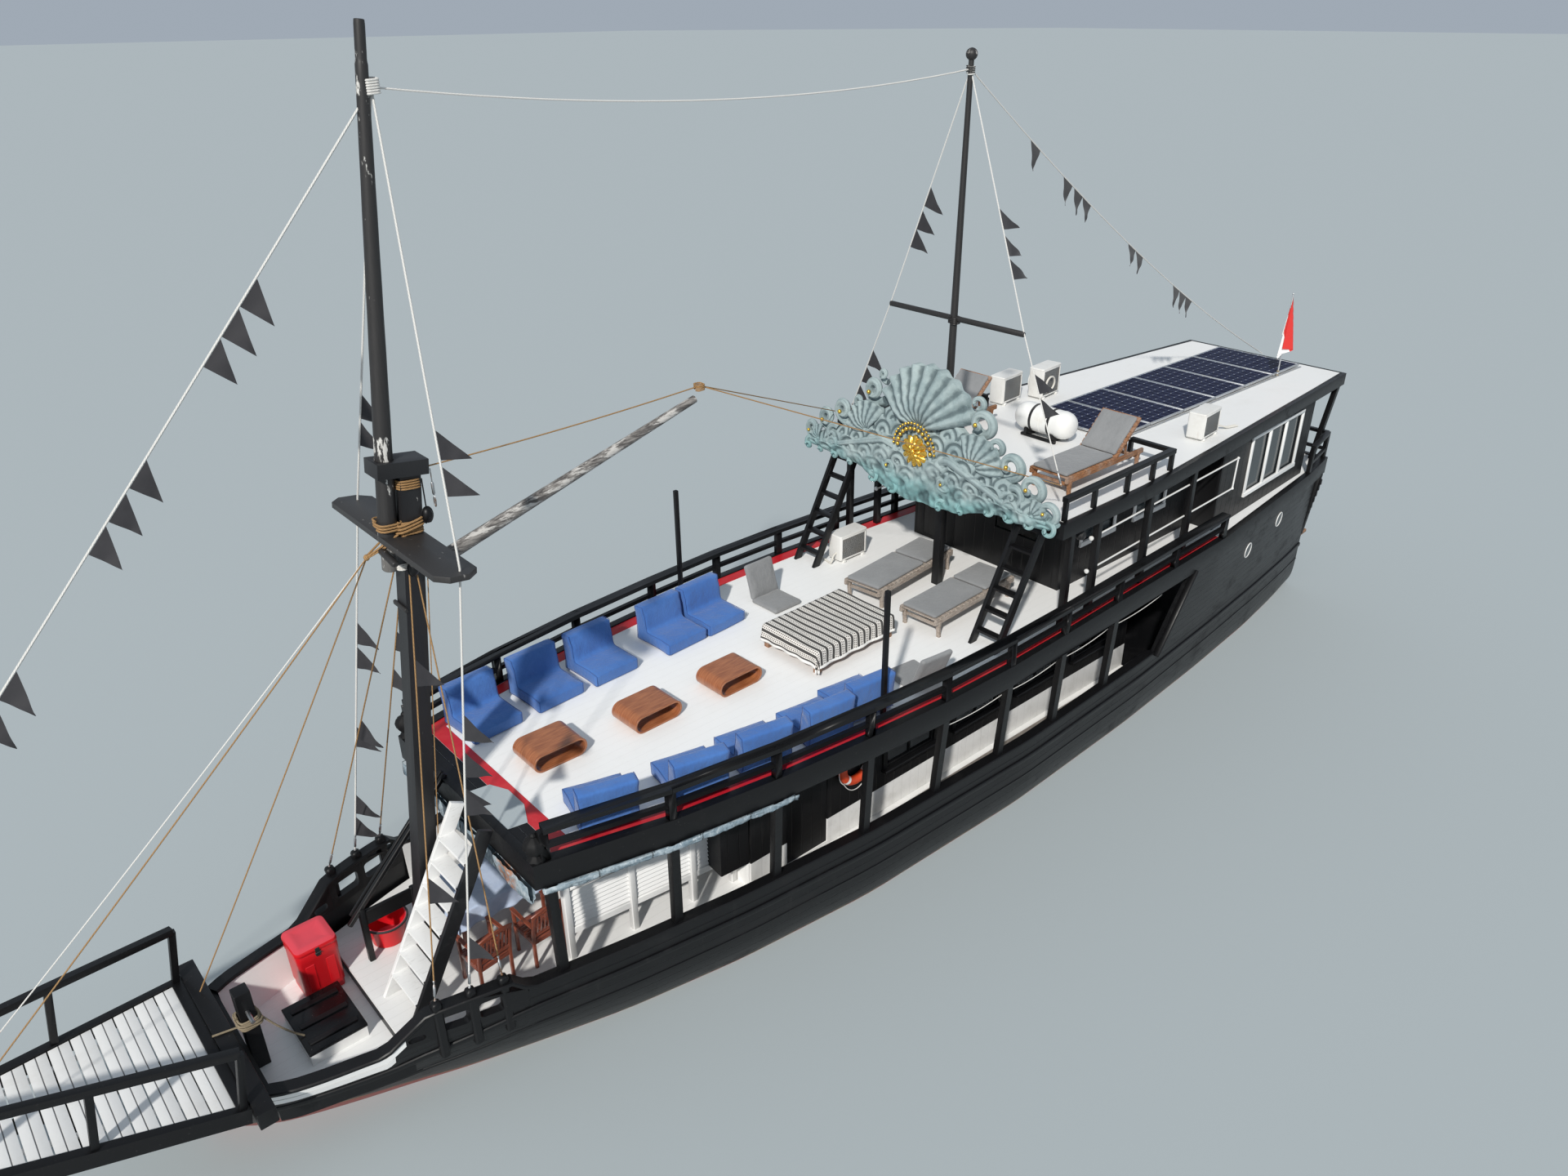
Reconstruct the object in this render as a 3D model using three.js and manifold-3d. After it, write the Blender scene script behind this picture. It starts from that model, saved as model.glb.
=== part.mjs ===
// Two-masted wooden tour boat, afloat.
// Millimetres. +X points to the bow, +Y to port, +Z up. The origin lies amidships on the waterline.

import * as THREE from 'three';
import { mergeVertices } from 'three/addons/utils/BufferGeometryUtils.js';
import Module from 'manifold-3d';

const wasm = await Module();
wasm.setup();

// Driving dimensions
const SEAT = 0.3; // gap left between two pieces that rest on each other
const MAIN_DECK = 700; // deck surfaces above the water
const FOREDECK = 550;
const UPPER_DECK = 2700;
const ROOF = 4400;
const PLANK = 40; // deck planking
const BULWARK = 100; // wall left outside the deck at deck level
const STEM = 10950; // stem head
const TRANSOM = -9850;
const QUARTER = -3500; // front end of the raised quarter
const FOREDECK_STEP = 8900;
const WELL_END = 10200;
const FRAME_BASE = 2400; // underside of the upper deck's edge beam
const FRAME_TOP = 2720;
const EDGE_BEAM = 110; // width of the edge beam
const ROOF_BASE = 4180; // underside of the roof's fascia
const FASCIA = 90;
const HOUSE_SIDE = 1620; // outer face of the deckhouse wall
const WALL = 50;
const HOUSE_FRONT = 4600;
const CABIN_SIDE = 1450;
const CABIN_FRONT = -1600;
const CABIN_STEP = -5300;
const CABIN_STERN = -8900;
const DOOR_GAP = 5;
const LEAF = 40; // thickness of a door leaf

// Hull stations: x, keel bottom, sheer, half breadth at the sheer, half breadth on the waterline
const STATIONS = [
  [TRANSOM, -450, 1200, 1500, 1380],
  [-9000, -720, 1200, 1630, 1540],
  [-7500, -950, 1200, 1810, 1740],
  [-5500, -1050, 1200, 2010, 1920],
  [-3000, -1100, 1200, 2220, 2090],
  [0, -1100, 1200, 2350, 2200],
  [3000, -1100, 1200, 2270, 2120],
  [5000, -1080, 1200, 2080, 1880],
  [6500, -1050, 1200, 1850, 1590],
  [7700, -1000, 1200, 1620, 1250],
  [7830, -992, 1370, 1600, 1205],
  [8300, -960, 1370, 1495, 1075],
  [8720, -918, 1350, 1378, 912],
  [9170, -836, 985, 1230, 768],
  [9800, -650, 985, 1090, 540],
  [10300, -350, 1000, 930, 330],
  [10620, 20, 1000, 620, 0],
  [STEM, 700, 1000, 110, 0],
];
const LEVELS = [0, 0.1, 0.25, 0.45, 0.7, 1]; // heights of a section's corners, keel to sheer
const RAKED_FULLNESS = 1.5; // section shape where the stem has left the water

// Upper deck outline: x, half breadth
const DECK_EDGE = [
  [-10050, 1600],
  [CABIN_STERN, 1800],
  [-5200, 2200],
  [-2000, 2320],
  [-600, 2380],
  [640, 2410],
  [1920, 2390],
  [3200, 2300],
  [4580, 2160],
  [5920, 1950],
  [7460, 1580],
];
const ROOF_EDGE = [
  [-10000, 1610], [-8500, 1740], [-6500, 1910], [-4750, 2070], [-3300, 2185], [-2400, 2235], [-400, 2245],
];
const POST_XS = [7290, 5920, 4580, 3200, 1920, 640, -610, -1980];

// Colours
const paint = (color, roughness = 0.6, metalness = 0) =>
  new THREE.MeshStandardMaterial({ color, roughness, metalness });
const BLACK = paint(0x16161a);
const WHITE = paint(0xe8e8e6);
const RED = paint(0xb01818);
const BLUE = paint(0x2a4fa8, 0.9);
const GREY = paint(0x77736d, 0.9);
const OAK = paint(0x8a5a30);
const VERDIGRIS = paint(0x7f9c98, 0.8);
const BRONZE = paint(0x8c6a34, 0.4, 0.9);
const STEEL = paint(0x9a9a9a, 0.4, 0.9);
const CELLS = paint(0x14183a, 0.25);

// Geometry helpers

function toSolid(geometry) {
  const bare = geometry.clone();
  bare.deleteAttribute('normal');
  bare.deleteAttribute('uv');
  const welded = mergeVertices(bare, 0.001);
  return new wasm.Manifold(new wasm.Mesh({
    numProp: 3,
    vertProperties: new Float32Array(welded.attributes.position.array),
    triVerts: new Uint32Array(welded.index.array),
  }));
}

function toGeometry(solid) {
  const mesh = solid.getMesh();
  const geometry = new THREE.BufferGeometry();
  geometry.setAttribute('position', new THREE.BufferAttribute(mesh.vertProperties, 3));
  geometry.setIndex(new THREE.BufferAttribute(mesh.triVerts, 1));
  return geometry;
}

const join = (geometries) => toGeometry(geometries.map(toSolid).reduce((a, b) => a.add(b)));
const cut = (body, tools) => toGeometry(tools.map(toSolid).reduce((a, b) => a.subtract(b), toSolid(body)));

// A box given by its low and high corners
function block(low, high) {
  const size = high.map((value, i) => value - low[i]);
  const geometry = new THREE.BoxGeometry(...size);
  return geometry.translate(...low.map((value, i) => value + size[i] / 2));
}

// A straight timber between two points, with its width across and its depth in the upright plane
function timber(from, to, width, depth) {
  const start = new THREE.Vector3(...from);
  const end = new THREE.Vector3(...to);
  const along = end.clone().sub(start);
  const length = along.length();
  along.normalize();
  const upright = Math.abs(along.z) > 0.95 ? new THREE.Vector3(-1, 0, 0) : new THREE.Vector3(0, 0, 1);
  const across = upright.cross(along).normalize();
  const rise = along.clone().cross(across);
  const frame = new THREE.Matrix4().makeBasis(along, across, rise);
  frame.setPosition(start.add(end).multiplyScalar(0.5));
  return new THREE.BoxGeometry(length, width, depth).applyMatrix4(frame);
}

// A round spar between two points
function spar(from, to, startRadius, endRadius, sides = 10) {
  const start = new THREE.Vector3(...from);
  const end = new THREE.Vector3(...to);
  const along = end.clone().sub(start);
  const geometry = new THREE.CylinderGeometry(endRadius, startRadius, along.length(), sides);
  const turn = new THREE.Quaternion().setFromUnitVectors(new THREE.Vector3(0, 1, 0), along.clone().normalize());
  geometry.applyQuaternion(turn);
  return geometry.translate(...start.add(end).multiplyScalar(0.5).toArray());
}

// Value of a table at x, read along straight lines between its rows
function lookUp(rows, x, column = 1) {
  const last = rows.length - 1;
  let i = 0;
  while (i < last - 1 && x > rows[i + 1][0]) i += 1;
  const share = (x - rows[i][0]) / (rows[i + 1][0] - rows[i][0]);
  return rows[i][column] + share * (rows[i + 1][column] - rows[i][column]);
}

const deckHalf = (x) => lookUp(DECK_EDGE, x);
const roofHalf = (x) => lookUp(ROOF_EDGE, x);

// Half breadth of the hull at a place x and a share of the height from keel to sheer
function sectionHalf([, keel, sheer, halfSheer, halfWater], share) {
  const water = -keel / (sheer - keel);
  const fullness = keel < 0
    ? Math.log(1 - halfWater / halfSheer) / Math.log(1 - water)
    : RAKED_FULLNESS;
  return halfSheer * (1 - Math.pow(1 - share, fullness));
}

function hullHalf(x, z) {
  const station = [0, 1, 2, 3, 4].map((column) => lookUp(STATIONS, x, column));
  return sectionHalf(station, (z - station[1]) / (station[2] - station[1]));
}

// A closed skin through rings of points that all have the same count
function loft(rings) {
  const count = rings[0].length;
  const positions = rings.flat(2);
  const index = [];
  for (let i = 0; i < rings.length - 1; i += 1) {
    for (let j = 0; j < count; j += 1) {
      const k = (j + 1) % count;
      const [a, b, c, d] = [i * count + j, i * count + k, (i + 1) * count + k, (i + 1) * count + j];
      index.push(a, c, b, a, d, c);
    }
  }
  for (const [ring, first] of [[0, true], [rings.length - 1, false]]) {
    const points = rings[ring];
    const hub = positions.length / 3;
    for (let axis = 0; axis < 3; axis += 1) {
      positions.push(points.reduce((sum, point) => sum + point[axis], 0) / count);
    }
    for (let j = 0; j < count; j += 1) {
      const [a, b] = [ring * count + j, ring * count + ((j + 1) % count)];
      index.push(hub, ...(first ? [a, b] : [b, a]));
    }
  }
  const geometry = new THREE.BufferGeometry();
  geometry.setAttribute('position', new THREE.Float32BufferAttribute(positions, 3));
  geometry.setIndex(index);
  return geometry;
}

// A level slab with a symmetric outline of rows x, half breadth
function slab(rows, low, high, inset = 0, endInset = inset) {
  const last = rows.length - 1;
  const side = rows.map(([x, half], i) => {
    const end = i === 0 ? endInset : i === last ? -endInset : 0;
    return [x + end, half - inset];
  });
  const outline = [...side.map(([x, y]) => [x, -y]), ...side.reverse()];
  const shape = new THREE.Shape(outline.map(([x, y]) => new THREE.Vector2(x, y)));
  const geometry = new THREE.ExtrudeGeometry(shape, { depth: high - low, bevelEnabled: false });
  return geometry.translate(0, 0, low);
}

// A board on edge with an outline in X and Z, standing between two values of y
function panel(points, yLow, yHigh) {
  const shape = new THREE.Shape(points.map(([x, z]) => new THREE.Vector2(x, z)));
  const geometry = new THREE.ExtrudeGeometry(shape, { depth: yHigh - yLow, bevelEnabled: false });
  return geometry.rotateX(Math.PI / 2).translate(0, yHigh, 0);
}

const mirrored = (geometry) => {
  const copy = geometry.index ? geometry.toNonIndexed() : geometry.clone();
  const position = copy.attributes.position;
  for (let i = 0; i < position.count; i += 3) {
    const corners = [0, 1, 2].map((j) => [position.getX(i + j), -position.getY(i + j), position.getZ(i + j)]);
    corners.reverse().forEach((corner, j) => position.setXYZ(i + j, ...corner));
  }
  return copy;
};

const boat = new THREE.Group();

function add(name, geometry, material, parent = boat) {
  const mesh = new THREE.Mesh(geometry, material);
  mesh.name = name;
  parent.add(mesh);
  return mesh;
}

function addPair(name, geometry, material) {
  add(`${name}_port`, geometry, material);
  add(`${name}_starboard`, mirrored(geometry), material);
}

// Hull: planked body with keel, a deck well inside the bulwarks, and a raised quarter aft
const wellHalf = (x, z) => hullHalf(x, z) - BULWARK;
const MAIN_WELL = [QUARTER, -2000, 0, 2000, 4000, 5500, 7000, 8000, FOREDECK_STEP]
  .map((x) => [x, wellHalf(x, MAIN_DECK)]);
const FORE_WELL = [FOREDECK_STEP, 9400, 9800, WELL_END].map((x) => [x, wellHalf(x, FOREDECK)]);
const RUDDER_AXIS = TRANSOM - 150;
const SHAFT_Z = -1000;
const SHAFT_END = -8900;
const SHAFT_RADIUS = 28;
const TUBE_DEPTH = 200;
const GUDGEONS = [-260, 560];
const GUDGEON_HEIGHT = 90;
const PINTLE_RADIUS = 30;

// Side outline of keel, skeg and stem: x, z
const KEEL = [
  [SHAFT_END, -1250], [8000, -1250], [9300, -1040], [10050, -720], [10520, -260], [10820, 300], [STEM + 60, 990],
  [STEM - 150, 990], [10300, -150], [9000, -700], [-6000, -900], [SHAFT_END, -600],
];

function hullRing(station) {
  const [x, keel, sheer] = station;
  const side = LEVELS.map((share) => [sectionHalf(station, share), keel + share * (sheer - keel)]);
  const port = side.slice(1).reverse().map(([y, z]) => [x, y, z]);
  const starboard = side.slice(1).map(([y, z]) => [x, -y, z]);
  return [...port, [x, 0, keel], ...starboard];
}

function quarterRing([x, topX]) {
  const low = hullHalf(x, 1190);
  const high = deckHalf(topX) - 60;
  const top = FRAME_BASE - SEAT;
  return [[topX, high, top], [x, low, 1150], [x, -low, 1150], [topX, -high, top]];
}

// Openings in the raised rail beside the foremast: aft end, fore end, bottom, top
const RAIL_OPENINGS = [[7980, 8235, 1055, 1265], [8335, 8635, 1055, 1255], [8800, 8935, 1040, 1110]];

function makeHull() {
  const skin = loft(STATIONS.map(hullRing));
  const railOpenings = RAIL_OPENINGS.map(([x0, x1, low, high]) => block([x0, -2000, low], [x1, 2000, high]));
  const quarter = loft([[TRANSOM, TRANSOM], [-8000, -8000], [-6000, -6000], [QUARTER, QUARTER]].map(quarterRing));
  const slope = [[QUARTER + 50, 1200], [QUARTER + 50, 2500], [QUARTER - 860, 2500]];
  const corner = panel(slope, HOUSE_SIDE + SEAT, 2600);
  const keel = panel(KEEL, -70, 70);
  const sternPost = block([TRANSOM - 90, -60, -430], [TRANSOM + 60, 60, 900]);
  const body = join([skin, quarter, keel, sternPost]);
  const lugs = GUDGEONS.map((z) => block([RUDDER_AXIS - 60, -50, z], [TRANSOM, 50, z + GUDGEON_HEIGHT]));
  const holes = GUDGEONS.map((z) => spar(
    [RUDDER_AXIS, 0, z - 20],
    [RUDDER_AXIS, 0, z + GUDGEON_HEIGHT + 20],
    PINTLE_RADIUS + 2,
    PINTLE_RADIUS + 2,
    12,
  ));
  const tube = spar([SHAFT_END - 50, 0, SHAFT_Z], [SHAFT_END + TUBE_DEPTH, 0, SHAFT_Z], 30, 30, 12);
  const wells = [
    slab(MAIN_WELL, MAIN_DECK - PLANK - SEAT, 3000),
    slab(FORE_WELL, FOREDECK - PLANK - SEAT, 3000),
  ];
  return cut(join([body, ...lugs]), [...wells, corner, mirrored(corner), ...holes, tube, ...railOpenings]);
}
add('hull', makeHull(), BLACK);

// Deck planking laid in the wells, with the hatch coaming on the foredeck
const HATCH = { x: [9090, 9710], y: [-370, 430], top: 690, board: 50 };
add('main_deck', slab(MAIN_WELL, MAIN_DECK - PLANK, MAIN_DECK, SEAT), WHITE);

function makeForedeck() {
  const [x0, x1] = HATCH.x;
  const [y0, y1] = HATCH.y;
  const rim = HATCH.board;
  const coaming = block([x0, y0, FOREDECK - PLANK + 1], [x1, y1, HATCH.top]);
  const opening = block([x0 + rim, y0 + rim, 0], [x1 - rim, y1 - rim, 1000]);
  return cut(join([slab(FORE_WELL, FOREDECK - PLANK, FOREDECK, SEAT), coaming]), [opening]);
}
add('foredeck', makeForedeck(), WHITE);
add('hatch_lid', block(
  [HATCH.x[0] - 10, HATCH.y[0] - 10, HATCH.top + SEAT],
  [HATCH.x[1] + 10, HATCH.y[1] + 10, HATCH.top + 45],
), BLACK);

// Cool box on the foredeck, with its lid
const COOLER = { x: [8960, 9430], y: [-900, -430], top: 1230, lid: 75, wall: 45 };

function makeCoolBox() {
  const [x0, x1] = COOLER.x;
  const [y0, y1] = COOLER.y;
  const t = COOLER.wall;
  const body = block([x0, y0, FOREDECK + SEAT], [x1, y1, COOLER.top]);
  return cut(body, [block([x0 + t, y0 + t, FOREDECK + t], [x1 - t, y1 - t, 2000])]);
}
add('cool_box', makeCoolBox(), RED);
add('cool_box_lid', block(
  [COOLER.x[0] - 8, COOLER.y[0] - 8, COOLER.top + SEAT],
  [COOLER.x[1] + 8, COOLER.y[1] + 8, COOLER.top + COOLER.lid],
), RED);

// Deckhouse on the main deck: side walls with windows and a door each, and a front wall
const HOUSE_TOP = 2500 - SEAT;
const HOUSE_WINDOWS = [-2900, -1500, -100, 1300]; // aft edges
const HOUSE_WINDOW = { width: 900, low: 1450, high: 2050 };
const HOUSE_DOOR = { x: [3300, 4000], low: 760, high: 2380 };

function makeHouseSide() {
  const inner = HOUSE_SIDE - WALL;
  const wall = block([QUARTER + SEAT, inner, MAIN_DECK + SEAT], [HOUSE_FRONT, HOUSE_SIDE, HOUSE_TOP]);
  const through = (x0, x1, low, high) => block([x0, inner - 50, low], [x1, HOUSE_SIDE + 50, high]);
  const windows = HOUSE_WINDOWS.map((x) =>
    through(x, x + HOUSE_WINDOW.width, HOUSE_WINDOW.low, HOUSE_WINDOW.high));
  const [x0, x1] = HOUSE_DOOR.x;
  return cut(wall, [...windows, through(x0, x1, HOUSE_DOOR.low, HOUSE_DOOR.high)]);
}
addPair('deckhouse_wall', makeHouseSide(), BLACK);

function makeHouseFront() {
  const half = HOUSE_SIDE - WALL - SEAT;
  const wall = block([HOUSE_FRONT - WALL, -half, MAIN_DECK + SEAT], [HOUSE_FRONT, half, HOUSE_TOP]);
  const window = block([HOUSE_FRONT - 100, 300, 1450], [HOUSE_FRONT + 50, 1200, 2050]);
  return cut(wall, [window, mirrored(window)]);
}
add('deckhouse_front_wall', makeHouseFront(), WHITE);

function makeHouseDoor() {
  const [x0, x1] = HOUSE_DOOR.x;
  const inner = HOUSE_SIDE - WALL;
  return block(
    [x0 + DOOR_GAP, inner, HOUSE_DOOR.low + SEAT],
    [x1 - DOOR_GAP, inner + LEAF, HOUSE_DOOR.high - DOOR_GAP],
  );
}
addPair('deckhouse_door', makeHouseDoor(), BLACK);

// Upper deck frame: edge beam, beams across under the deck, and the posts down to the bulwark
const BEAM_XS = [7000, ...POST_XS.slice(1), QUARTER, -5000, -6500, -8000, -9600];

function makeDeckFrame() {
  const ring = cut(
    slab(DECK_EDGE, FRAME_BASE, FRAME_TOP),
    [slab(DECK_EDGE, FRAME_BASE - 10, FRAME_TOP + 10, EDGE_BEAM)],
  );
  const beams = BEAM_XS.map((x) => {
    const half = deckHalf(x) - EDGE_BEAM + 20;
    return block([x - 45, -half, 2500], [x + 45, half, UPPER_DECK - PLANK - SEAT]);
  });
  const posts = POST_XS.flatMap((x) => [1, -1].map((side) => timber(
    [x, side * (hullHalf(x, 1190) - 60), 1200 + SEAT],
    [x, side * (deckHalf(x) - 60), FRAME_BASE + 50],
    90,
    110,
  )));
  const feet = block([-12000, -4000, 0], [12000, 4000, 1200 + SEAT]);
  return cut(join([ring, ...beams, ...posts]), [feet]);
}
add('upper_deck_frame', makeDeckFrame(), BLACK);
add('upper_deck', slab(DECK_EDGE, UPPER_DECK - PLANK, UPPER_DECK, EDGE_BEAM + SEAT), WHITE);

// Upper deck rails: posts on the edge beam, a low bar and a broad top plank
const RAIL = { low: 2870, lowTop: 2930, high: 3090, top: 3150, end: -5150, fore: 7300 };

function railRun(xs, centre, low, high, width) {
  return xs.slice(1).map((x, i) => timber(
    [xs[i], centre(xs[i]), (low + high) / 2],
    [x, centre(x), (low + high) / 2],
    width,
    high - low,
  ));
}

function makeDeckRail() {
  const centre = (x) => deckHalf(x) - 55;
  const xs = [RAIL.end, -3600, ...POST_XS.slice(1).reverse(), RAIL.fore];
  const posts = xs.map((x) => block(
    [x - 50, centre(x) - 40, FRAME_TOP + SEAT],
    [x + 50, centre(x) + 40, RAIL.high + 10],
  ));
  return join([
    ...posts,
    ...railRun(xs, centre, RAIL.low, RAIL.lowTop, 60),
    ...railRun(xs, centre, RAIL.high, RAIL.top, 150),
  ]);
}
addPair('deck_rail', makeDeckRail(), BLACK);

// Stern rail around the open gallery
function makeSternRail() {
  const corner = [-9960, 1540];
  const start = [CABIN_STERN - 60, deckHalf(CABIN_STERN) - 60];
  const path = [start, corner, [corner[0], -corner[1]], [start[0], -start[1]]];
  const bars = [[2900, 50], [3220, 90]].flatMap(([z, size]) => path.slice(1).map((point, i) =>
    timber([...path[i], z], [...point, z], size, 60)));
  const posts = [start, corner, [corner[0], 500]].flatMap(([x, y]) => [1, -1].map((side) => block(
    [x - 35, side * y - 35, FRAME_TOP + SEAT],
    [x + 35, side * y + 35, 3225],
  )));
  return join([...bars, ...posts]);
}
add('stern_rail', makeSternRail(), BLACK);

// Aft cabin: stepped side walls with windows, a front wall and a stern wall with a door each
const CABIN_TOP = ROOF_BASE - SEAT;
const CABIN_BASE = UPPER_DECK + SEAT;
const SIDE_WINDOWS = [[-2900, -2100], [-4300, -3500]];
const SIDE_WINDOW = { low: 3350, high: 3900 };
const STERN_WINDOW = { x: [-8330, -6380], low: 3060, high: 4020 };
const aftWall = (x) => lookUp([[CABIN_STERN, 1620], [CABIN_STEP, 1860]], x);

function makeCabinSide() {
  const height = [CABIN_BASE, CABIN_TOP];
  const fore = block(
    [CABIN_STEP - WALL, CABIN_SIDE - WALL, height[0]],
    [CABIN_FRONT, CABIN_SIDE, height[1]],
  );
  const step = block(
    [CABIN_STEP - WALL, CABIN_SIDE - WALL, height[0]],
    [CABIN_STEP, aftWall(CABIN_STEP) - 2, height[1]],
  );
  const middle = (height[0] + height[1]) / 2;
  const aft = timber(
    [CABIN_STERN, aftWall(CABIN_STERN) - WALL / 2, middle],
    [CABIN_STEP, aftWall(CABIN_STEP) - WALL / 2, middle],
    WALL,
    height[1] - height[0],
  );
  const windows = SIDE_WINDOWS.map(([x0, x1]) => block(
    [x0, CABIN_SIDE - 100, SIDE_WINDOW.low],
    [x1, CABIN_SIDE + 50, SIDE_WINDOW.high],
  ));
  const [x0, x1] = STERN_WINDOW.x;
  const pane = (x1 - x0) / 3;
  const panes = [0, 1, 2].map((i) => block(
    [x0 + i * pane + 30, 1500, STERN_WINDOW.low],
    [x0 + (i + 1) * pane - 30, 2000, STERN_WINDOW.high],
  ));
  return cut(join([fore, step, aft]), [...windows, ...panes]);
}
addPair('cabin_wall', makeCabinSide(), BLACK);

const FRONT_DOOR = { y: [-1250, -600], low: 2760, high: 4120 };
const STERN_DOOR = { y: [-325, 325], low: 2760, high: 4120 };

function makeCabinFront() {
  const half = CABIN_SIDE - WALL - SEAT;
  const wall = block([CABIN_FRONT - WALL, -half, CABIN_BASE], [CABIN_FRONT, half, CABIN_TOP]);
  const [y0, y1] = FRONT_DOOR.y;
  return cut(wall, [
    block([CABIN_FRONT - 100, y0, FRONT_DOOR.low], [CABIN_FRONT + 50, y1, FRONT_DOOR.high]),
    block([CABIN_FRONT - 100, 200, 3350], [CABIN_FRONT + 50, 1100, 3900]),
  ]);
}
add('cabin_front_wall', makeCabinFront(), BLACK);

function makeCabinStern() {
  const half = aftWall(CABIN_STERN) - WALL - 5;
  const wall = block([CABIN_STERN + 5, -half, CABIN_BASE], [CABIN_STERN + WALL + 5, half, CABIN_TOP]);
  const [y0, y1] = STERN_DOOR.y;
  return cut(wall, [block([CABIN_STERN - 50, y0, STERN_DOOR.low], [CABIN_STERN + 100, y1, STERN_DOOR.high])]);
}
add('cabin_stern_wall', makeCabinStern(), BLACK);

add('cabin_front_door', block(
  [CABIN_FRONT - LEAF, FRONT_DOOR.y[0] + DOOR_GAP, FRONT_DOOR.low + SEAT],
  [CABIN_FRONT, FRONT_DOOR.y[1] - DOOR_GAP, FRONT_DOOR.high - DOOR_GAP],
), BLACK);
add('cabin_stern_door', block(
  [CABIN_STERN + 5, STERN_DOOR.y[0] + DOOR_GAP, STERN_DOOR.low + SEAT],
  [CABIN_STERN + 5 + LEAF, STERN_DOOR.y[1] - DOOR_GAP, STERN_DOOR.high - DOOR_GAP],
), BLACK);

// Roof: fascia with beams and the gallery posts under it, and the roof deck laid inside
const GALLERY_XS = [-750, -1400, -2750, -4100];
const GALLERY_INSET = 110;

function makeRoofFrame() {
  const ring = cut(
    slab(ROOF_EDGE, ROOF_BASE, ROOF - 5),
    [slab(ROOF_EDGE, ROOF_BASE - 10, ROOF + 10, FASCIA)],
  );
  const beams = [-700, -1625, -3500, -5325, -7000, -8870, -9700].map((x) => {
    const half = roofHalf(x) - FASCIA + 20;
    return block([x - 40, -half, ROOF_BASE], [x + 40, half, ROOF - 60 - SEAT]);
  });
  const posts = GALLERY_XS.flatMap((x) => [1, -1].map((side) => block(
    [x - 45, side * (roofHalf(x) - GALLERY_INSET) - 45, UPPER_DECK + SEAT],
    [x + 45, side * (roofHalf(x) - GALLERY_INSET) + 45, ROOF_BASE + 60],
  )));
  const sternPosts = [1, -1].map((side) => timber(
    [-9790, side * 1390, UPPER_DECK + SEAT],
    [-9900, side * 1540, ROOF_BASE + 60],
    90,
    90,
  ));
  const mastPost = block([-510, 0, UPPER_DECK + SEAT], [-400, 130, ROOF_BASE + 60]);
  const floor = block([-12000, -3000, 0], [0, 3000, UPPER_DECK + SEAT]);
  return cut(join([ring, ...beams, ...posts, ...sternPosts, mastPost]), [floor]);
}
add('roof_frame', makeRoofFrame(), BLACK);
add('roof', slab(ROOF_EDGE, ROOF - 60, ROOF, FASCIA + SEAT), WHITE);

// Roof rails at the front corners, each with a return bar inboard
function makeRoofRail() {
  const centre = (x) => roofHalf(x) - 95;
  const xs = [-3190, -2660, -1990, -1190, -520];
  const low = 4675;
  const high = 4745;
  const post = (x, y) => block([x - 30, y - 30, ROOF + SEAT], [x + 30, y + 30, low + 20]);
  const [aft] = xs;
  const inner = centre(aft) - 700;
  const back = timber([aft, inner, (low + high) / 2], [aft, centre(aft), (low + high) / 2], 80, 60);
  const rail = railRun([aft - 30, xs.at(-1) + 30], centre, low, high, 90);
  return join([...xs.map((x) => post(x, centre(x))), post(aft, inner), back, ...rail]);
}
addPair('roof_rail', makeRoofRail(), BLACK);

// Ladders from the upper deck to the roof's front edge
const LADDER = { foot: 560, lean: -310, y: 1800, half: 210, top: 4330, rungs: 6 };

function makeLadder() {
  const stiles = [1, -1].map((side) => timber(
    [LADDER.foot, LADDER.y + side * LADDER.half, UPPER_DECK - 60],
    [LADDER.lean, LADDER.y + side * LADDER.half, LADDER.top],
    50,
    110,
  ));
  const rungs = Array.from({ length: LADDER.rungs }, (_, i) => {
    const share = (i + 0.9) / LADDER.rungs;
    const x = LADDER.foot + share * (LADDER.lean - LADDER.foot);
    const z = UPPER_DECK + share * (LADDER.top - UPPER_DECK) - 60;
    return block([x - 55, LADDER.y - LADDER.half, z - 18], [x + 55, LADDER.y + LADDER.half, z + 18]);
  });
  const below = block([0, 0, 0], [2000, 3000, UPPER_DECK + SEAT]);
  return cut(join([...stiles, ...rungs]), [below]);
}
addPair('ladder', makeLadder(), BLACK);

// Awning posts beside the lounge deck
addPair('awning_post', block([2770, 2040, UPPER_DECK + SEAT], [2830, 2100, 4480]), BLACK);

// Fore stair from the main deck to the upper deck's front edge
const STAIR = { foot: [8720, 640], head: [7572, 2800], y: 500, half: 320, treads: 7 };

function makeStair() {
  const [footX, footZ] = STAIR.foot;
  const [headX, headZ] = STAIR.head;
  const strings = [1, -1].map((side) => timber(
    [footX, STAIR.y + side * STAIR.half, footZ],
    [headX, STAIR.y + side * STAIR.half, headZ],
    50,
    170,
  ));
  const treads = Array.from({ length: STAIR.treads }, (_, i) => {
    const z = MAIN_DECK + ((UPPER_DECK - MAIN_DECK) * (i + 1)) / (STAIR.treads + 1);
    const x = footX + ((z - footZ) / (headZ - footZ)) * (headX - footX);
    return block([x - 95, STAIR.y - STAIR.half, z - 20], [x + 95, STAIR.y + STAIR.half, z + 20]);
  });
  const below = block([7000, -500, 0], [9500, 1500, MAIN_DECK + SEAT]);
  return cut(join([...strings, ...treads]), [below]);
}
add('fore_stair', makeStair(), WHITE);

// Bow: beam across the bulwarks, samson post, and the plank platform rising forward
const BEAM = { x: [10270, 10450], half: 1270, top: 1200 };
add('bow_beam', block(
  [BEAM.x[0], -BEAM.half, 1000 + SEAT],
  [BEAM.x[1], BEAM.half, BEAM.top],
), BLACK);
add('samson_post', block([10020, -80, FOREDECK + SEAT], [10180, 80, 1610]), BLACK);

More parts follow.
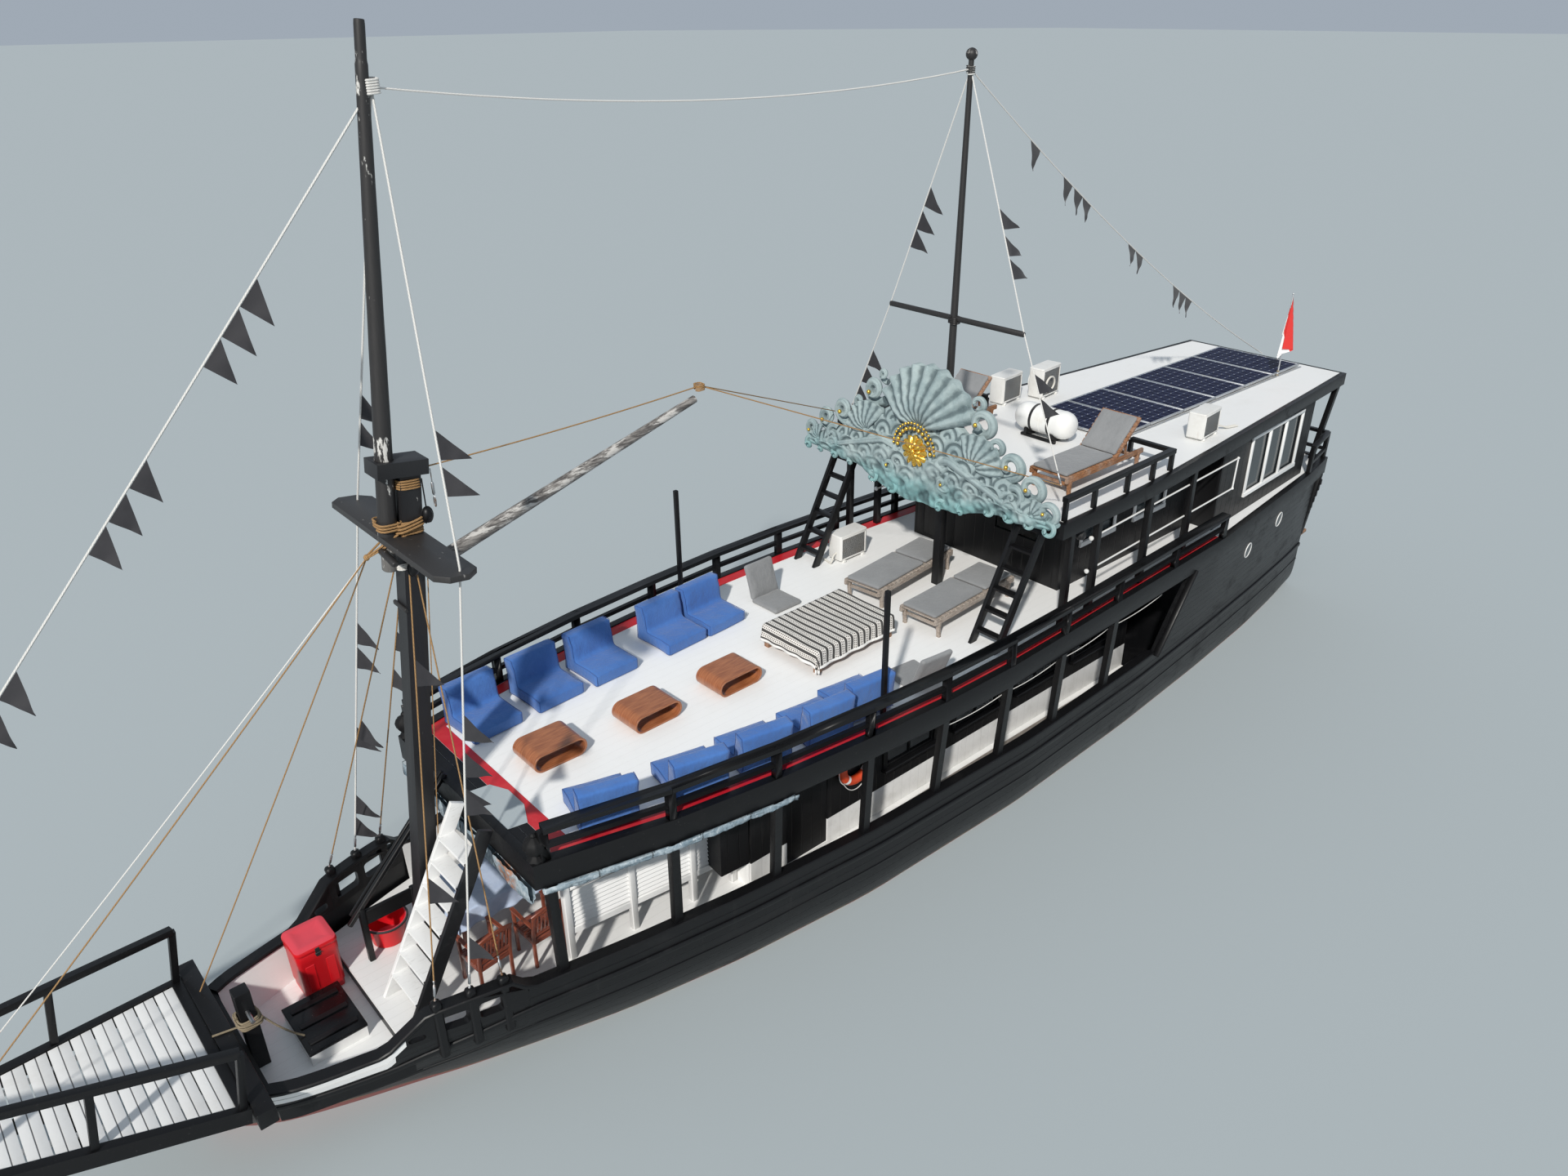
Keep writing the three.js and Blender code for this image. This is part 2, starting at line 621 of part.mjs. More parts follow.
const PLATFORM = {
  base: 1060, rise: 0.168, length: 3650, aftHalf: 1130, tipHalf: 300, side: 110, low: -60, top: 120,
};
const platform = new THREE.Group();
platform.position.set(BEAM.x[1] + PLATFORM.top * Math.sin(PLATFORM.rise) + SEAT, 0, PLATFORM.base);
platform.rotation.y = -PLATFORM.rise;
boat.add(platform);
const platformHalf = (x) => PLATFORM.aftHalf + (PLATFORM.tipHalf - PLATFORM.aftHalf) * (x / PLATFORM.length);
const PLATFORM_EDGE = [[0, PLATFORM.aftHalf], [PLATFORM.length, PLATFORM.tipHalf]];
const PLATFORM_INNER = [
  [PLATFORM.side, PLATFORM.aftHalf - PLATFORM.side],
  [PLATFORM.length - PLATFORM.side, PLATFORM.tipHalf - PLATFORM.side],
];

function makePlatformFrame() {
  const rim = cut(slab(PLATFORM_EDGE, PLATFORM.low, PLATFORM.top), [slab(PLATFORM_INNER, -100, 200)]);
  const ledgers = [200, 1300, 2400, 3400].map((x) => {
    const half = platformHalf(x) - PLATFORM.side + 20;
    return block([x - 50, -half, PLATFORM.low], [x + 50, half, 40]);
  });
  const spine = block([50, -60, PLATFORM.low], [PLATFORM.length - 50, 60, 40]);
  return join([rim, ...ledgers, spine]);
}
add('platform_frame', makePlatformFrame(), BLACK, platform);

function makePlatformPlanks() {
  const pitch = 205;
  const gap = 16;
  const count = Math.floor((PLATFORM.length - 2 * PLATFORM.side) / pitch);
  const planks = Array.from({ length: count }, (_, i) => {
    const x = PLATFORM.side + SEAT + i * pitch;
    const half = (at) => lookUp(PLATFORM_INNER, at) - 10;
    return slab([[x, half(x)], [x + pitch - gap, half(x + pitch - gap)]], 70, 100);
  });
  const battens = [1, -1].map((side) => timber(
    [150, side * 700, 55.3],
    [PLATFORM.side + count * pitch - 30, side * 130, 55.3],
    60,
    30,
  ));
  return join([...planks, ...battens]);
}
add('platform_planks', makePlatformPlanks(), WHITE, platform);

function makePlatformRails() {
  const centre = (x) => platformHalf(x) - 55;
  const xs = [60, 1250, 2440, PLATFORM.length - 50];
  const sides = [1, -1].flatMap((side) => xs.map((x) => block(
    [x - 35, side * centre(x) - 35, PLATFORM.top + SEAT],
    [x + 35, side * centre(x) + 35, 780],
  )));
  const ends = [xs[0], xs.at(-1)];
  const bars = [1, -1].flatMap((side) => railRun(ends, (x) => side * centre(x), 750, 830, 80));
  const tip = PLATFORM.length - 50;
  const front = timber([tip, -centre(tip), 790], [tip, centre(tip), 790], 80, 80);
  return join([...sides, ...bars, front]);
}
add('platform_rails', makePlatformRails(), BLACK, platform);

// Foremast, raked aft: square lower mast with its cap, crosstree and round topmast
const RAKE = 0.119;
const MAST = {
  foot: 8150, base: MAIN_DECK + SEAT, size: 210, head: 6090, cross: 5300, top: 9840, topX: 210, heel: 95, tip: 50,
};
const foremast = new THREE.Group();
foremast.position.set(MAST.foot, 0, MAST.base);
foremast.rotation.y = -RAKE;
boat.add(foremast);
const topRadius = (w) => MAST.heel + ((MAST.tip - MAST.heel) * (w - MAST.cross)) / (MAST.top - MAST.cross);
const GOOSENECK = { u: -190, low: 4880, high: 5040, plate: 25, pin: 20, tongue: 110 };

function makeForemast() {
  const half = MAST.size / 2;
  const post = block([-half, -half, -40], [half, half, MAST.head]);
  const cap = block([-170, -150, MAST.head - 150], [340, 150, MAST.head]);
  const cheeks = [1, -1].map((side) => block(
    [-110, side * 135 - 35, MAST.cross - 230],
    [200, side * 135 + 35, MAST.cross - 30 - SEAT],
  ));
  const lugs = [GOOSENECK.low, GOOSENECK.high - GOOSENECK.plate].map((w) => block(
    [GOOSENECK.u - 45, -45, w],
    [-half + 10, 45, w + GOOSENECK.plate],
  ));
  const bore = topRadius(MAST.head - 150) + 3;
  const hole = spar([MAST.topX, 0, MAST.head - 300], [MAST.topX, 0, MAST.head + 100], bore, bore, 16);
  const pinHole = spar(
    [GOOSENECK.u, 0, GOOSENECK.low - 50],
    [GOOSENECK.u, 0, GOOSENECK.high + 50],
    GOOSENECK.pin + 1.5,
    GOOSENECK.pin + 1.5,
    12,
  );
  const below = block([-600, -600, -400], [600, 600, 0]).rotateY(RAKE);
  return cut(join([post, cap, ...cheeks, ...lugs]), [hole, pinHole, below]);
}
add('foremast', makeForemast(), BLACK, foremast);

function makeCrosstree() {
  const [long, deep, clip] = [1260, 300, 110];
  const corners = [[-130, -long + clip], [-130, long - clip], [0, long], [deep - clip, long],
    [deep, long - clip], [deep, -long + clip], [deep - clip, -long], [0, -long]];
  const shape = new THREE.Shape(corners.map(([x, y]) => new THREE.Vector2(x, y)).reverse());
  const plank = new THREE.ExtrudeGeometry(shape, { depth: 60, bevelEnabled: false });
  plank.translate(0, 0, MAST.cross - 30);
  const half = MAST.size / 2 + SEAT;
  return cut(plank, [block([-half, -half, MAST.cross - 100], [half, half, MAST.cross + 100])]);
}
add('crosstree', makeCrosstree(), BLACK, foremast);
add('topmast', spar(
  [MAST.topX, 0, MAST.cross + 30 + SEAT],
  [MAST.topX, 0, MAST.top],
  MAST.heel,
  MAST.tip,
  12,
), BLACK, foremast);

// Gooseneck that swings on the mast, and the boom that tops up and down on it
const BOOM = { length: 3460, rise: 0.285, heel: 75, tip: 45, pin: 16.4, eye: 17 };

function makeGooseneck() {
  const low = GOOSENECK.low + GOOSENECK.plate + SEAT;
  const high = GOOSENECK.high - GOOSENECK.plate - SEAT;
  const knuckle = block([GOOSENECK.u - 35, -30, low], [GOOSENECK.u + 35, 30, high]);
  const pin = spar(
    [GOOSENECK.u, 0, GOOSENECK.low - 15],
    [GOOSENECK.u, 0, GOOSENECK.high + 15],
    GOOSENECK.pin,
    GOOSENECK.pin,
    12,
  );
  const tongue = block([GOOSENECK.u - GOOSENECK.tongue - 35, -15, low + 20], [GOOSENECK.u, 15, high - 20]);
  const middle = (low + high) / 2;
  const eye = spar(
    [GOOSENECK.u - GOOSENECK.tongue, -50, middle],
    [GOOSENECK.u - GOOSENECK.tongue, 50, middle],
    BOOM.eye,
    BOOM.eye,
    12,
  );
  return cut(join([knuckle, pin, tongue]), [eye]);
}
add('boom_gooseneck', makeGooseneck(), STEEL, foremast);

function makeBoom() {
  const cheeks = [1, -1].map((side) => block(
    [-25, side * 31 - 14, -40],
    [190, side * 31 + 14, 40],
  ));
  const pin = spar([0, -40, 0], [0, 40, 0], BOOM.pin, BOOM.pin, 12);
  const pole = spar([120, 0, 0], [BOOM.length, 0, 0], BOOM.heel, BOOM.tip, 10);
  const slot = block([-60, -17, -60], [170, 17, 60]);
  const fork = cut(join([...cheeks, pole]), [slot]);
  return join([fork, pin]);
}
const boomPivot = new THREE.Vector3(GOOSENECK.u - GOOSENECK.tongue, 0, (GOOSENECK.low + GOOSENECK.high) / 2);
const boom = add('boom', makeBoom(), GREY, foremast);
boom.position.copy(boomPivot);
boom.rotation.y = Math.PI + BOOM.rise + RAKE;

// Aft mast on the roof's front edge, with its spreader and ball
function makeAftMast() {
  const x = -530;
  const pole = spar([x, 0, ROOF + 10], [x - 40, 0, 9980], 62, 34, 12);
  const step = block([x - 120, -120, ROOF + SEAT], [x + 115, 120, ROOF + 60]);
  const spreader = timber([x - 20, -1200, 6730], [x - 20, 1200, 6730], 70, 55);
  const ball = new THREE.SphereGeometry(75, 12, 8).translate(x - 40, 0, 10010);
  return join([pole, step, spreader, ball]);
}
add('aft_mast', makeAftMast(), BLACK);

// Rudder hung on the transom, its stock notched around the gudgeons
function makeRudder() {
  const x = RUDDER_AXIS;
  const stock = spar([x, 0, -1150], [x, 0, 1050], 48, 48, 14);
  const blade = panel([[x - 700, -1120], [x, -1150], [x, 350], [x - 480, 350], [x - 700, 0]], -35, 35);
  const notches = GUDGEONS.map((z) => block(
    [x - 90, -60, z - SEAT],
    [x + 120, 60, z + GUDGEON_HEIGHT + SEAT],
  ));
  const pins = GUDGEONS.map((z) => spar([x, 0, z - 5], [x, 0, z + GUDGEON_HEIGHT + 5],
    PINTLE_RADIUS, PINTLE_RADIUS, 12));
  return join([cut(join([stock, blade]), notches), ...pins]);
}
add('rudder', makeRudder(), BLACK);

// Propeller with its shaft
function makePropeller() {
  const shaft = spar([SHAFT_END + TUBE_DEPTH - SEAT, 0, SHAFT_Z], [SHAFT_END - 430, 0, SHAFT_Z],
    SHAFT_RADIUS, SHAFT_RADIUS, 12);
  const hub = spar([SHAFT_END - 290, 0, SHAFT_Z], [SHAFT_END - 430, 0, SHAFT_Z], 60, 45, 12);
  const blades = [0, 1, 2].map((i) => {
    const blade = block([-9, -80, 40], [9, 80, 280]);
    blade.rotateZ(0.6);
    blade.rotateX((i * 2 * Math.PI) / 3);
    return blade.translate(SHAFT_END - 360, 0, SHAFT_Z);
  });
  return join([shaft, hub, ...blades]);
}
add('propeller', makePropeller(), BRONZE);

// Solar array: six panels on two rails
const SOLAR = { x: -9710, y: -820, pitch: 1010, width: 1650, depth: 992, panels: 6 };

function makeSolar() {
  const panels = Array.from({ length: SOLAR.panels }, (_, i) => block(
    [SOLAR.x + i * SOLAR.pitch, SOLAR.y, ROOF + 30],
    [SOLAR.x + i * SOLAR.pitch + SOLAR.depth, SOLAR.y + SOLAR.width, ROOF + 65],
  ));
  const end = SOLAR.x + SOLAR.panels * SOLAR.pitch;
  const rails = [0.2, 0.8].map((share) => {
    const y = SOLAR.y + share * SOLAR.width;
    return block([SOLAR.x, y - 20, ROOF + SEAT], [end - 20, y + 20, ROOF + 31]);
  });
  return join([...panels, ...rails]);
}
add('solar_array', makeSolar(), CELLS);

// Round-ended tank lying across the roof in a cradle
function makeTank() {
  const [x, y, z, radius] = [-3020, -50, 4680, 225];
  const tank = new THREE.CapsuleGeometry(radius, 640, 4, 14).translate(x, y, z);
  const saddles = [-240, 240].map((offset) => block(
    [x - 200, y + offset - 30, ROOF + SEAT],
    [x + 200, y + offset + 30, z - 60],
  ));
  const runners = [-170, 170].map((offset) => block(
    [x + offset - 25, y - 330, ROOF + SEAT],
    [x + offset + 25, y + 330, ROOF + 50],
  ));
  return join([tank, ...saddles, ...runners]);
}
add('roof_tank', makeTank(), WHITE);

// Air conditioner units: name, x, y, floor level, turn about the vertical, height
const AC_UNITS = [
  ['ac_unit_roof_port', -4900, 1610, ROOF, 0.1, 450],
  ['ac_unit_roof_starboard', -4760, -1390, ROOF, 0.1, 550],
  ['ac_unit_roof_fore', -4010, -1640, ROOF, 0.1, 500],
  ['ac_unit_deck', -120, -1535, UPPER_DECK, 0.02, 460],
];
for (const [name, x, y, floor, turn, height] of AC_UNITS) {
  const body = block([-300, -145, 40], [300, 145, height]);
  const feet = [-210, 210].map((offset) => block([offset - 30, -160, SEAT], [offset + 30, 160, 41]));
  const unit = add(name, join([body, ...feet]), WHITE);
  unit.position.set(x, y, floor);
  unit.rotation.z = turn;
}

// Carved crest standing across the roof's front edge
const CREST_DEPTH = 600;
const CREST = [ // y, z around the port half, from the foot of the middle to its top
  [0, 4130], [450, 4150], [900, 4230], [1150, 4370], [1700, 4370], [2200, 4370], [2420, 4480], [2400, 4640],
  [2150, 4760], [1900, 4980], [1600, 5240], [1250, 5420], [1020, 5800], [640, 6020], [300, 6150], [0, 6190],
];

function makeCrest() {
  const outline = [...CREST, ...CREST.slice(1, -1).reverse().map(([y, z]) => [-y, z])];
  const shape = new THREE.Shape(outline.map(([y, z]) => new THREE.Vector2(y, z)));
  const body = new THREE.ExtrudeGeometry(shape, { depth: CREST_DEPTH, bevelEnabled: false });
  body.rotateX(Math.PI / 2).rotateZ(Math.PI / 2);
  return body.translate(-400 + SEAT, 0, 0);
}
add('crest', makeCrest(), VERDIGRIS);

// Loungers: name, x of the foot end, y of its middle, floor level, backrest slope, turn about the vertical
const LOUNGERS = [
  ['lounger_roof_port', -1150, 1380, ROOF, 0.75, 0],
  ['lounger_roof_starboard', -1150, -1380, ROOF, 0.75, 0],
  ['lounger_deck_port', 900, 890, UPPER_DECK, 0, 0.07],
  ['lounger_deck_starboard', 880, -235, UPPER_DECK, 0, 0.117],
];
const LOUNGER = { length: 1900, width: 660, seat: 320, frame: 60, back: 720 };
for (const [name, x, y, floor, slope, turn] of LOUNGERS) {
  const half = LOUNGER.width / 2;
  const hinge = LOUNGER.length - LOUNGER.back;
  const seat = block([-hinge, -half, LOUNGER.seat - 60], [0, half, LOUNGER.seat]);
  const back = timber(
    [-hinge + 20, 0, LOUNGER.seat - 25],
    [-hinge - LOUNGER.back * Math.cos(slope), 0, LOUNGER.seat - 25 + LOUNGER.back * Math.sin(slope)],
    LOUNGER.width,
    50,
  );
  const sides = [1, -1].map((side) => block(
    [-LOUNGER.length, side * (half - 25) - 25, LOUNGER.seat - 110],
    [0, side * (half - 25) + 25, LOUNGER.seat - 30],
  ));
  const legs = [-110, -LOUNGER.length + 110].flatMap((at) => [1, -1].map((side) => block(
    [at - 30, side * (half - 30) - 30, SEAT],
    [at + 30, side * (half - 30) + 30, LOUNGER.seat - 60],
  )));
  const prop = slope > 0
    ? [block([-hinge - 380, -half, LOUNGER.seat - 100], [-hinge - 340, half, LOUNGER.seat + 300 * slope])]
    : [];
  const lounger = add(name, join([seat, back, ...sides, ...legs, ...prop]), OAK);
  lounger.position.set(x, y, floor);
  lounger.rotation.z = turn;
}

// Foam sofas in two rows: x and y of the unit's forward outer corner, turn about the vertical
const SOFAS = {
  sofa_starboard: [[6930, -1490, 0.08], [6000, -1560, 0.08], [5130, -1600, 0.08], [3960, -1610, 0.08],
    [3225, -1660, 0.08]],
  sofa_port: [[6850, 1515, -0.28], [5790, 1780, -0.22], [4910, 1880, -0.18], [3980, 2000, -0.11],
    [3245, 1960, -0.11]],
};
const SOFA = { width: 720, depth: 740, seat: 200, back: 570, thick: 210, link: [300, 60] };
for (const [name, units] of Object.entries(SOFAS)) {
  const base = UPPER_DECK + SEAT;
  const blocks = units.flatMap(([x, y, turn]) => {
    const inward = y > 0 ? -1 : 1;
    const part = (depth, height) => {
      const [low, high] = [Math.min(0, inward * depth), Math.max(0, inward * depth)];
      const solid = block([-SOFA.width, low, base], [0, high, UPPER_DECK + height]);
      return solid.rotateZ(turn).translate(x, y, 0);
    };
    return [part(SOFA.depth, SOFA.seat), part(SOFA.thick, SOFA.back)];
  });
  const middles = units.map(([x, y, turn]) => {
    const inward = y > 0 ? -1 : 1;
    const [along, across] = [-SOFA.width / 2, inward * SOFA.depth / 2];
    return [
      x + along * Math.cos(turn) - across * Math.sin(turn),
      y + along * Math.sin(turn) + across * Math.cos(turn),
      base + SOFA.link[1] / 2,
    ];
  });
  const links = middles.slice(1).map((middle, i) => timber(middles[i], middle, ...SOFA.link));
  add(name, join([...blocks, ...links]), BLUE);
}

// Daybed: wooden frame with a mattress on it
const DAYBED = { x: 1990, y: 240, turn: 0.03, length: 1500, width: 1080 };
const daybed = new THREE.Group();
daybed.position.set(DAYBED.x, DAYBED.y, UPPER_DECK);
daybed.rotation.z = DAYBED.turn;
boat.add(daybed);
const [bedX, bedY] = [DAYBED.length / 2, DAYBED.width / 2];

function makeDaybedFrame() {
  const top = block([-bedX, -bedY, 150], [bedX, bedY, 220]);
  const legs = [1, -1].flatMap((i) => [1, -1].map((j) => block(
    [i * (bedX - 60) - 40, j * (bedY - 60) - 40, SEAT],
    [i * (bedX - 60) + 40, j * (bedY - 60) + 40, 160],
  )));
  return join([top, ...legs]);
}
add('daybed_frame', makeDaybedFrame(), OAK, daybed);
add('daybed_mattress', block(
  [-bedX + 10, -bedY + 10, 220 + SEAT],
  [bedX - 10, bedY - 10, 350],
), GREY, daybed);

export default boat;
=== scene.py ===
"""Looks of a two-masted wooden tour boat, afloat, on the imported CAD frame.

Metres. +X points to the bow, +Y to port, +Z up, and the water is at z = 0.
"""

import math

import bmesh
import bpy
import numpy as np
from mathutils import Matrix, Vector
from mathutils.bvhtree import BVHTree


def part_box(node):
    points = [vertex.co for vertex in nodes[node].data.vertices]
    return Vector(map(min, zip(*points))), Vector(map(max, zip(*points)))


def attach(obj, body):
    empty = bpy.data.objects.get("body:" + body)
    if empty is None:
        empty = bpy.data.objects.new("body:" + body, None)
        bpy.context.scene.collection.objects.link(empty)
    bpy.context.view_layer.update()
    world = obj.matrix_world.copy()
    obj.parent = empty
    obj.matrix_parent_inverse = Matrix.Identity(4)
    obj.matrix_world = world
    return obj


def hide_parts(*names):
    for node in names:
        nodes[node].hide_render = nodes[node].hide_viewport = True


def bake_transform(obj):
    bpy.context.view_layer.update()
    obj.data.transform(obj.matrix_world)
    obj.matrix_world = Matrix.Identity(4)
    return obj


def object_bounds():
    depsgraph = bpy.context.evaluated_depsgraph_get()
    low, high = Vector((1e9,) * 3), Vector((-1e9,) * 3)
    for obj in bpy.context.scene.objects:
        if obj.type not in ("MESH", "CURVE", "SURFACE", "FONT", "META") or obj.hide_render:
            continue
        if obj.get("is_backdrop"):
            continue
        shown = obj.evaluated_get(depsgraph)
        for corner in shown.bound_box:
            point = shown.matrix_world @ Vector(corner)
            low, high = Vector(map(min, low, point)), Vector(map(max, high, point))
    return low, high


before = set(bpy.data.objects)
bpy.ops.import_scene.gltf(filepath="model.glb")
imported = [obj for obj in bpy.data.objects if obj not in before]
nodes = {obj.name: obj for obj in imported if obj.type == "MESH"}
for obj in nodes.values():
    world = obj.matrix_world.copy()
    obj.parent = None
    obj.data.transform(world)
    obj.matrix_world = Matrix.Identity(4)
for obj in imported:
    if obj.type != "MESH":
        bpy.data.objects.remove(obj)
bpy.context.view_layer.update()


# Camera: the place and lens that a fit to the whole photograph gives. It stands about 10.6 m above the
# water, off the port bow, and looks aft and down over the platform.
EYE = Vector((11.4597, 10.0522, 10.590))
AHEAD = Vector((-0.58733, -0.66607, -0.45977)).normalized()
RIGHT = Vector((-0.74800, 0.66367, -0.00594)).normalized()

lens = bpy.data.cameras.new("camera")
lens.lens = 25.96
lens.sensor_width = 36.0
lens.clip_end = 500.0
camera = bpy.data.objects.new("camera", lens)
aim = Matrix((RIGHT, RIGHT.cross(AHEAD), -AHEAD)).transposed().to_4x4()
camera.matrix_world = Matrix.Translation(EYE) @ aim
bpy.context.scene.collection.objects.link(camera)
bpy.context.scene.camera = camera
bpy.context.scene.view_settings.view_transform = "Standard"


# Materials are node trees. A finish starts one, a wire is one of its sockets, and arithmetic on wires adds
# the nodes that work it out.
class Wire:
    """A socket whose arithmetic adds Math nodes to its tree."""

    def __init__(self, tree, socket):
        self.tree = tree
        self.socket = socket

    def math(self, operation, other=0.0, swapped=False):
        """A Math node on this wire and another, the other way round if swapped."""
        node = self.tree.nodes.new("ShaderNodeMath")
        node.operation = operation
        pair = (other, self) if swapped else (self, other)
        for end, value in zip(node.inputs, pair):
            plug(self.tree, end, value)
        return Wire(self.tree, node.outputs[0])

    def __add__(self, other):
        return self.math("ADD", other)

    def __radd__(self, other):
        return self.math("ADD", other)

    def __sub__(self, other):
        return self.math("SUBTRACT", other)

    def __rsub__(self, other):
        return self.math("SUBTRACT", other, swapped=True)

    def __mul__(self, other):
        return self.math("MULTIPLY", other)

    def __rmul__(self, other):
        return self.math("MULTIPLY", other)

    def __truediv__(self, other):
        return self.math("DIVIDE", other)

    def __gt__(self, other):
        return self.math("GREATER_THAN", other)

    def __lt__(self, other):
        return self.math("LESS_THAN", other)

    def __abs__(self):
        return self.math("ABSOLUTE")


def plug(tree, end, value):
    """Sets a socket to a value, or links a wire to it."""
    if isinstance(value, Wire):
        tree.links.new(value.socket, end)
    elif isinstance(value, tuple) and end.type == "RGBA" and len(value) == 3:
        end.default_value = (*value, 1.0)
    else:
        end.default_value = value


class Finish:
    """A material's tree, its coordinates and the few mixtures that this boat's paints and cloths use."""

    def __init__(self, name):
        self.material = bpy.data.materials.new(name)
        self.material.use_nodes = True
        self.tree = self.material.node_tree
        self.tree.nodes.clear()

    def add(self, kind, settings, sockets, output=0):
        """Adds a node of a type, gives it its settings, then its sockets' values or links."""
        node = self.tree.nodes.new(kind)
        for key, value in settings.items():
            setattr(node, key, value)
        for key, value in sockets.items():
            plug(self.tree, node.inputs[key], value)
        return Wire(self.tree, node.outputs[output])

    def place(self, stretch=(1.0, 1.0, 1.0), turn=(0.0, 0.0, 0.0)):
        """The object's own coordinates in metres, stretched and turned."""
        raw = self.add("ShaderNodeTexCoord", {}, {}, "Object")
        return self.add("ShaderNodeMapping", {}, {"Vector": raw, "Scale": stretch, "Rotation": turn})

    def map(self, stretch=(1.0, 1.0, 1.0)):
        """The piece's own map: metres along it and across it."""
        raw = self.add("ShaderNodeTexCoord", {}, {}, "UV")
        return self.add("ShaderNodeMapping", {}, {"Vector": raw, "Scale": stretch})

    def parts(self, vector):
        """The three numbers of a vector."""
        node = self.tree.nodes.new("ShaderNodeSeparateXYZ")
        self.tree.links.new(vector.socket, node.inputs[0])
        return [Wire(self.tree, socket) for socket in node.outputs]

    def noise(self, vector, scale, detail=4.0, rough=0.6):
        """Cloudy noise from 0 to 1."""
        return self.add("ShaderNodeTexNoise", {}, {
            "Vector": vector,
            "Scale": scale,
            "Detail": detail,
            "Roughness": rough,
        }, "Fac")

    def step(self, value, low, high, bottom=0.0, top=1.0):
        """Runs from bottom to top as the value goes from low to high, with soft ends."""
        return self.add("ShaderNodeMapRange", {"interpolation_type": "SMOOTHSTEP"}, {
            "Value": value,
            "From Min": low,
            "From Max": high,
            "To Min": bottom,
            "To Max": top,
        })

    def groove(self, value, half):
        """One in a narrow band round each whole number of the value, else nought."""
        near = abs(value.math("FRACT") - 0.5)
        return self.step(near, 0.5 - half, 0.5)

    def mix(self, share, first, second):
        """A colour between two colours."""
        settings = {"data_type": "RGBA"}
        return self.add("ShaderNodeMix", settings, {0: share, 6: first, 7: second}, 2)

    def done(self, colour, rough, relief=None, depth=0.002, **fixed):
        """Closes the tree with its shader. relief is a height from 0 to 1 that stands depth metres high."""
        shader = self.tree.nodes.new("ShaderNodeBsdfPrincipled")
        plug(self.tree, shader.inputs["Base Color"], colour)
        plug(self.tree, shader.inputs["Roughness"], rough)
        for key, value in fixed.items():
            plug(self.tree, shader.inputs[key.replace("_", " ")], value)
        if relief is not None:
            bump = self.add("ShaderNodeBump", {}, {"Strength": 1.0, "Distance": depth, "Height": relief})
            self.tree.links.new(bump.socket, shader.inputs["Normal"])
        end = self.tree.nodes.new("ShaderNodeOutputMaterial")
        self.tree.links.new(shader.outputs[0], end.inputs["Surface"])
        return self.material


# Studio: a pale floor at the water's level and one soft sun from the bow, to port, with pale light all
# round.
SUN = Vector((1.9, 1.3, 1.75))
FLOOR_HALF = 450.0

sunlight = bpy.data.lights.new("sun", "SUN")
sunlight.energy = 3.5
sunlight.angle = math.radians(2.5)
sunlight.color = (1.0, 0.965, 0.91)
sun = bpy.data.objects.new("sun", sunlight)
sun.rotation_euler = SUN.to_track_quat("Z", "Y").to_euler()
bpy.context.scene.collection.objects.link(sun)

sky = bpy.data.worlds.new("studio")
sky.use_nodes = True
sky.node_tree.nodes["Background"].inputs["Color"].default_value = (0.70, 0.80, 0.92, 1.0)
sky.node_tree.nodes["Background"].inputs["Strength"].default_value = 0.50
bpy.context.scene.world = sky

floor_mesh = bpy.data.meshes.new("floor")
floor_corners = [(-FLOOR_HALF, -FLOOR_HALF, 0), (FLOOR_HALF, -FLOOR_HALF, 0),
                 (FLOOR_HALF, FLOOR_HALF, 0), (-FLOOR_HALF, FLOOR_HALF, 0)]
floor_mesh.from_pydata(floor_corners, [], [(0, 1, 2, 3)])
floor = bpy.data.objects.new("floor", floor_mesh)
floor_paint = Finish("floor")
floor_mesh.materials.append(floor_paint.done((0.40, 0.445, 0.46), 0.75))
bpy.context.scene.collection.objects.link(floor)
floor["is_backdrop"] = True


# Hull: carvel planks on sawn frames, black gloss paint above the water and red below it. A keel and
# stem timber close the planking, a moulded wale runs below the rail, and a flat cap covers the bulwark.
STATIONS = np.array([  # x, keel, sheer, half breadth at the sheer, half breadth on the waterline
    (-9.85, -0.45, 1.20, 1.50, 1.38),
    (-9.00, -0.72, 1.20, 1.63, 1.54),
    (-7.50, -0.95, 1.20, 1.81, 1.74),
    (-5.50, -1.05, 1.20, 2.01, 1.92),
    (-3.00, -1.10, 1.20, 2.22, 2.09),
    (0.00, -1.10, 1.20, 2.35, 2.20),
    (3.00, -1.10, 1.20, 2.27, 2.12),
    (5.00, -1.08, 1.20, 2.08, 1.88),
    (6.50, -1.05, 1.20, 1.85, 1.59),
    (7.70, -1.00, 1.20, 1.62, 1.25),
    (7.83, -0.992, 1.37, 1.60, 1.205),
    (8.30, -0.96, 1.37, 1.495, 1.075),
    (8.72, -0.918, 1.35, 1.378, 0.912),
    (9.17, -0.836, 0.985, 1.23, 0.768),
    (9.80, -0.65, 0.985, 1.09, 0.54),
    (10.30, -0.35, 1.00, 0.93, 0.33),
    (10.62, 0.02, 1.00, 0.62, 0.02),
    (10.95, 0.70, 1.00, 0.11, 0.01),
])
STRAKES = 15
BULWARK = 0.10
FAIRING = 0.30  # reach of the running mean that makes the lines fair
QUARTER_TOP = 2.397
RAISED_RAIL = (7.70, 9.17)


def faired(x, column):
    """A column of the station table at x: straight lines between rows, averaged over the fairing's reach."""
    table = STATIONS[:, [0, column]]
    slopes = (table[1] - table[0], table[-1] - table[-2])
    rows = np.vstack((table[0] - 2 * slopes[0], table, table[-1] + 2 * slopes[1]))
    reach = FAIRING if column != 2 else 0.02
    spread = np.linspace(-reach, reach, 9)
    near = np.minimum(1.0, (10.95 - np.asarray(x, float)) / FAIRING)
    return np.interp(np.add.outer(spread, np.zeros(np.shape(x))) * near + x, rows[:, 0], rows[:, 1]).mean(0)


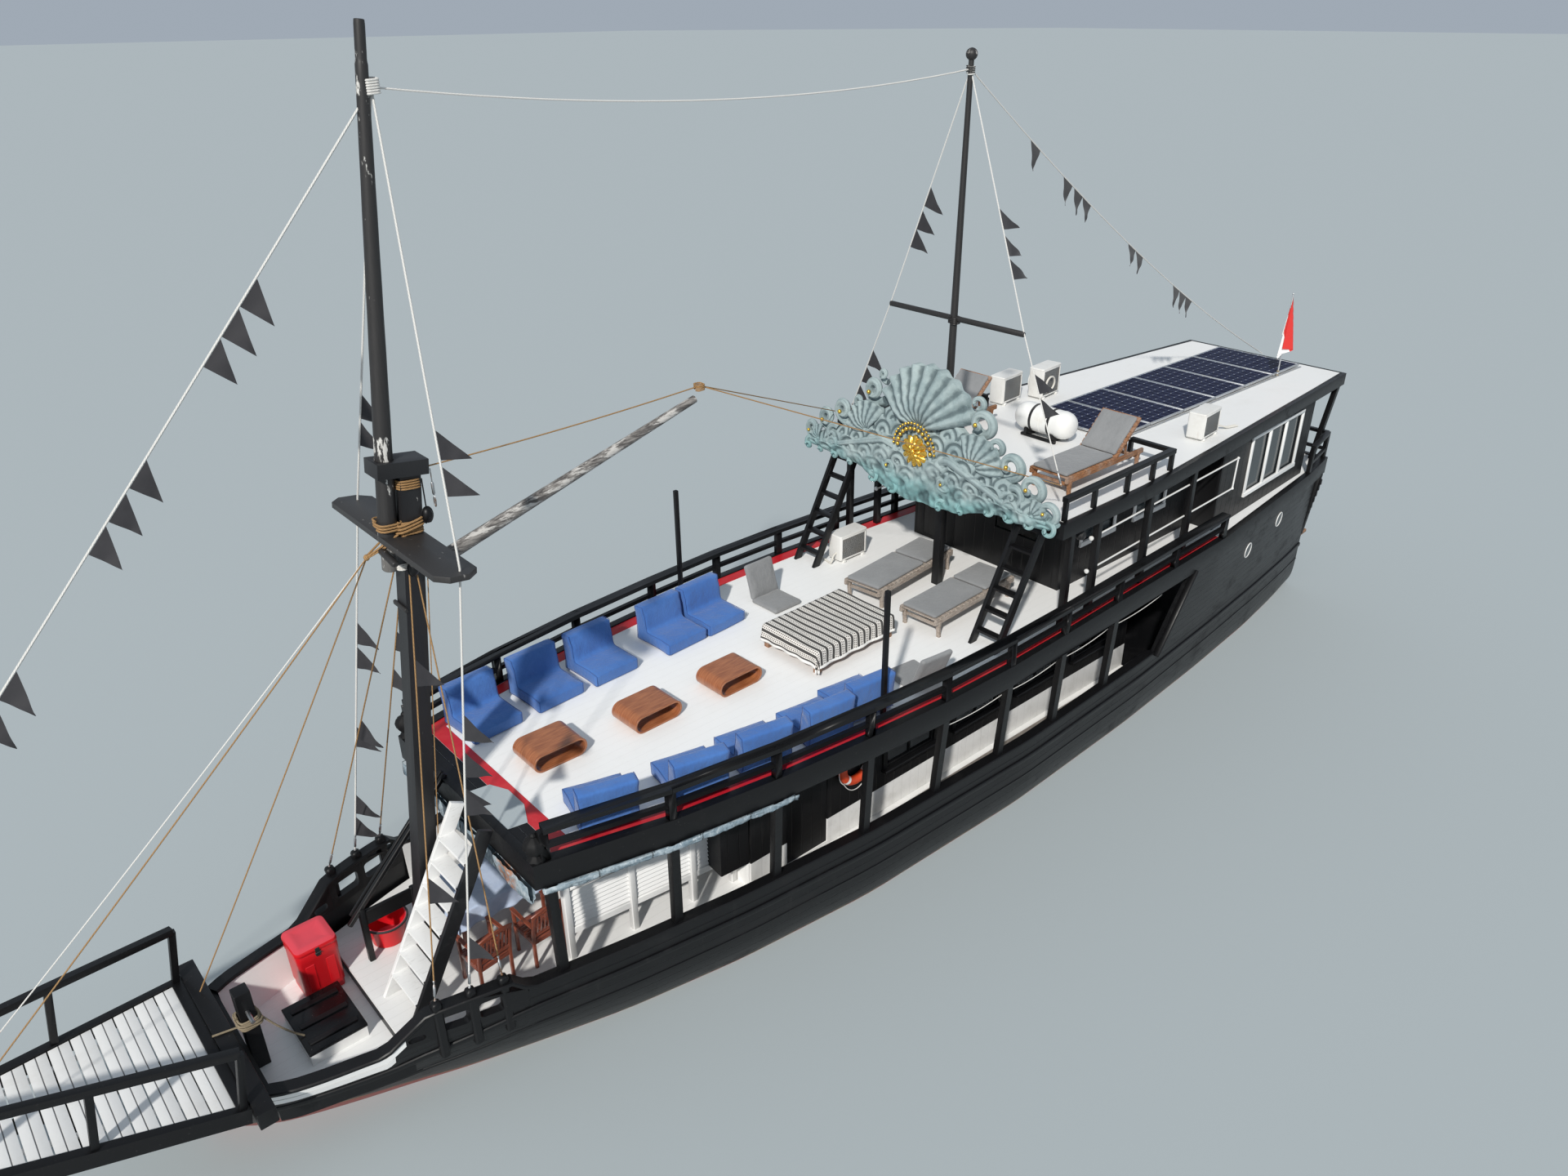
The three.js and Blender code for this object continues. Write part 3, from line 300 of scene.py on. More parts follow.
def hull_half(x, z):
    """Half breadth of the planking: the sheer's half breadth times 1 - (1 - share) ** fullness, where
    share is the height between keel and sheer, and the fullness makes the waterline's breadth right."""
    keel, sheer = faired(x, 1), faired(x, 2)
    half, water = faired(x, 3), faired(x, 4)
    afloat = np.clip(-keel / (sheer - keel), 0.02, 0.95)
    fullness = np.log(1 - np.clip(water / half, 0.02, 0.99)) / np.log(1 - afloat)
    fullness = np.where(keel < -0.25, fullness, 1.5 + np.clip(-keel / 0.25, 0, 1) * (fullness - 1.5))
    share = np.clip((z - keel) / (sheer - keel), 0, 1)
    return half * (1 - (1 - share) ** fullness)


def skin(points, around=False, ends=False):
    """Faces over a grid of points, whose rows run along the piece and whose columns run across it. around
    joins the last column to the first, and ends closes the first and last row. Its map is in metres."""
    points = np.asarray(points, float)
    rows, columns = points.shape[:2]
    row, column = (part.ravel() for part in np.mgrid[0:rows - 1, 0:columns - (not around)])
    quads = np.stack((row, row + 1, row + 1, row), 1) * columns
    quads = quads + np.stack((column, column, column + 1, column + 1), 1) % columns
    ring = np.concatenate((points, points[:, :1]), 1)
    along = np.linalg.norm(np.diff(points.mean(1), axis=0), axis=1)
    across = np.linalg.norm(np.diff(ring, axis=1), axis=2).mean(0)
    along, across = (np.concatenate(([0.0], np.cumsum(part))) for part in (along, across))
    corner_map = np.stack((
        along[np.stack((row, row + 1, row + 1, row), 1)],
        across[np.stack((column, column, column + 1, column + 1), 1)],
    ), -1)
    caps = []
    if ends:
        caps = [np.arange(columns), np.arange(columns)[::-1] + (rows - 1) * columns]
    return points.reshape(-1, 3), quads, caps, corner_map.reshape(-1, 2)


def mesh_of(name, skins, closed=True):
    """One mesh from several skins, with the faces of closed ones turned outwards."""
    corners, faces, maps, first = [], [], [], 0
    for points, quads, caps, corner_map in skins:
        corners.append(points)
        faces.extend((quads + first).tolist())
        maps.append(corner_map)
        first += len(points)
    first = 0
    for points, _, caps, _ in skins:
        faces.extend((cap + first).tolist() for cap in caps)
        maps.extend(np.zeros((len(cap), 2)) + np.arange(len(cap))[:, None] * 0.01 for cap in caps)
        first += len(points)
    mesh = bpy.data.meshes.new(name)
    mesh.from_pydata(np.concatenate(corners).tolist(), [], faces)
    layer = mesh.uv_layers.new(name="metres")
    layer.data.foreach_set("uv", np.concatenate(maps).astype(np.float32).ravel())
    if closed:
        shell = bmesh.new()
        shell.from_mesh(mesh)
        bmesh.ops.recalc_face_normals(shell, faces=shell.faces)
        shell.to_mesh(mesh)
        shell.free()
    return mesh


def piece(name, skins, finish, body="hull", smooth=40.0, bevel=0.0, replaces=(), slot=None, closed=True):
    """One finished object from several skins, riding on a body. smooth is the angle in degrees past which
    an edge stays sharp, and bevel the width that rounds its edges."""
    return finished(name, mesh_of(name, skins, closed), finish, body, smooth, bevel, replaces, slot)


def finished(name, mesh, finish, body="hull", smooth=40.0, bevel=0.0, replaces=(), slot=None):
    """Links a mesh as an object with its material, shading and body."""
    mesh.polygons.foreach_set("use_smooth", np.ones(len(mesh.polygons), bool))
    mesh.materials.append(finish)
    thing = bpy.data.objects.new(name, mesh)
    bpy.context.scene.collection.objects.link(thing)
    if bevel:
        rounding = thing.modifiers.new("rounding", "BEVEL")
        rounding.width = bevel
        rounding.segments = 2
        rounding.limit_method = "ANGLE"
        rounding.angle_limit = math.radians(30)
        rounding.harden_normals = True
    else:
        mesh.set_sharp_from_angle(angle=math.radians(smooth))
    if body:
        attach(thing, body)
    if replaces:
        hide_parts(*replaces)
    return thing


def carry(profile, path, size=1.0, up=(0.0, 0.0, 1.0)):
    """Rings of a profile carried along a path. Each ring lies square to the path, with its first number
    level to the left of the way ahead and its second number towards up, both times the size there."""
    path = np.asarray(path, float)
    ahead = np.gradient(path, axis=0)
    ahead /= np.linalg.norm(ahead, axis=1)[:, None]
    left = np.cross(np.asarray(up, float), ahead)
    left /= np.linalg.norm(left, axis=1)[:, None]
    rise = np.cross(ahead, left)
    size = np.broadcast_to(np.asarray(size, float), (len(path),) if np.ndim(size) < 2 else np.shape(size))
    size = size[:, None] * np.ones(2) if size.ndim == 1 else size
    flat = np.asarray(profile, float)[None] * size[:, None]
    return path[:, None] + flat[..., :1] * left[:, None] + flat[..., 1:] * rise[:, None]


def plank_section(width, depth, corner=0.006):
    """A rectangle about the middle with its four corners cut at 45 degrees."""
    w, d, c = width / 2, depth / 2, min(corner, width / 4, depth / 4)
    return np.array([(w - c, -d), (w, c - d), (w, d - c), (w - c, d),
                     (c - w, d), (-w, d - c), (-w, c - d), (c - w, -d)])


def round_section(radius, count=12):
    """A circle's points, anticlockwise."""
    turn = np.arange(count) * 2 * np.pi / count
    return radius * np.stack((np.cos(turn), np.sin(turn)), 1)


def plank(start, end, width, depth, corner=0.006, up=(0.0, 0.0, 1.0)):
    """A straight timber between two points, every edge eased: its ends shrink over one corner's length."""
    start, end = np.asarray(start, float), np.asarray(end, float)
    length = np.linalg.norm(end - start)
    eased = min(corner, length / 4) * (end - start) / length
    shrunk = 1 - 1.4 * corner / max(width, depth)
    path = [start, start + eased, end - eased, end]
    return skin(carry(plank_section(width, depth, corner), path, (shrunk, 1, 1, shrunk), up), True, True)


def run(path, width, depth, corner=0.006, up=(0.0, 0.0, 1.0)):
    """A timber bent along a path."""
    return skin(carry(plank_section(width, depth, corner), path, 1.0, up), True, True)


def round_bar(path, radius, count=10, up=(0.0, 0.0, 1.0)):
    """A round bar or line along a path, whose radius may change from point to point."""
    return skin(carry(round_section(1.0, count), path, radius, up), True, True)


def ball(centre, radius, count=12, squash=1.0):
    """A globe closed by its two poles: circles whose radius is the cosine of their latitude."""
    latitude = np.linspace(-np.pi / 2 + 0.02, np.pi / 2 - 0.02, count)
    turn = np.arange(2 * count) * np.pi / count
    flat = np.cos(latitude)[:, None]
    points = np.stack((flat * np.cos(turn), flat * np.sin(turn),
                       squash * np.sin(latitude)[:, None] + 0 * turn), -1)
    return skin(np.asarray(centre) + radius * points, True, True)


def both(maker):
    """The skins that a maker gives for port, which is 1, and for starboard, which is -1."""
    return [part for side in (1, -1) for part in maker(side)]


def black_paint(name, boards=0, pitch=0.16, worn=0.5, gloss=0.34):
    """Black gloss paint over timber: brushed streaks, chalked patches, and boards across axis 1 to 3."""
    f = Finish(name)
    place = f.place()
    along = f.noise(f.place((1.5, 7.0, 7.0)), 3.0, 5.0, 0.65)
    chalk = f.step(f.noise(place, 2.3, 6.0, 0.7), 0.56, 0.78)
    speck = f.step(f.noise(place, 38.0, 3.0, 0.6), 0.66, 0.8)
    shade = f.mix(chalk * (0.35 * worn), (0.0055, 0.0055, 0.0062), (0.045, 0.043, 0.042))
    shade = f.mix(speck * (0.55 * worn), shade, (0.20, 0.19, 0.18))
    rough = gloss + chalk * 0.25 + along * 0.16
    relief = along * 0.5 + f.noise(place, 22.0, 4.0, 0.6) * 0.25
    if boards:
        seam = f.groove(f.parts(place)[boards - 1] / pitch, 0.05)
        shade = f.mix(seam * 0.8, shade, (0.003, 0.003, 0.003))
        relief = relief * (1 - seam) * 0.35 + (1 - seam)
    return f.done(shade, rough, relief, 0.004 if boards else 0.0022, Specular_IOR_Level=0.30)


def hull_paint():
    """Black and red hull paint over planks: the map counts strakes, and the red rises towards the bow."""
    f = Finish("hull_paint")
    x, _, z = f.parts(f.place())
    strake = f.parts(f.map())[1]
    seam = f.groove(strake, 0.045)
    butt = f.noise(f.place((0.9, 0.9, 6.0)), 2.4, 5.0, 0.6)
    chalk = f.step(f.noise(f.place((1.0, 1.0, 1.6)), 1.7, 6.0, 0.68), 0.50, 0.80)
    runs = f.step(f.noise(f.place((5.0, 5.0, 0.5)), 1.6, 5.0, 0.7), 0.58, 0.82)
    shade = f.mix(chalk * 0.5, (0.0048, 0.0050, 0.0058), (0.022, 0.022, 0.023))
    shade = f.mix(runs * 0.3, shade, (0.055, 0.053, 0.05))
    shade = f.mix(seam * 0.7, shade, (0.002, 0.002, 0.002))
    edge = z - f.step(x, 7.6, 10.4, 0.035, 0.30) + f.noise(f.place((1.0, 1.0, 0.2)), 3.0) * 0.03
    growth = f.step(abs(edge), 0.0, 0.045, 1.0, 0.0) * f.step(f.noise(f.place(), 6.0), 0.35, 0.6)
    red = f.mix(chalk, (0.26, 0.030, 0.020), (0.34, 0.075, 0.055))
    shade = f.mix(edge < 0.0, shade, red)
    shade = f.mix(growth * 0.55, shade, (0.20, 0.15, 0.055))
    rough = 0.30 + chalk * 0.26 + butt * 0.14
    relief = (1 - seam) + butt * 0.28 + f.noise(f.place(), 14.0, 4.0) * 0.10
    return f.done(shade, rough, relief, 0.006, Specular_IOR_Level=0.32)


HULL_PAINT = hull_paint()
BLACK_TIMBER = black_paint("black_timber")
xs = np.unique(np.concatenate((np.linspace(-9.85, 7.7, 68), np.linspace(7.7, 10.95, 40),
                               (8.9, 8.905, 10.2, 10.205))))
sheer = np.where((xs > RAISED_RAIL[0]) & (xs < RAISED_RAIL[1]), np.interp(xs, RAISED_RAIL, (1.06, 0.985)),
                 faired(xs, 2))
share = np.linspace(1, 0, 26)
heights = faired(xs, 1)[:, None] + share * (sheer - faired(xs, 1))[:, None]
halves = hull_half(xs[:, None] + 0 * share, heights)
well = np.where(xs < 8.902, 0.655, np.where(xs < 10.202, 0.505, sheer))
inner = np.maximum(halves[:, 0] - BULWARK, 0.02)
side = np.stack((xs[:, None] + 0 * share, halves, heights), -1)
lip = np.stack((np.stack((xs, inner, sheer), -1), np.stack((xs, inner, well), -1)), 1)
flip = np.array((1, -1, 1))
ring = np.concatenate((side, side[:, -2::-1] * flip, lip * flip, lip[:, ::-1]), 1)
hull_points, hull_quads, hull_caps, hull_map = skin(ring, True, True)
strake_of = np.concatenate((share * STRAKES, share[-2::-1] * STRAKES, (STRAKES + 0.4, STRAKES + 0.8),
                            (STRAKES + 1.2, STRAKES + 1.6), (STRAKES + 2.0,)))
columns = ring.shape[1]
hull_map[:, 1] = strake_of[np.tile(np.stack([np.arange(columns) + k for k in (0, 0, 1, 1)], 1),
                                   (len(xs) - 1, 1)).ravel()]
piece("hull_planking", [(hull_points, hull_quads, hull_caps, hull_map)], HULL_PAINT, replaces=("hull",),
      slot="hull_planking")


def deck_half(x):
    """Half breadth of the upper deck's outline, along straight lines between its corners."""
    edge = np.array([(-10.05, 1.60), (-8.90, 1.80), (-5.20, 2.20), (-2.00, 2.32), (-0.60, 2.38),
                     (0.64, 2.41), (1.92, 2.39), (3.20, 2.30), (4.58, 2.16), (5.92, 1.95), (7.46, 1.58)])
    return np.interp(x, edge[:, 0], edge[:, 1])


def quarter_side(side):
    """The planked side that runs up to the deck above the rail: straight from the sheer to the deck's edge,
    with a slanted front edge, and six centimetres thick."""
    height = np.linspace(0, 1, 12)
    z = 1.15 + height * (QUARTER_TOP - 1.15)
    front = -3.45 - 0.91 * np.clip((z - 1.2) / 1.3, 0, 1)
    share = np.linspace(0, 1, 40)[:, None]
    x = -9.85 + share * (front + 9.85)
    low, high = hull_half(x, 1.19), deck_half(x) - 0.058
    y = low + height * (high - low)
    out = np.stack((x, y, z + 0 * x), -1)
    grid = np.concatenate((out, (out - (0, 0.07, 0))[:, ::-1]), 1) * (1, side, 1)
    points, quads, caps, cmap = skin(grid, True, True)
    cmap[:, 1] *= 8.2
    return [(points, quads, caps, cmap)]


piece("quarter_sides", both(quarter_side), HULL_PAINT, slot="hull_planking")
piece("quarter_timbers", both(lambda s: [
    plank((-3.43, s * 2.245, 1.17), (-4.33, s * 2.215, 2.41), 0.10, 0.085, 0.01),
    plank((-9.87, s * 1.44, 1.1), (-9.87, s * 1.58, 2.42), 0.12, 0.10, 0.01, (1, 0, 0)),
]), BLACK_TIMBER)
piece("transom_boards", [
    plank((-9.865, 1.5 + 0.02 * k, 1.24 + 0.128 * k), (-9.865, -1.5 - 0.02 * k, 1.24 + 0.128 * k), 0.05,
          0.118, 0.008)
    for k in range(9)
], BLACK_TIMBER)


def rail_line(x0, x1, inset, lift, count=60):
    """Points along the top of the bulwark, a distance inside its face."""
    x = np.linspace(x0, x1, count)
    z = faired(x, 2)
    return np.stack((x, hull_half(x, z) - inset, z + lift), 1)


def moulding_line(x0, x1, drop, proud, count=70):
    """Points along the planking, a distance below the sheer line of the straight part."""
    x = np.linspace(x0, x1, count)
    z = np.interp(x, (7.7, 9.2), (1.2, 0.985)) - drop
    return np.stack((x, hull_half(x, z) + proud, z), 1)


piece("bulwark_cap", both(lambda s: [
    run(rail_line(-3.40, 10.24, 0.05, 0.012, 110) * (1, s, 1), 0.165, 0.05, 0.012),
]), BLACK_TIMBER, slot="black_timber")
piece("wales", both(lambda s: [
    run(moulding_line(-9.83, 10.25, 0.30, 0.004) * (1, s, 1), 0.045, 0.075, 0.016),
    run(moulding_line(-9.83, 9.9, 0.62, 0.0) * (1, s, 1), 0.022, 0.035, 0.008),
]), HULL_PAINT)


# Keel, stem and stern post: sawn timbers on the centreline, seen from the side as one curved outline. They
# close the planking's seams and carry its paint.
KEEL_OUTER = [(-8.9, -1.25), (8.0, -1.25), (9.3, -1.04), (10.05, -0.72), (10.52, -0.26), (10.82, 0.3),
              (11.01, 0.985)]
KEEL_INNER = [(-8.9, -0.62), (-6.0, -0.92), (9.0, -0.72), (10.3, -0.15), (10.6, 0.35), (10.78, 0.985)]


def along_line(points, count):
    """Points spaced evenly along a bent line, with its corners eased by a running mean."""
    points = np.asarray(points, float)
    length = np.concatenate(([0], np.cumsum(np.linalg.norm(np.diff(points, axis=0), axis=1))))
    at = np.linspace(0, length[-1], count)
    even = np.stack([np.interp(at, length, part) for part in points.T], 1)
    eased = even.copy()
    eased[1:-1] = (even[:-2] + even[1:-1] * 2 + even[2:]) / 4
    return eased


outer, inner_edge = along_line(KEEL_OUTER, 60), along_line(KEEL_INNER, 60)
keel_ring = np.stack([np.stack((edge[:, 0], np.full(60, y), edge[:, 1]), 1) for edge, y in (
    (outer, 0.05), (outer, -0.05), (outer * (1, 1) + (-0.02, 0.02), -0.07), (inner_edge, -0.07),
    (inner_edge, 0.07), (outer * (1, 1) + (-0.02, 0.02), 0.07))], 1)
piece("keel_and_stem", [
    skin(keel_ring, True, True),
    plank((-9.865, 0, -0.43), (-9.865, 0, 0.9), 0.15, 0.12, 0.01, (1, 0, 0)),
], HULL_PAINT)


# Raised rail beside the foremast: sawn panels with round-cornered openings under the cap, and the
# heads of the timbers that take the shrouds.
RAIL_BAYS = [  # aft end, fore end, opening's aft end, fore end, bottom, top
    (7.72, 8.285, 7.975, 8.235, 1.055, 1.265),
    (8.285, 8.72, 8.335, 8.635, 1.055, 1.255),
    (8.72, 9.14, 8.78, 8.955, 1.035, 1.115),
]


def round_box(x0, x1, z0, z1, radius, count=6):
    """A closed line round a rectangle with round corners: each corner is a quarter circle."""
    turn = np.linspace(0, np.pi / 2, count)
    centres = ((x1 - radius, z1 - radius), (x0 + radius, z1 - radius), (x0 + radius, z0 + radius),
               (x1 - radius, z0 + radius))
    corners = []
    for k, (cx, cz) in enumerate(centres):
        aim = turn + k * np.pi / 2
        corners.append(np.stack((cx + radius * np.cos(aim), cz + radius * np.sin(aim)), 1))
    return np.concatenate(corners)


def rail_bay(bay, side):
    """A panel round one opening. Its ring goes out over the outer edge and back through the opening."""
    x0, x1, hole0, hole1, low, high = bay
    rim = round_box(x0, x1, 0.97, 1.36, 0.002)
    hole = round_box(hole0, hole1, low, high, min(0.045, (high - low) / 2.1))
    top = np.minimum(faired(rim[:, 0], 2), 1.37) - 0.01
    rim[:, 1] = np.where(rim[:, 1] > 1.1, top, rim[:, 1])
    layers = []
    for line, inset in ((rim, -0.004), (hole, -0.004), (hole, 0.1), (rim, 0.1)):
        layers.append(np.stack((line[:, 0], hull_half(line[:, 0], line[:, 1]) - inset, line[:, 1]), 1))
    grid = np.stack(layers, 0)
    grid = np.concatenate((grid, grid[:1]), 0) * (1, side, 1)
    return skin(grid, True)


SHROUD_POSTS = ((8.63, 1.375), (8.28, 1.45), (7.94, 1.52))
piece("raised_rail", both(lambda s: [rail_bay(bay, s) for bay in RAIL_BAYS]), BLACK_TIMBER)
piece("shroud_posts", both(lambda s: [
    skin(carry(plank_section(0.1, 0.1, 0.018),
               np.array([(x, s * y, z) for z in (0.72, 1.40, 1.445, 1.475, 1.49)]),
               (1, 1, 1.12, 0.95, 0.55), (1, 0, 0)), True, True)
    for x, y in SHROUD_POSTS
]), BLACK_TIMBER)


# Decks: softwood planks laid fore and aft, caulked and painted white. Walked-on paint is dirty along the
# seams, and the side decks of the main deck are grey-brown outside the house.
OIL_WHITE = (0.80, 0.80, 0.79)
ON_MAIN_DECK = 0.7005  # height where things stand, half a millimetre above the planks
ON_UPPER_DECK = 2.7005
UPPER_DECK = 2.70
ROOF_TOP = 4.40


def white_paint(name, boards=0, pitch=0.12, grime=0.35, tint=OIL_WHITE, rough=0.5):
    """White oil paint over timber, greyed in patches, with board seams across axis 1 to 3."""
    f = Finish(name)
    place = f.place()
    dirt = f.step(f.noise(place, 1.1, 6.0, 0.7), 0.48, 0.80)
    scuff = f.step(f.noise(f.place((0.6, 5.0, 5.0)), 5.0, 5.0, 0.7), 0.60, 0.80)
    shade = f.mix(dirt * grime, tint, (0.56, 0.55, 0.51))
    shade = f.mix(scuff * grime * 0.6, shade, (0.42, 0.40, 0.37))
    relief = f.noise(place, 18.0, 4.0) * 0.3
    if boards:
        seam = f.groove(f.parts(place)[boards - 1] / pitch, 0.03)
        shade = f.mix(seam * (0.10 + 0.3 * grime), shade, (0.45, 0.44, 0.42))
        relief = relief + (1 - seam) * 0.4
    return f.done(shade, rough + dirt * 0.2, relief, 0.0025)


def main_deck_paint():
    """White deck paint that turns grey-brown on the side decks outside the house."""
    f = Finish("main_deck_paint")
    place = f.place()
    x, y, _ = f.parts(place)
    seam = f.groove(y / 0.13, 0.04)
    dirt = f.step(f.noise(place, 1.6, 6.0, 0.7), 0.45, 0.8)
    side = f.step(abs(y), 1.70, 1.72) * f.step(x, 4.60, 4.75, 1.0, 0.0)
    shade = f.mix(dirt * 0.3, OIL_WHITE, (0.55, 0.53, 0.49))
    # The side decks outside the house, aft of x = 4.7, are grey-brown.
    bare = f.mix(dirt, (0.16, 0.14, 0.125), (0.27, 0.25, 0.22))
    shade = f.mix(side, shade, bare)
    shade = f.mix(seam * 0.2, shade, (0.30, 0.29, 0.27))
    return f.done(shade, 0.55 + dirt * 0.2, (1 - seam) * 0.4 + f.noise(place, 20.0) * 0.2, 0.002)


def red_paint():
    """Deep red gloss paint, slightly faded in patches."""
    f = Finish("red_paint")
    place = f.place()
    fade = f.step(f.noise(place, 2.5, 5.0, 0.65), 0.4, 0.8)
    shade = f.mix(fade, (0.52, 0.012, 0.022), (0.60, 0.050, 0.055))
    return f.done(shade, 0.42 + fade * 0.2, f.noise(place, 30.0, 4.0) * 0.5, 0.0015)


def dress(node, finish, body="hull", bevel=0.008):
    """A copy of a CAD node with its triangles merged, its level faces joined and its edges eased."""
    mesh = nodes[node].data.copy()
    shell = bmesh.new()
    shell.from_mesh(mesh)
    bmesh.ops.remove_doubles(shell, verts=shell.verts, dist=2e-5)
    bmesh.ops.dissolve_limit(shell, angle_limit=math.radians(1.0), verts=shell.verts, edges=shell.edges)
    shell.to_mesh(mesh)
    shell.free()
    mesh.materials.clear()
    return finished(f"{node}_eased", mesh, finish, body, bevel=bevel, replaces=(node,))


def paint_node(node, finish):
    """Gives a CAD node a finish in place of its plain one."""
    mesh = nodes[node].data
    mesh.materials.clear()
    mesh.materials.append(finish)


DECK_WHITE = white_paint("deck_white", 2, 0.14, 0.16, (0.88, 0.88, 0.87))
SMOOTH_WHITE = white_paint("smooth_white", 0, 0.1, 0.3)
RED_PAINT = red_paint()
paint_node("main_deck", main_deck_paint())
paint_node("foredeck", white_paint("foredeck_white", 2, 0.16, 0.5))
paint_node("upper_deck", DECK_WHITE)

piece("bulwark_lining", both(lambda s: [
    skin(np.stack([np.stack((x, hull_half(x, z) - 0.101 - proud, z), 1) for z, proud in (
        (faired(x, 2) - 0.02, 0.0), (faired(x, 2) - 0.02, 0.012), (0 * x + base, 0.012),
        (0 * x + base, 0.0))], 1)
        * (1, s, 1), True, True)
    for x, base in ((np.linspace(-3.4, 7.70, 50), 0.70), (np.linspace(9.15, 10.19, 12), 0.55))
]), SMOOTH_WHITE)


def edge_strip(inner, outer, x0, x1, count=40):
    """A thin painted board along the upper deck's edge, between two distances from its outline."""
    x = np.linspace(x0, x1, count)
    rows = [(inner, 2.7003), (inner, 2.704), (outer, 2.704), (outer, 2.7003)]
    return lambda s: [skin(np.stack([
        np.stack((x, s * (deck_half(x) - inset), 0 * x + z), 1) for inset, z in rows], 1), True, True)]


piece("red_border", both(edge_strip(0.30, 0.114, -5.15, 7.345)) + [
    plank((7.02, 1.43, 2.7025), (7.02, -1.43, 2.7025), 0.20, 0.004, 0.001),
], RED_PAINT)
piece("front_margin_boards", [
    plank((7.18 + 0.112 * k, 1.36 - 0.025 * k, 2.7035), (7.18 + 0.112 * k, -1.36 + 0.025 * k, 2.7035),
          0.108, 0.006, 0.002)
    for k in range(2)
], BLACK_TIMBER)
STAIR_LANDING = [(7.345, -0.02), (7.10, 0.02), (6.99, 0.25), (6.99, 0.60), (7.12, 0.90), (7.345, 0.86)]
landing = bpy.data.meshes.new("stair_landing")
landing_sides = [(k, (k + 1) % 6, (k + 1) % 6 + 6, k + 6) for k in range(6)]
landing.from_pydata([(x, y, z) for z in (2.7003, 2.7095) for x, y in STAIR_LANDING], [],
                    [tuple(range(5, -1, -1)), tuple(range(6, 12))] + landing_sides)
GREY_PAINT = white_paint("grey_deck_paint", 0, 0.1, 0.4, (0.40, 0.45, 0.47))
finished("stair_landing", landing, GREY_PAINT)


# Upper deck frame and rails: sawn timbers in black gloss paint, with the deck's edge beam on posts that
# stand on the bulwark. Dark turned finials stand on the front corners of the beam.
for node in ("upper_deck_frame", "deck_rail_port", "deck_rail_starboard", "stern_rail", "roof_frame",
             "roof_rail_port", "roof_rail_starboard", "ladder_port", "ladder_starboard",
             "awning_post_port", "awning_post_starboard", "bow_beam", "samson_post",
             "platform_frame", "platform_rails"):
    dress(node, BLACK_TIMBER, bevel=0.009)

FINIAL = [  # radius, height of the turned finial, from its foot
    (0.001, 0.0), (0.085, 0.0), (0.09, 0.02), (0.06, 0.045), (0.045, 0.07), (0.075, 0.10), (0.105, 0.15),
    (0.112, 0.20), (0.095, 0.25), (0.05, 0.285), (0.03, 0.30), (0.035, 0.32), (0.02, 0.345), (0.001, 0.35)]


def turned(profile, centre, count=28, lobes=0, depth=0.0):
    """A piece turned on a lathe: each ring of the profile is a circle, cut into lobes if asked."""
    profile = np.asarray(profile, float)
    turn = np.arange(count) * 2 * np.pi / count
    swell = 1 + depth * np.abs(np.sin(lobes * turn / 2)) if lobes else 1 + 0 * turn
    radius = profile[:, :1] * swell
    points = np.stack((radius * np.cos(turn), radius * np.sin(turn), profile[:, 1:] + 0 * turn), -1)
    return skin(points + np.asarray(centre), True, True)


DARK_CARVING = black_paint("dark_carving", worn=0.2, gloss=0.6)
piece("corner_finials", both(lambda s: [turned(FINIAL, (7.37, s * 1.50, 2.7205), 32, 8, 0.12)]),
      DARK_CARVING)


# Deckhouse: black vertical boards on the side walls with open windows, a white front wall, and the
# louvred sides of the dining deck ahead of it.
HOUSE_BOARDS = black_paint("house_boards", 1, 0.17, 0.35, 0.42)


def house_paint():
    """Black vertical boards above, a white painted band along the foot of the wall."""
    f = Finish("house_side_paint")
    place = f.place()
    x, _, z = f.parts(place)
    seam = f.groove(x / 0.17, 0.05)
    streak = f.noise(f.place((6.0, 6.0, 0.8)), 3.0, 5.0, 0.65)
    band = z < 1.12
    dirt = f.step(f.noise(place, 3.0, 5.0, 0.7), 0.45, 0.8)
    black = f.mix(f.step(streak, 0.5, 0.8) * 0.5, (0.0055, 0.0055, 0.0062), (0.030, 0.029, 0.028))
    white = f.mix(dirt * 0.5, OIL_WHITE, (0.50, 0.49, 0.46))
    shade = f.mix(seam * (0.6 - band * 0.5), f.mix(band, black, white), (0.01, 0.01, 0.01))
    return f.done(shade, 0.42 + streak * 0.2, (1 - seam) * (1 - band * 0.7) + streak * 0.3, 0.004,
                  Specular_IOR_Level=0.30)


HOUSE_SIDE_PAINT = house_paint()
for side in ("port", "starboard"):
    dress(f"deckhouse_wall_{side}", HOUSE_SIDE_PAINT, bevel=0.005)
    dress(f"deckhouse_door_{side}", HOUSE_BOARDS, f"deckhouse_door_{side}", 0.004)
dress("deckhouse_front_wall", white_paint("house_front_white", 2, 0.15, 0.3), bevel=0.004)

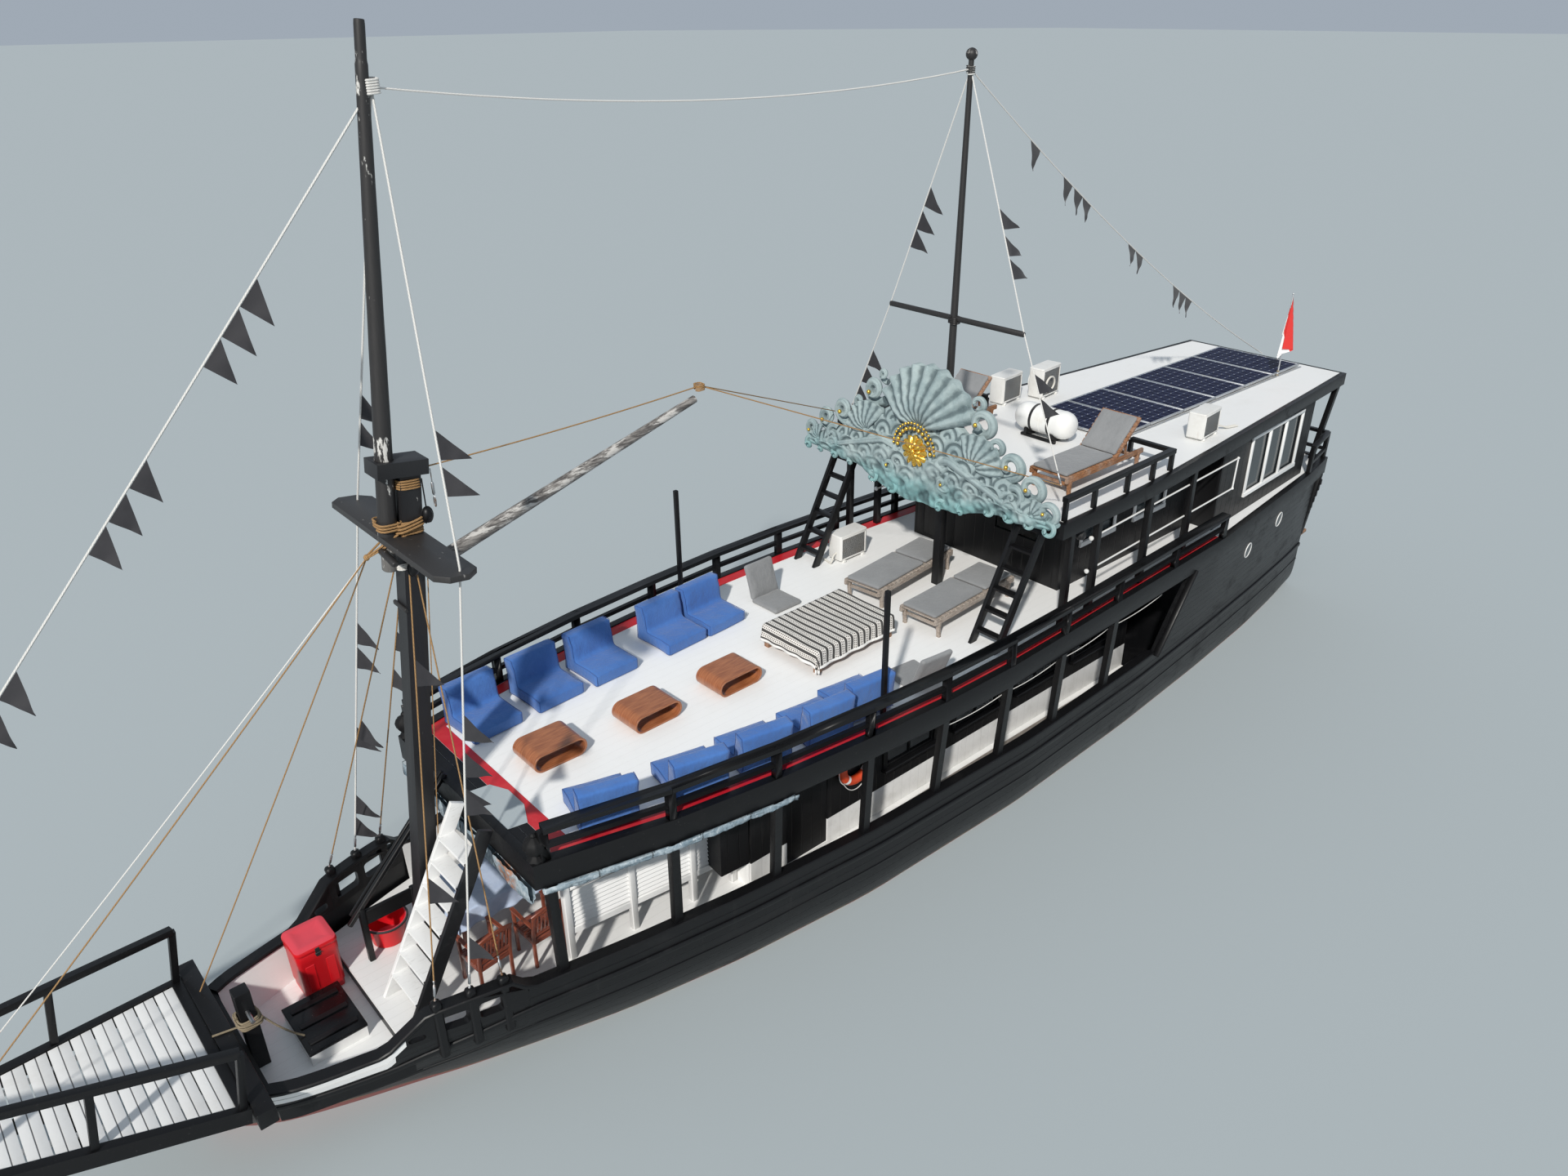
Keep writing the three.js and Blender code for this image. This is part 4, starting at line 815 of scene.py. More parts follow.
HOUSE_WINDOWS = (-2.9, -1.5, -0.1, 1.3)
window_parts, sill_parts = [], []
for x in HOUSE_WINDOWS:
    for s in (1, -1):
        frame_line = round_box(x - 0.02, x + 0.92, 1.43, 2.07, 0.01, 3)
        path = np.column_stack((frame_line[:, 0], np.full(len(frame_line), s * 1.624), frame_line[:, 1]))
        rim = [(0.0, 0.0), (0.07, 0.0), (0.07, 0.022), (0.0, 0.03)]
        outward = np.array([(np.sign(px - x - 0.45), np.sign(pz - 1.75)) for px, pz in frame_line])
        layers = [path + np.column_stack((outward[:, 0] * a, np.full(len(path), s * b), outward[:, 1] * a))
                  for a, b in rim]
        window_parts += [
            skin(np.stack(layers + layers[:1], 0), True),
            plank((x + 0.45, s * 1.60, 1.45), (x + 0.45, s * 1.60, 2.05), 0.045, 0.03, 0.005, (0, 1, 0)),
        ]
        sill_parts += [
            plank((x - 0.10, s * 1.665, 1.40), (x + 1.0, s * 1.665, 1.40), 0.10, 0.045, 0.008),
            plank((x - 0.07, s * 1.645, 2.12), (x + 0.97, s * 1.645, 2.12), 0.05, 0.03, 0.006),
        ]
piece("house_window_frames", window_parts, BLACK_TIMBER)
piece("house_sills", sill_parts, BLACK_TIMBER)
piece("house_lockers", both(lambda s: [
    plank((4.605, s * 1.43, 1.74), (5.02, s * 1.40, 1.74), 0.36, 1.22, 0.012),
    plank((4.62, s * 1.43, 2.37), (5.05, s * 1.40, 2.37), 0.40, 0.04, 0.008),
]), HOUSE_BOARDS)

LOUVRE_POSTS = [(6.88, 1.085), (6.06, 1.175), (5.24, 1.265), (4.66, 1.32)]  # x, y


def louvred_side(s):
    """A run of white posts and rails with a stack of slanted slats in each bay above the lower rail."""
    parts = []
    for x, y in LOUVRE_POSTS:
        parts.append(plank((x, s * y, ON_MAIN_DECK), (x, s * y, 2.455), 0.085, 0.085, 0.008, (1, 0, 0)))
    for (x0, y0), (x1, y1) in zip(LOUVRE_POSTS, LOUVRE_POSTS[1:]):
        a, b = np.array((x0 - 0.04, s * y0, 0.0)), np.array((x1 + 0.04, s * y1, 0.0))
        for z, depth in ((1.10, 0.09), (2.40, 0.08), (1.72, 0.05)):
            parts.append(plank(a + (0, 0, z), b + (0, 0, z), 0.055, depth, 0.006))
        tilt = (0.0, s * 0.8, 0.6)
        for z in np.concatenate((np.arange(1.19, 1.68, 0.062), np.arange(1.79, 2.34, 0.062))):
            parts.append(plank(a + (0, 0, z), b + (0, 0, z), 0.062, 0.009, 0.003, tilt))
    return parts


LOUVRE_WHITE = white_paint("louvre_white", 0, 0.1, 0.2)
piece("louvred_sides", both(louvred_side), LOUVRE_WHITE)


# Aft cabin: black boards with pale-framed windows, on a gallery whose posts carry white pipe rails. The
# frames are nailed on flat, and each window's glass stands in them.
CABIN_BOARDS = black_paint("cabin_boards", 1, 0.19, 0.3, 0.40)
STERN_BOARDS = black_paint("stern_boards", 2, 0.19, 0.3, 0.40)
for side in ("port", "starboard"):
    dress(f"cabin_wall_{side}", CABIN_BOARDS, bevel=0.004)
dress("cabin_front_wall", STERN_BOARDS, bevel=0.004)
dress("cabin_stern_wall", STERN_BOARDS, bevel=0.004)
dress("cabin_front_door", STERN_BOARDS, "cabin_front_door", 0.004)
dress("cabin_stern_door", STERN_BOARDS, "cabin_stern_door", 0.004)


def glass():
    """Tinted window glass that mirrors the sky."""
    f = Finish("window_glass")
    haze = f.noise(f.place(), 1.6, 4.0, 0.6)
    return f.done(f.mix(haze, (0.012, 0.018, 0.022), (0.045, 0.055, 0.06)), 0.06 + haze * 0.08)


GLASS = glass()


def cabin_window(x0, x1, z0, z1, y0, y1, s, panes=1):
    """A window on a wall that may run askew: a flat frame of four boards, bars between panes, and glass."""
    def at(x, z, out):
        return np.array((x, s * (np.interp(x, (x0, x1), (y0, y1)) + out), z))

    w = 0.06
    frame_parts = [
        plank(at(x0 - w, z0 - w / 2, 0.012), at(x1 + w, z0 - w / 2, 0.012), 0.05, w * 1.3, 0.006),
        plank(at(x0 - w, z1 + w / 2, 0.008), at(x1 + w, z1 + w / 2, 0.008), 0.04, w, 0.006),
        plank(at(x0 - w / 2, z0, 0.008), at(x0 - w / 2, z1, 0.008), w, 0.036, 0.006, (0, 1, 0)),
        plank(at(x1 + w / 2, z0, 0.008), at(x1 + w / 2, z1, 0.008), w, 0.036, 0.006, (0, 1, 0)),
    ]
    for k in range(1, panes):
        x = x0 + (x1 - x0) * k / panes
        frame_parts.append(plank(at(x, z0, 0.006), at(x, z1, 0.006), w, 0.05, 0.006, (0, 1, 0)))
    bow = np.linspace(-1, 1, 9)
    pane = np.array([[at(x, z, -0.028 + 0.004 * (1 - u * u)) for u, z in zip(bow, np.linspace(z0, z1, 9))]
                     for x in np.linspace(x0, x1, 5)])
    back = pane - (0, s * 0.008, 0)
    pane = np.concatenate((pane, back[:, ::-1]), 1)
    return frame_parts, [skin(pane, True, True)]


cabin_frames, cabin_glass = [], []
for s in (1, -1):
    for x0, x1 in ((-2.9, -2.1), (-4.3, -3.5)):
        boards, pane = cabin_window(x0, x1, 3.35, 3.90, 1.45, 1.45, s, 2)
        cabin_frames += boards
        cabin_glass += pane
    boards, pane = cabin_window(-8.33, -6.38, 3.06, 4.02, 1.663, 1.792, s, 3)
    cabin_frames += boards
    cabin_glass += pane
piece("cabin_window_frames", cabin_frames, LOUVRE_WHITE)
piece("cabin_window_glass", cabin_glass, GLASS)


# Fore stair: white treads between two strings, the port one black, with a black handrail on the
# starboard side and a red tub that stands under the rail's lower board.
def stair_paint():
    """White paint, with the string on the port side painted black."""
    f = Finish("stair_paint")
    place = f.place()
    y = f.parts(place)[1]
    scuff = f.step(f.noise(f.place((1.0, 4.0, 4.0)), 7.0, 5.0, 0.7), 0.55, 0.78)
    white = f.mix(scuff * 0.6, (0.82, 0.82, 0.81), (0.45, 0.43, 0.40))
    black = f.mix(scuff * 0.3, (0.010, 0.010, 0.011), (0.08, 0.078, 0.075))
    return f.done(f.mix(y > 0.785, white, black), 0.42 + scuff * 0.2,
                  f.noise(place, 20.0) * 0.5 + scuff * 0.3, 0.002)


dress("fore_stair", stair_paint(), bevel=0.008)
piece("stair_handrail", [
    plank((7.41, -0.45, 2.755), (8.80, -0.45, 1.32), 0.055, 0.055, 0.008),
    plank((7.41, -0.53, 2.755), (8.74, -0.53, 1.38), 0.045, 0.045, 0.008),
    plank((8.64, -0.45, ON_MAIN_DECK), (8.64, -0.45, 1.48), 0.07, 0.07, 0.008, (1, 0, 0)),
    plank((8.03, -0.45, ON_MAIN_DECK), (8.03, -0.45, 1.45), 0.06, 0.06, 0.008, (1, 0, 0)),
    plank((8.66, -0.45, 1.33), (8.00, -0.45, 1.33), 0.045, 0.20, 0.008),
], BLACK_TIMBER)


def plastic(name, tint, faded, rough=0.34):
    """Moulded plastic: an even colour, faded by the sun where it faces up, with fine scratches."""
    f = Finish(name)
    place = f.place()
    up = f.parts(f.add("ShaderNodeNewGeometry", {}, {}, "Normal"))[2]
    sunned = f.step(up + f.noise(place, 4.0, 3.0) * 0.3, 0.75, 1.2)
    scratch = f.step(f.noise(f.place((1.0, 9.0, 3.0)), 14.0, 4.0, 0.7), 0.60, 0.72)
    shade = f.mix(scratch * 0.25, f.mix(sunned, tint, faded), faded)
    return f.done(shade, rough + scratch * 0.25 + sunned * 0.12, f.noise(place, 90.0, 2.0) * 0.3, 0.0006)


RED_PLASTIC = plastic("red_plastic", (0.62, 0.008, 0.014), (0.68, 0.060, 0.085))
BLACK_RUBBER = plastic("black_rubber", (0.012, 0.012, 0.013), (0.06, 0.06, 0.06), 0.6)
TUB = [(0.001, 0.003), (0.175, 0.003), (0.19, 0.012), (0.205, 0.12), (0.235, 0.29), (0.252, 0.296),
       (0.252, 0.31), (0.228, 0.312), (0.197, 0.12), (0.180, 0.022), (0.001, 0.018)]
piece("red_tub", [turned(TUB, (8.34, -0.66, ON_MAIN_DECK), 36)], RED_PLASTIC)
piece("tub_rim", [skin(carry(round_section(0.014, 8), [
    (8.34 + 0.252 * math.cos(t), -0.66 + 0.252 * math.sin(t), 1.005)
    for t in np.linspace(0, 2 * np.pi, 37)[:-1]], 1.0),
    True)], BLACK_RUBBER, closed=False)


# Foredeck: black hatch lid with battens, a moulded cool box with a latched lid, and the samson post
# with the anchor line turned round it.
def box_loft(x0, x1, y0, y1, stages, radius=0.06, count=5):
    """Rings of a round-cornered rectangle, one for each stage of inset and height."""
    rings = []
    for inset, z in stages:
        line = round_box(x0 + inset, x1 - inset, y0 + inset, y1 - inset, max(0.012, radius - inset), count)
        rings.append(np.column_stack((line, np.full(len(line), z))))
    return skin(np.stack(rings), True, True)


dress("hatch_lid", black_paint("hatch_paint", 0, worn=1.0, gloss=0.16), "hatch_lid", 0.01)
piece("hatch_battens", [
    plank((9.14, y, 0.744), (9.66, y, 0.744), 0.07, 0.022, 0.006) for y in (-0.24, 0.03, 0.30)
], BLACK_TIMBER, "hatch_lid")

COOLER = (8.96, 9.43, -0.90, -0.43)
cool_body = box_loft(*COOLER, [
    (0.035, 0.5505), (0.022, 0.562), (0.020, 0.64), (0.010, 0.66), (0.006, 1.10), (0.0, 1.115), (0.0, 1.2),
    (0.006, 1.2265),
    (0.030, 1.2275), (0.045, 1.215), (0.048, 0.66), (0.07, 0.635)], 0.052)
piece("cool_box_body", [cool_body] + [
    plank((x, y, 0.70), (x, y, 1.06), 0.10, 0.012, 0.004, up)
    for x, y, up in ((9.31, -0.437, (0, 1, 0)), (9.08, -0.437, (0, 1, 0)), (9.31, -0.893, (0, 1, 0)),
                     (9.08, -0.893, (0, 1, 0)))
], RED_PLASTIC, replaces=("cool_box",))
piece("cool_box_top", [box_loft(*COOLER, [
    (0.05, 1.2305), (-0.002, 1.2315), (-0.008, 1.24), (-0.008, 1.268), (0.002, 1.288), (0.045, 1.300),
    (0.075, 1.3045),
    (0.10, 1.296), (0.2, 1.2975)], 0.060)], RED_PLASTIC, "cool_box_lid", replaces=("cool_box_lid",))


def metal(name, tint, stain, rough=0.38):
    """Galvanised or stained metal with brown bleeding where salt has stood."""
    f = Finish(name)
    place = f.place()
    bleed = f.step(f.noise(place, 9.0, 5.0, 0.65), 0.48, 0.66)
    return f.done(f.mix(bleed, tint, stain), rough + bleed * 0.35, f.noise(place, 60.0, 4.0), 0.0008,
                  Metallic=1.0)


GALVANISED = metal("galvanised", (0.50, 0.51, 0.52), (0.22, 0.13, 0.08))
piece("cool_box_latch", [
    plank((9.195, -0.4245, 1.16), (9.195, -0.4245, 1.275), 0.05, 0.012, 0.004, (0, 1, 0)),
    plank((9.16, -0.417, 1.205), (9.23, -0.417, 1.205), 0.02, 0.012, 0.004),
], BLACK_RUBBER, "cool_box_lid")


def rope(name, tint, dark, strands=3, lay=22.0):
    """Laid rope: grooves run round it, read from the piece's map in metres along and around. Painted shade
    darkens the grooves.
    """
    f = Finish(name)
    u, v, _ = f.parts(f.map())
    groove_and_shade = f.groove(u * lay + v * (strands * lay), 0.16)
    fuzz = f.noise(f.place(), 60.0, 3.0, 0.7)
    # Painted shade: the grooves between the strands are darkened towards the dark colour, which also tints
    # random fibres.
    shade = f.mix(groove_and_shade * 0.7, tint, dark)
    return f.done(f.mix(fuzz * 0.5, shade, dark), 0.82, (1 - groove_and_shade) + fuzz * 0.4, 0.002)


BROWN_ROPE = rope("brown_rope", (0.42, 0.245, 0.10), (0.16, 0.085, 0.035))
HEMP_ROPE = rope("hemp_rope", (0.33, 0.27, 0.18), (0.12, 0.09, 0.055))


def turns(centre, half_x, half_y, radius, count, pitch, points=28, tilt=0.0):
    """A line wound round a square post: a round-cornered square, climbing a pitch at each turn."""
    at = np.linspace(0, count * 2 * np.pi, count * points + 1)
    shape = (np.abs(np.cos(at)) ** 4 + np.abs(np.sin(at)) ** 4) ** -0.25
    x, y = half_x * shape * np.cos(at), half_y * shape * np.sin(at)
    z = pitch * at / (2 * np.pi) + tilt * x
    return round_bar(np.asarray(centre) + np.stack((x, y, z), 1), radius, 8)


def sagging(start, end, sag=0.0, count=24, side=(0.0, 0.0, 0.0)):
    """Points from start to end, with a parabola's drop of sag in the middle."""
    t = np.linspace(0, 1, count)[:, None]
    start, end = np.asarray(start, float), np.asarray(end, float)
    drop = 4 * t * (1 - t)
    return start + (end - start) * t - drop * np.array((0, 0, sag)) + drop * np.asarray(side, float)


def hitch(start, end, sag, radius, steep=False):
    """A line between two points. steep is for one that runs nearly upright."""
    return round_bar(sagging(start, end, sag), radius, 8, (1, 0, 0) if steep else (0, 0, 1))


piece("anchor_line", [
    turns((10.10, 0, 1.14), 0.100, 0.100, 0.011, 5, 0.026),
    turns((10.10, 0, 1.17), 0.119, 0.119, 0.011, 2, 0.034, tilt=0.2),
    hitch((10.21, 0.05, 1.20), (10.46, 0.02, 1.225), 0.0, 0.011),
    hitch((9.99, 0.06, 1.22), (9.66, 0.16, 0.752), 0.05, 0.011),
], HEMP_ROPE)
piece("post_pin", [round_bar([(10.10, -0.26, 1.36), (10.10, 0.26, 1.36)], 0.022, 14)], GALVANISED)


def bow_board(x, top, foot, s):
    """A thin board laid on the bow's planking, between two distances below the sheer."""
    sheer = faired(x, 2)
    rows = ((top, 0.0005), (top, 0.009), (foot, 0.009), (foot, 0.0005))
    grid = [np.stack((x, hull_half(x, sheer - drop) + proud, sheer - drop), 1) for drop, proud in rows]
    return skin(np.stack(grid, 1) * (1, s, 1), True, True)


piece("bow_strip", both(lambda s: [
    bow_board(np.linspace(8.98, 10.24, 26), 0.022, 0.105, s),
    bow_board(np.linspace(9.10, 10.24, 26), 0.115, 0.20, s),
]), SMOOTH_WHITE)


def platform_paint(first, pitch=0.2021, middle=0.461):
    """White boards laid in pairs: the seam in the middle of each pair is painted, the others are gaps."""
    f = Finish("platform_white")
    place = f.place()
    x = f.parts(place)[0]
    seam = f.groove((x - first) / pitch - middle, 0.045)
    dirt = f.step(f.noise(place, 1.4, 6.0, 0.7), 0.48, 0.80)
    shade = f.mix(dirt * 0.4, OIL_WHITE, (0.58, 0.56, 0.52))
    shade = f.mix(seam, shade, (0.035, 0.035, 0.038))
    return f.done(shade, 0.5 + dirt * 0.2, f.noise(place, 18.0, 4.0) * 0.3 - seam, 0.003)


dress("platform_planks", platform_paint(float(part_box("platform_planks")[0][0])), bevel=0.004)


# Foremast: a squared lower mast stepped on the main deck and raked aft, with cheeks, crosstree and cap,
# and a round topmast ahead of it whose paint has flaked to white primer.
def spar_paint(name, base, flaked, amount=0.5, primer=()):
    """Old black paint on a spar, flaked in long patches. primer lists heights where it is nearly gone."""
    f = Finish(name)
    place = f.place()
    z = f.parts(place)[2]
    long_patch = f.noise(f.place((7.0, 7.0, 1.5)), 1.8, 6.0, 0.68)
    worn = long_patch + f.noise(place, 26.0, 3.0, 0.7) * 0.16
    for height, reach in primer:
        worn = worn + f.step(abs(z - height), reach * 0.6, reach, 0.15, 0.0)
    chip = f.step(worn, 0.80 - amount * 0.16, 0.86 - amount * 0.16)
    grain = f.noise(f.place((22.0, 22.0, 1.0)), 3.0, 4.0, 0.6)
    shade = f.mix(grain * 0.6, base, (base[0] * 2.6, base[1] * 2.6, base[2] * 2.6))
    shade = f.mix(chip, shade, flaked)
    return f.done(shade, 0.5 + chip * 0.3, grain * 0.4 + (1 - chip) * 0.5, 0.0025)


RAKE = 0.119
STEP = np.array((8.15, 0.0, 0.7003))


def raked(points):
    """Places ahead, to port and up along the mast, turned aft by the rake and set on the mast's step."""
    points = np.asarray(points, float)
    ahead = np.array((math.cos(RAKE), 0, math.sin(RAKE)))
    up = np.array((-math.sin(RAKE), 0, math.cos(RAKE)))
    return STEP + points[..., :1] * ahead + points[..., 1:2] * np.array((0, 1, 0)) + points[..., 2:] * up


LOWER_MAST_PAINT = spar_paint("lower_mast_paint", (0.010, 0.010, 0.011), (0.38, 0.37, 0.35), 0.15)
TOPMAST_PAINT = spar_paint("topmast_paint", (0.016, 0.015, 0.015), (0.62, 0.61, 0.58), 0.5,
                           ((10.10, 0.24), (6.85, 0.22)))
dress("foremast", LOWER_MAST_PAINT, bevel=0.012)
dress("crosstree", spar_paint("crosstree_paint", (0.020, 0.019, 0.019), (0.30, 0.29, 0.275), 0.45),
      bevel=0.01)
heights = np.concatenate((np.linspace(5.331, 9.50, 40), (9.52, 9.54, 9.60, 9.80, 9.836, 9.84)))
girth = np.interp(heights, (5.331, 9.50, 9.53, 9.62, 9.8, 9.836, 9.84),
                  (0.094, 0.0535, 0.047, 0.048, 0.047, 0.044, 0.03))
girth = girth * (1 - 0.018 * np.abs(np.sin(heights * 5.3)))
piece("topmast_spar", [
    round_bar(raked(np.stack((0 * heights + 0.21, 0 * heights, heights), 1)), girth, 20, (1, 0, 0)),
], TOPMAST_PAINT, replaces=("topmast",))
piece("topmast_heel", [
    round_bar(raked([(0.205, 0, w) for w in (4.96, 4.975, 5.18, 5.262)]), (0.066, 0.078, 0.080, 0.080), 18,
              (1, 0, 0)),
], spar_paint("heel_paint", (0.10, 0.095, 0.09), (0.62, 0.61, 0.58), 1.0))
piece("mast_cleats", [
    plank(raked((0.30, 0.02, 5.20)), raked((0.30, 0.36, 5.16)), 0.07, 0.06, 0.015),
    plank(raked((0.12, 0.14, 4.55)), raked((0.12, -0.14, 4.55)), 0.035, 0.05, 0.01),
    plank(raked((-0.06, 0.112, 1.25)), raked((0.06, 0.112, 1.25)), 0.03, 0.05, 0.008),
], TOPMAST_PAINT)
piece("cap_lashing", [turns(raked((0, 0, 5.80)), 0.116, 0.116, 0.010, 4, 0.026, tilt=0.12)], BROWN_ROPE)
piece("crosstree_lashing", [
    turns(raked((0, 0, 5.345)), 0.120, 0.122, 0.013, 5, 0.028, tilt=0.12),
    turns(raked((0.02, 0, 5.40)), 0.150, 0.150, 0.012, 3, 0.034, tilt=-0.12),
    turns(raked((0.20, 0, 5.40)), 0.115, 0.115, 0.011, 3, 0.03, tilt=0.1),
], BROWN_ROPE)


def pulley(centre, drop, size=0.055):
    """A wooden block: an egg-shaped shell with a strop over its back and an eye above."""
    centre = np.asarray(centre, float)
    shell = ball(centre, size, 10, 1.5)
    strop = round_bar(centre + [(math.sin(a) * size * 1.04, 0, math.cos(a) * size * 1.56)
                                for a in np.linspace(-2.8, 2.8, 24)],
                      0.008, 6, (0, 1, 0))
    hanger = round_bar([centre + (0, 0, size * 1.5), centre + (0, 0, size * 1.5 + drop)], 0.007, 6,
                       (1, 0, 0))
    return [shell, strop, hanger]


HANGING = raked([(-0.20, 0.115, 5.93), (-0.20, 0.115, 5.60), (-0.14, 0.135, 5.52)])
piece("mast_blocks", [
    *pulley(HANGING[2], 0.30), *pulley(raked((0.06, 0.205, 5.02)), 0.03),
    *pulley(raked((-0.1, -0.17, 5.02)), 0.03),
], BLACK_TIMBER)
piece("mast_tackle", [
    round_bar(HANGING[0] + [(0, 0.0, 0.05), (0, 0.002, -0.10)], 0.006, 8, (1, 0, 0)),
    round_bar(HANGING[0] + [(0, 0, -0.09), (0, 0, -0.105), (0, 0, -0.21), (0, 0, -0.225)],
              (0.008, 0.015, 0.015, 0.008), 10, (1, 0, 0)),
    round_bar(HANGING[0] + [(0, 0.02 * math.sin(a), -0.29 + 0.055 * math.cos(a))
                            for a in np.linspace(0.2, 5.4, 24)], 0.007, 8, (1, 0, 0)),
], GALVANISED)


# Aft mast: a slim round pole in black paint, stepped in a block on the roof's front edge, with a lashed
# spreader and a turned ball on its head.
AFT_PAINT = spar_paint("aft_mast_paint", (0.014, 0.013, 0.013), (0.45, 0.43, 0.41), 0.2, ((10.1, 0.12),))
rise = np.linspace(0, 1, 40)
piece("aft_mast_spar", [
    round_bar(np.stack((-0.53 - 0.04 * rise, 0 * rise, 4.4103 + rise * 5.57), 1), 0.0618 - 0.0278 * rise,
              18, (1, 0, 0)),
    ball((-0.57, 0, 10.01), 0.0745, 14),
    plank((-0.55, -1.2, 6.73), (-0.55, 1.2, 6.73), 0.055, 0.07, 0.012),
    plank((-0.534, -0.12, 4.432), (-0.534, 0.12, 4.432), 0.23, 0.056, 0.01),
    turns((-0.555, 0, 6.655), 0.066, 0.066, 0.009, 5, 0.02),
    turns((-0.567, 0, 9.80), 0.044, 0.044, 0.008, 4, 0.02),
], AFT_PAINT, replaces=("aft_mast",))


# Boom: a bare pole grey with age on a galvanised iron gooseneck that is bolted to the mast. A line to the
# mast's cap tops it up.
def bare_wood():
    """Weathered bare timber: silver-grey with brown grain and traces of white paint."""
    f = Finish("bare_wood")
    place = f.place((1.0, 9.0, 9.0), (0.0, -0.285, 0.0))
    grain = f.noise(place, 4.0, 6.0, 0.65)
    patch = f.noise(f.place((1.2, 6.0, 6.0), (0.0, -0.285, 0.0)), 2.2, 5.0, 0.7)
    shade = f.mix(f.step(grain, 0.35, 0.65), (0.055, 0.050, 0.048), (0.25, 0.235, 0.22))
    shade = f.mix(f.step(patch, 0.50, 0.60), shade, (0.50, 0.485, 0.46))
    return f.done(shade, 0.75, grain, 0.004)


dress("boom", bare_wood(), "boom", 0.0)
paint_node("boom_gooseneck", GALVANISED)


# Roof: boards under thick white paint, nailed to the roof frame's beams, with its black fascia round their
# edge.
paint_node("roof", white_paint("roof_white", 0, 0.1, 0.25))


# Solar panels: six framed panels of ten by six cells on two rails. The cells are near-black blue with
# clipped corners, under glass, and thin silver strips join them.
def solar_cells():
    """Ten by six cells: the piece's map is in metres, from a panel's corner along it and across it."""
    f = Finish("solar_cells")
    u, v, _ = f.parts(f.map())
    across, along = (u - 0.022) / 0.158, (v - 0.022) / 0.1606
    edge_u, edge_v = abs(across.math("FRACT") - 0.5), abs(along.math("FRACT") - 0.5)
    line = f.step(edge_u.math("MAXIMUM", edge_v), 0.478, 0.488)
    diamond = f.step(edge_u + edge_v, 0.915, 0.93)
    strip = f.step(abs((along * 3.0).math("FRACT") - 0.5), 0.0, 0.030, 1.0, 0.0)
    tone = f.noise(f.map((6.33, 6.22, 1.0)), 0.8, 2.0)
    cell = f.mix(tone, (0.0016, 0.0026, 0.017), (0.0034, 0.0056, 0.036))
    shade = f.mix(strip * 0.16, cell, (0.20, 0.23, 0.30))
    shade = f.mix(line * 0.75, shade, (0.17, 0.21, 0.36))
    shade = f.mix(diamond, shade, (0.58, 0.62, 0.68))
    dust = f.step(f.noise(f.place(), 2.0, 5.0, 0.7), 0.45, 0.8)
    return f.done(f.mix(dust * 0.01, shade, (0.45, 0.42, 0.38)), 0.34 + dust * 0.12,
                  Specular_IOR_Level=0.05)


SOLAR_CELLS = solar_cells()
ALUMINIUM = metal("aluminium", (0.70, 0.71, 0.72), (0.55, 0.55, 0.54), 0.42)
PANEL_LONG, PANEL_WIDE, PANEL_PITCH = 1.65, 0.992, 1.01
PANEL_X, PANEL_Y = -9.71, -0.82  # the aft starboard corner of the first panel
FRAME_LEVEL = 4.4475
GLASS_TOP, GLASS_UNDER = 4.4605, 4.452
panel_frames, panel_glass = [], []
for k in range(6):
    x0 = PANEL_X + k * PANEL_PITCH
    x1, y1 = x0 + PANEL_WIDE, PANEL_Y + PANEL_LONG
    frame_bars = [((x0, y), (x1, y), 0.032) for y in (PANEL_Y + 0.016, y1 - 0.016)]
    frame_bars += [((x, PANEL_Y + 0.03), (x, y1 - 0.03), 0.024) for x in (x0 + 0.012, x1 - 0.012)]
    panel_frames += [plank((*start, FRAME_LEVEL), (*end, FRAME_LEVEL), width, 0.035, 0.003)
                     for start, end, width in frame_bars]
    low, high = PANEL_Y + 0.012, y1 - 0.012
    corners = [(low, GLASS_TOP), (high, GLASS_TOP), (high, GLASS_UNDER), (low, GLASS_UNDER)]
    panel_glass.append(skin([[(x, y, z) for y, z in corners] for x in (x0 + 0.01, x1 - 0.01)], True, True))
rails = (PANEL_X, PANEL_X + 6 * PANEL_PITCH - 0.02)
panel_frames += [plank(*[(x, y, 4.4155) for x in rails], 0.04, 0.0295, 0.004) for y in (-0.49, 0.50)]
panel_frames += [plank((-9.73, y, 4.408), (-3.60, y, 4.408), 0.035, 0.015, 0.003) for y in (-0.846, 0.856)]
piece("solar_frames", panel_frames, ALUMINIUM, replaces=("solar_array",), slot="solar_cells")
piece("solar_glass", panel_glass, SOLAR_CELLS, slot="solar_cells")


# Air conditioner units: pressed-steel casings in off-white enamel, with a round fan guard on one side,
# fins behind it, a service cover and a pipe with pale lagging.
def enamel():
    """Off-white enamel with dust in its corners and rust that runs from its lower edges."""
    f = Finish("enamel")
    place = f.place()
    grime = f.step(f.noise(place, 3.0, 6.0, 0.7), 0.45, 0.75)
    streak = f.step(f.noise(f.place((9.0, 9.0, 0.8)), 3.0, 5.0, 0.7), 0.58, 0.75)
    shade = f.mix(grime * 0.35, (0.74, 0.735, 0.71), (0.50, 0.47, 0.42))
    shade = f.mix(streak * 0.4, shade, (0.40, 0.31, 0.22))
    return f.done(shade, 0.40 + grime * 0.2, f.noise(place, 80.0, 3.0) * 0.4, 0.0006)


ENAMEL = enamel()
# Dark metal for the fins and the fan's mouth: partly their own dark colour, partly painted shade between the
# fins and behind the guard.
FINS_AND_SHADE = metal("fins_and_painted_shade", (0.07, 0.075, 0.08), (0.12, 0.10, 0.08), 0.5)
UNITS = (  # node, x, y, floor, turn, height
    ("ac_unit_roof_port", -4.90, 1.61, ROOF_TOP, 0.10, 0.45),
    ("ac_unit_roof_starboard", -4.76, -1.39, ROOF_TOP, 0.10, 0.55),
    ("ac_unit_roof_fore", -4.01, -1.64, ROOF_TOP, 0.10, 0.50),
    ("ac_unit_deck", -0.12, -1.535, UPPER_DECK, 0.02, 0.46),
)


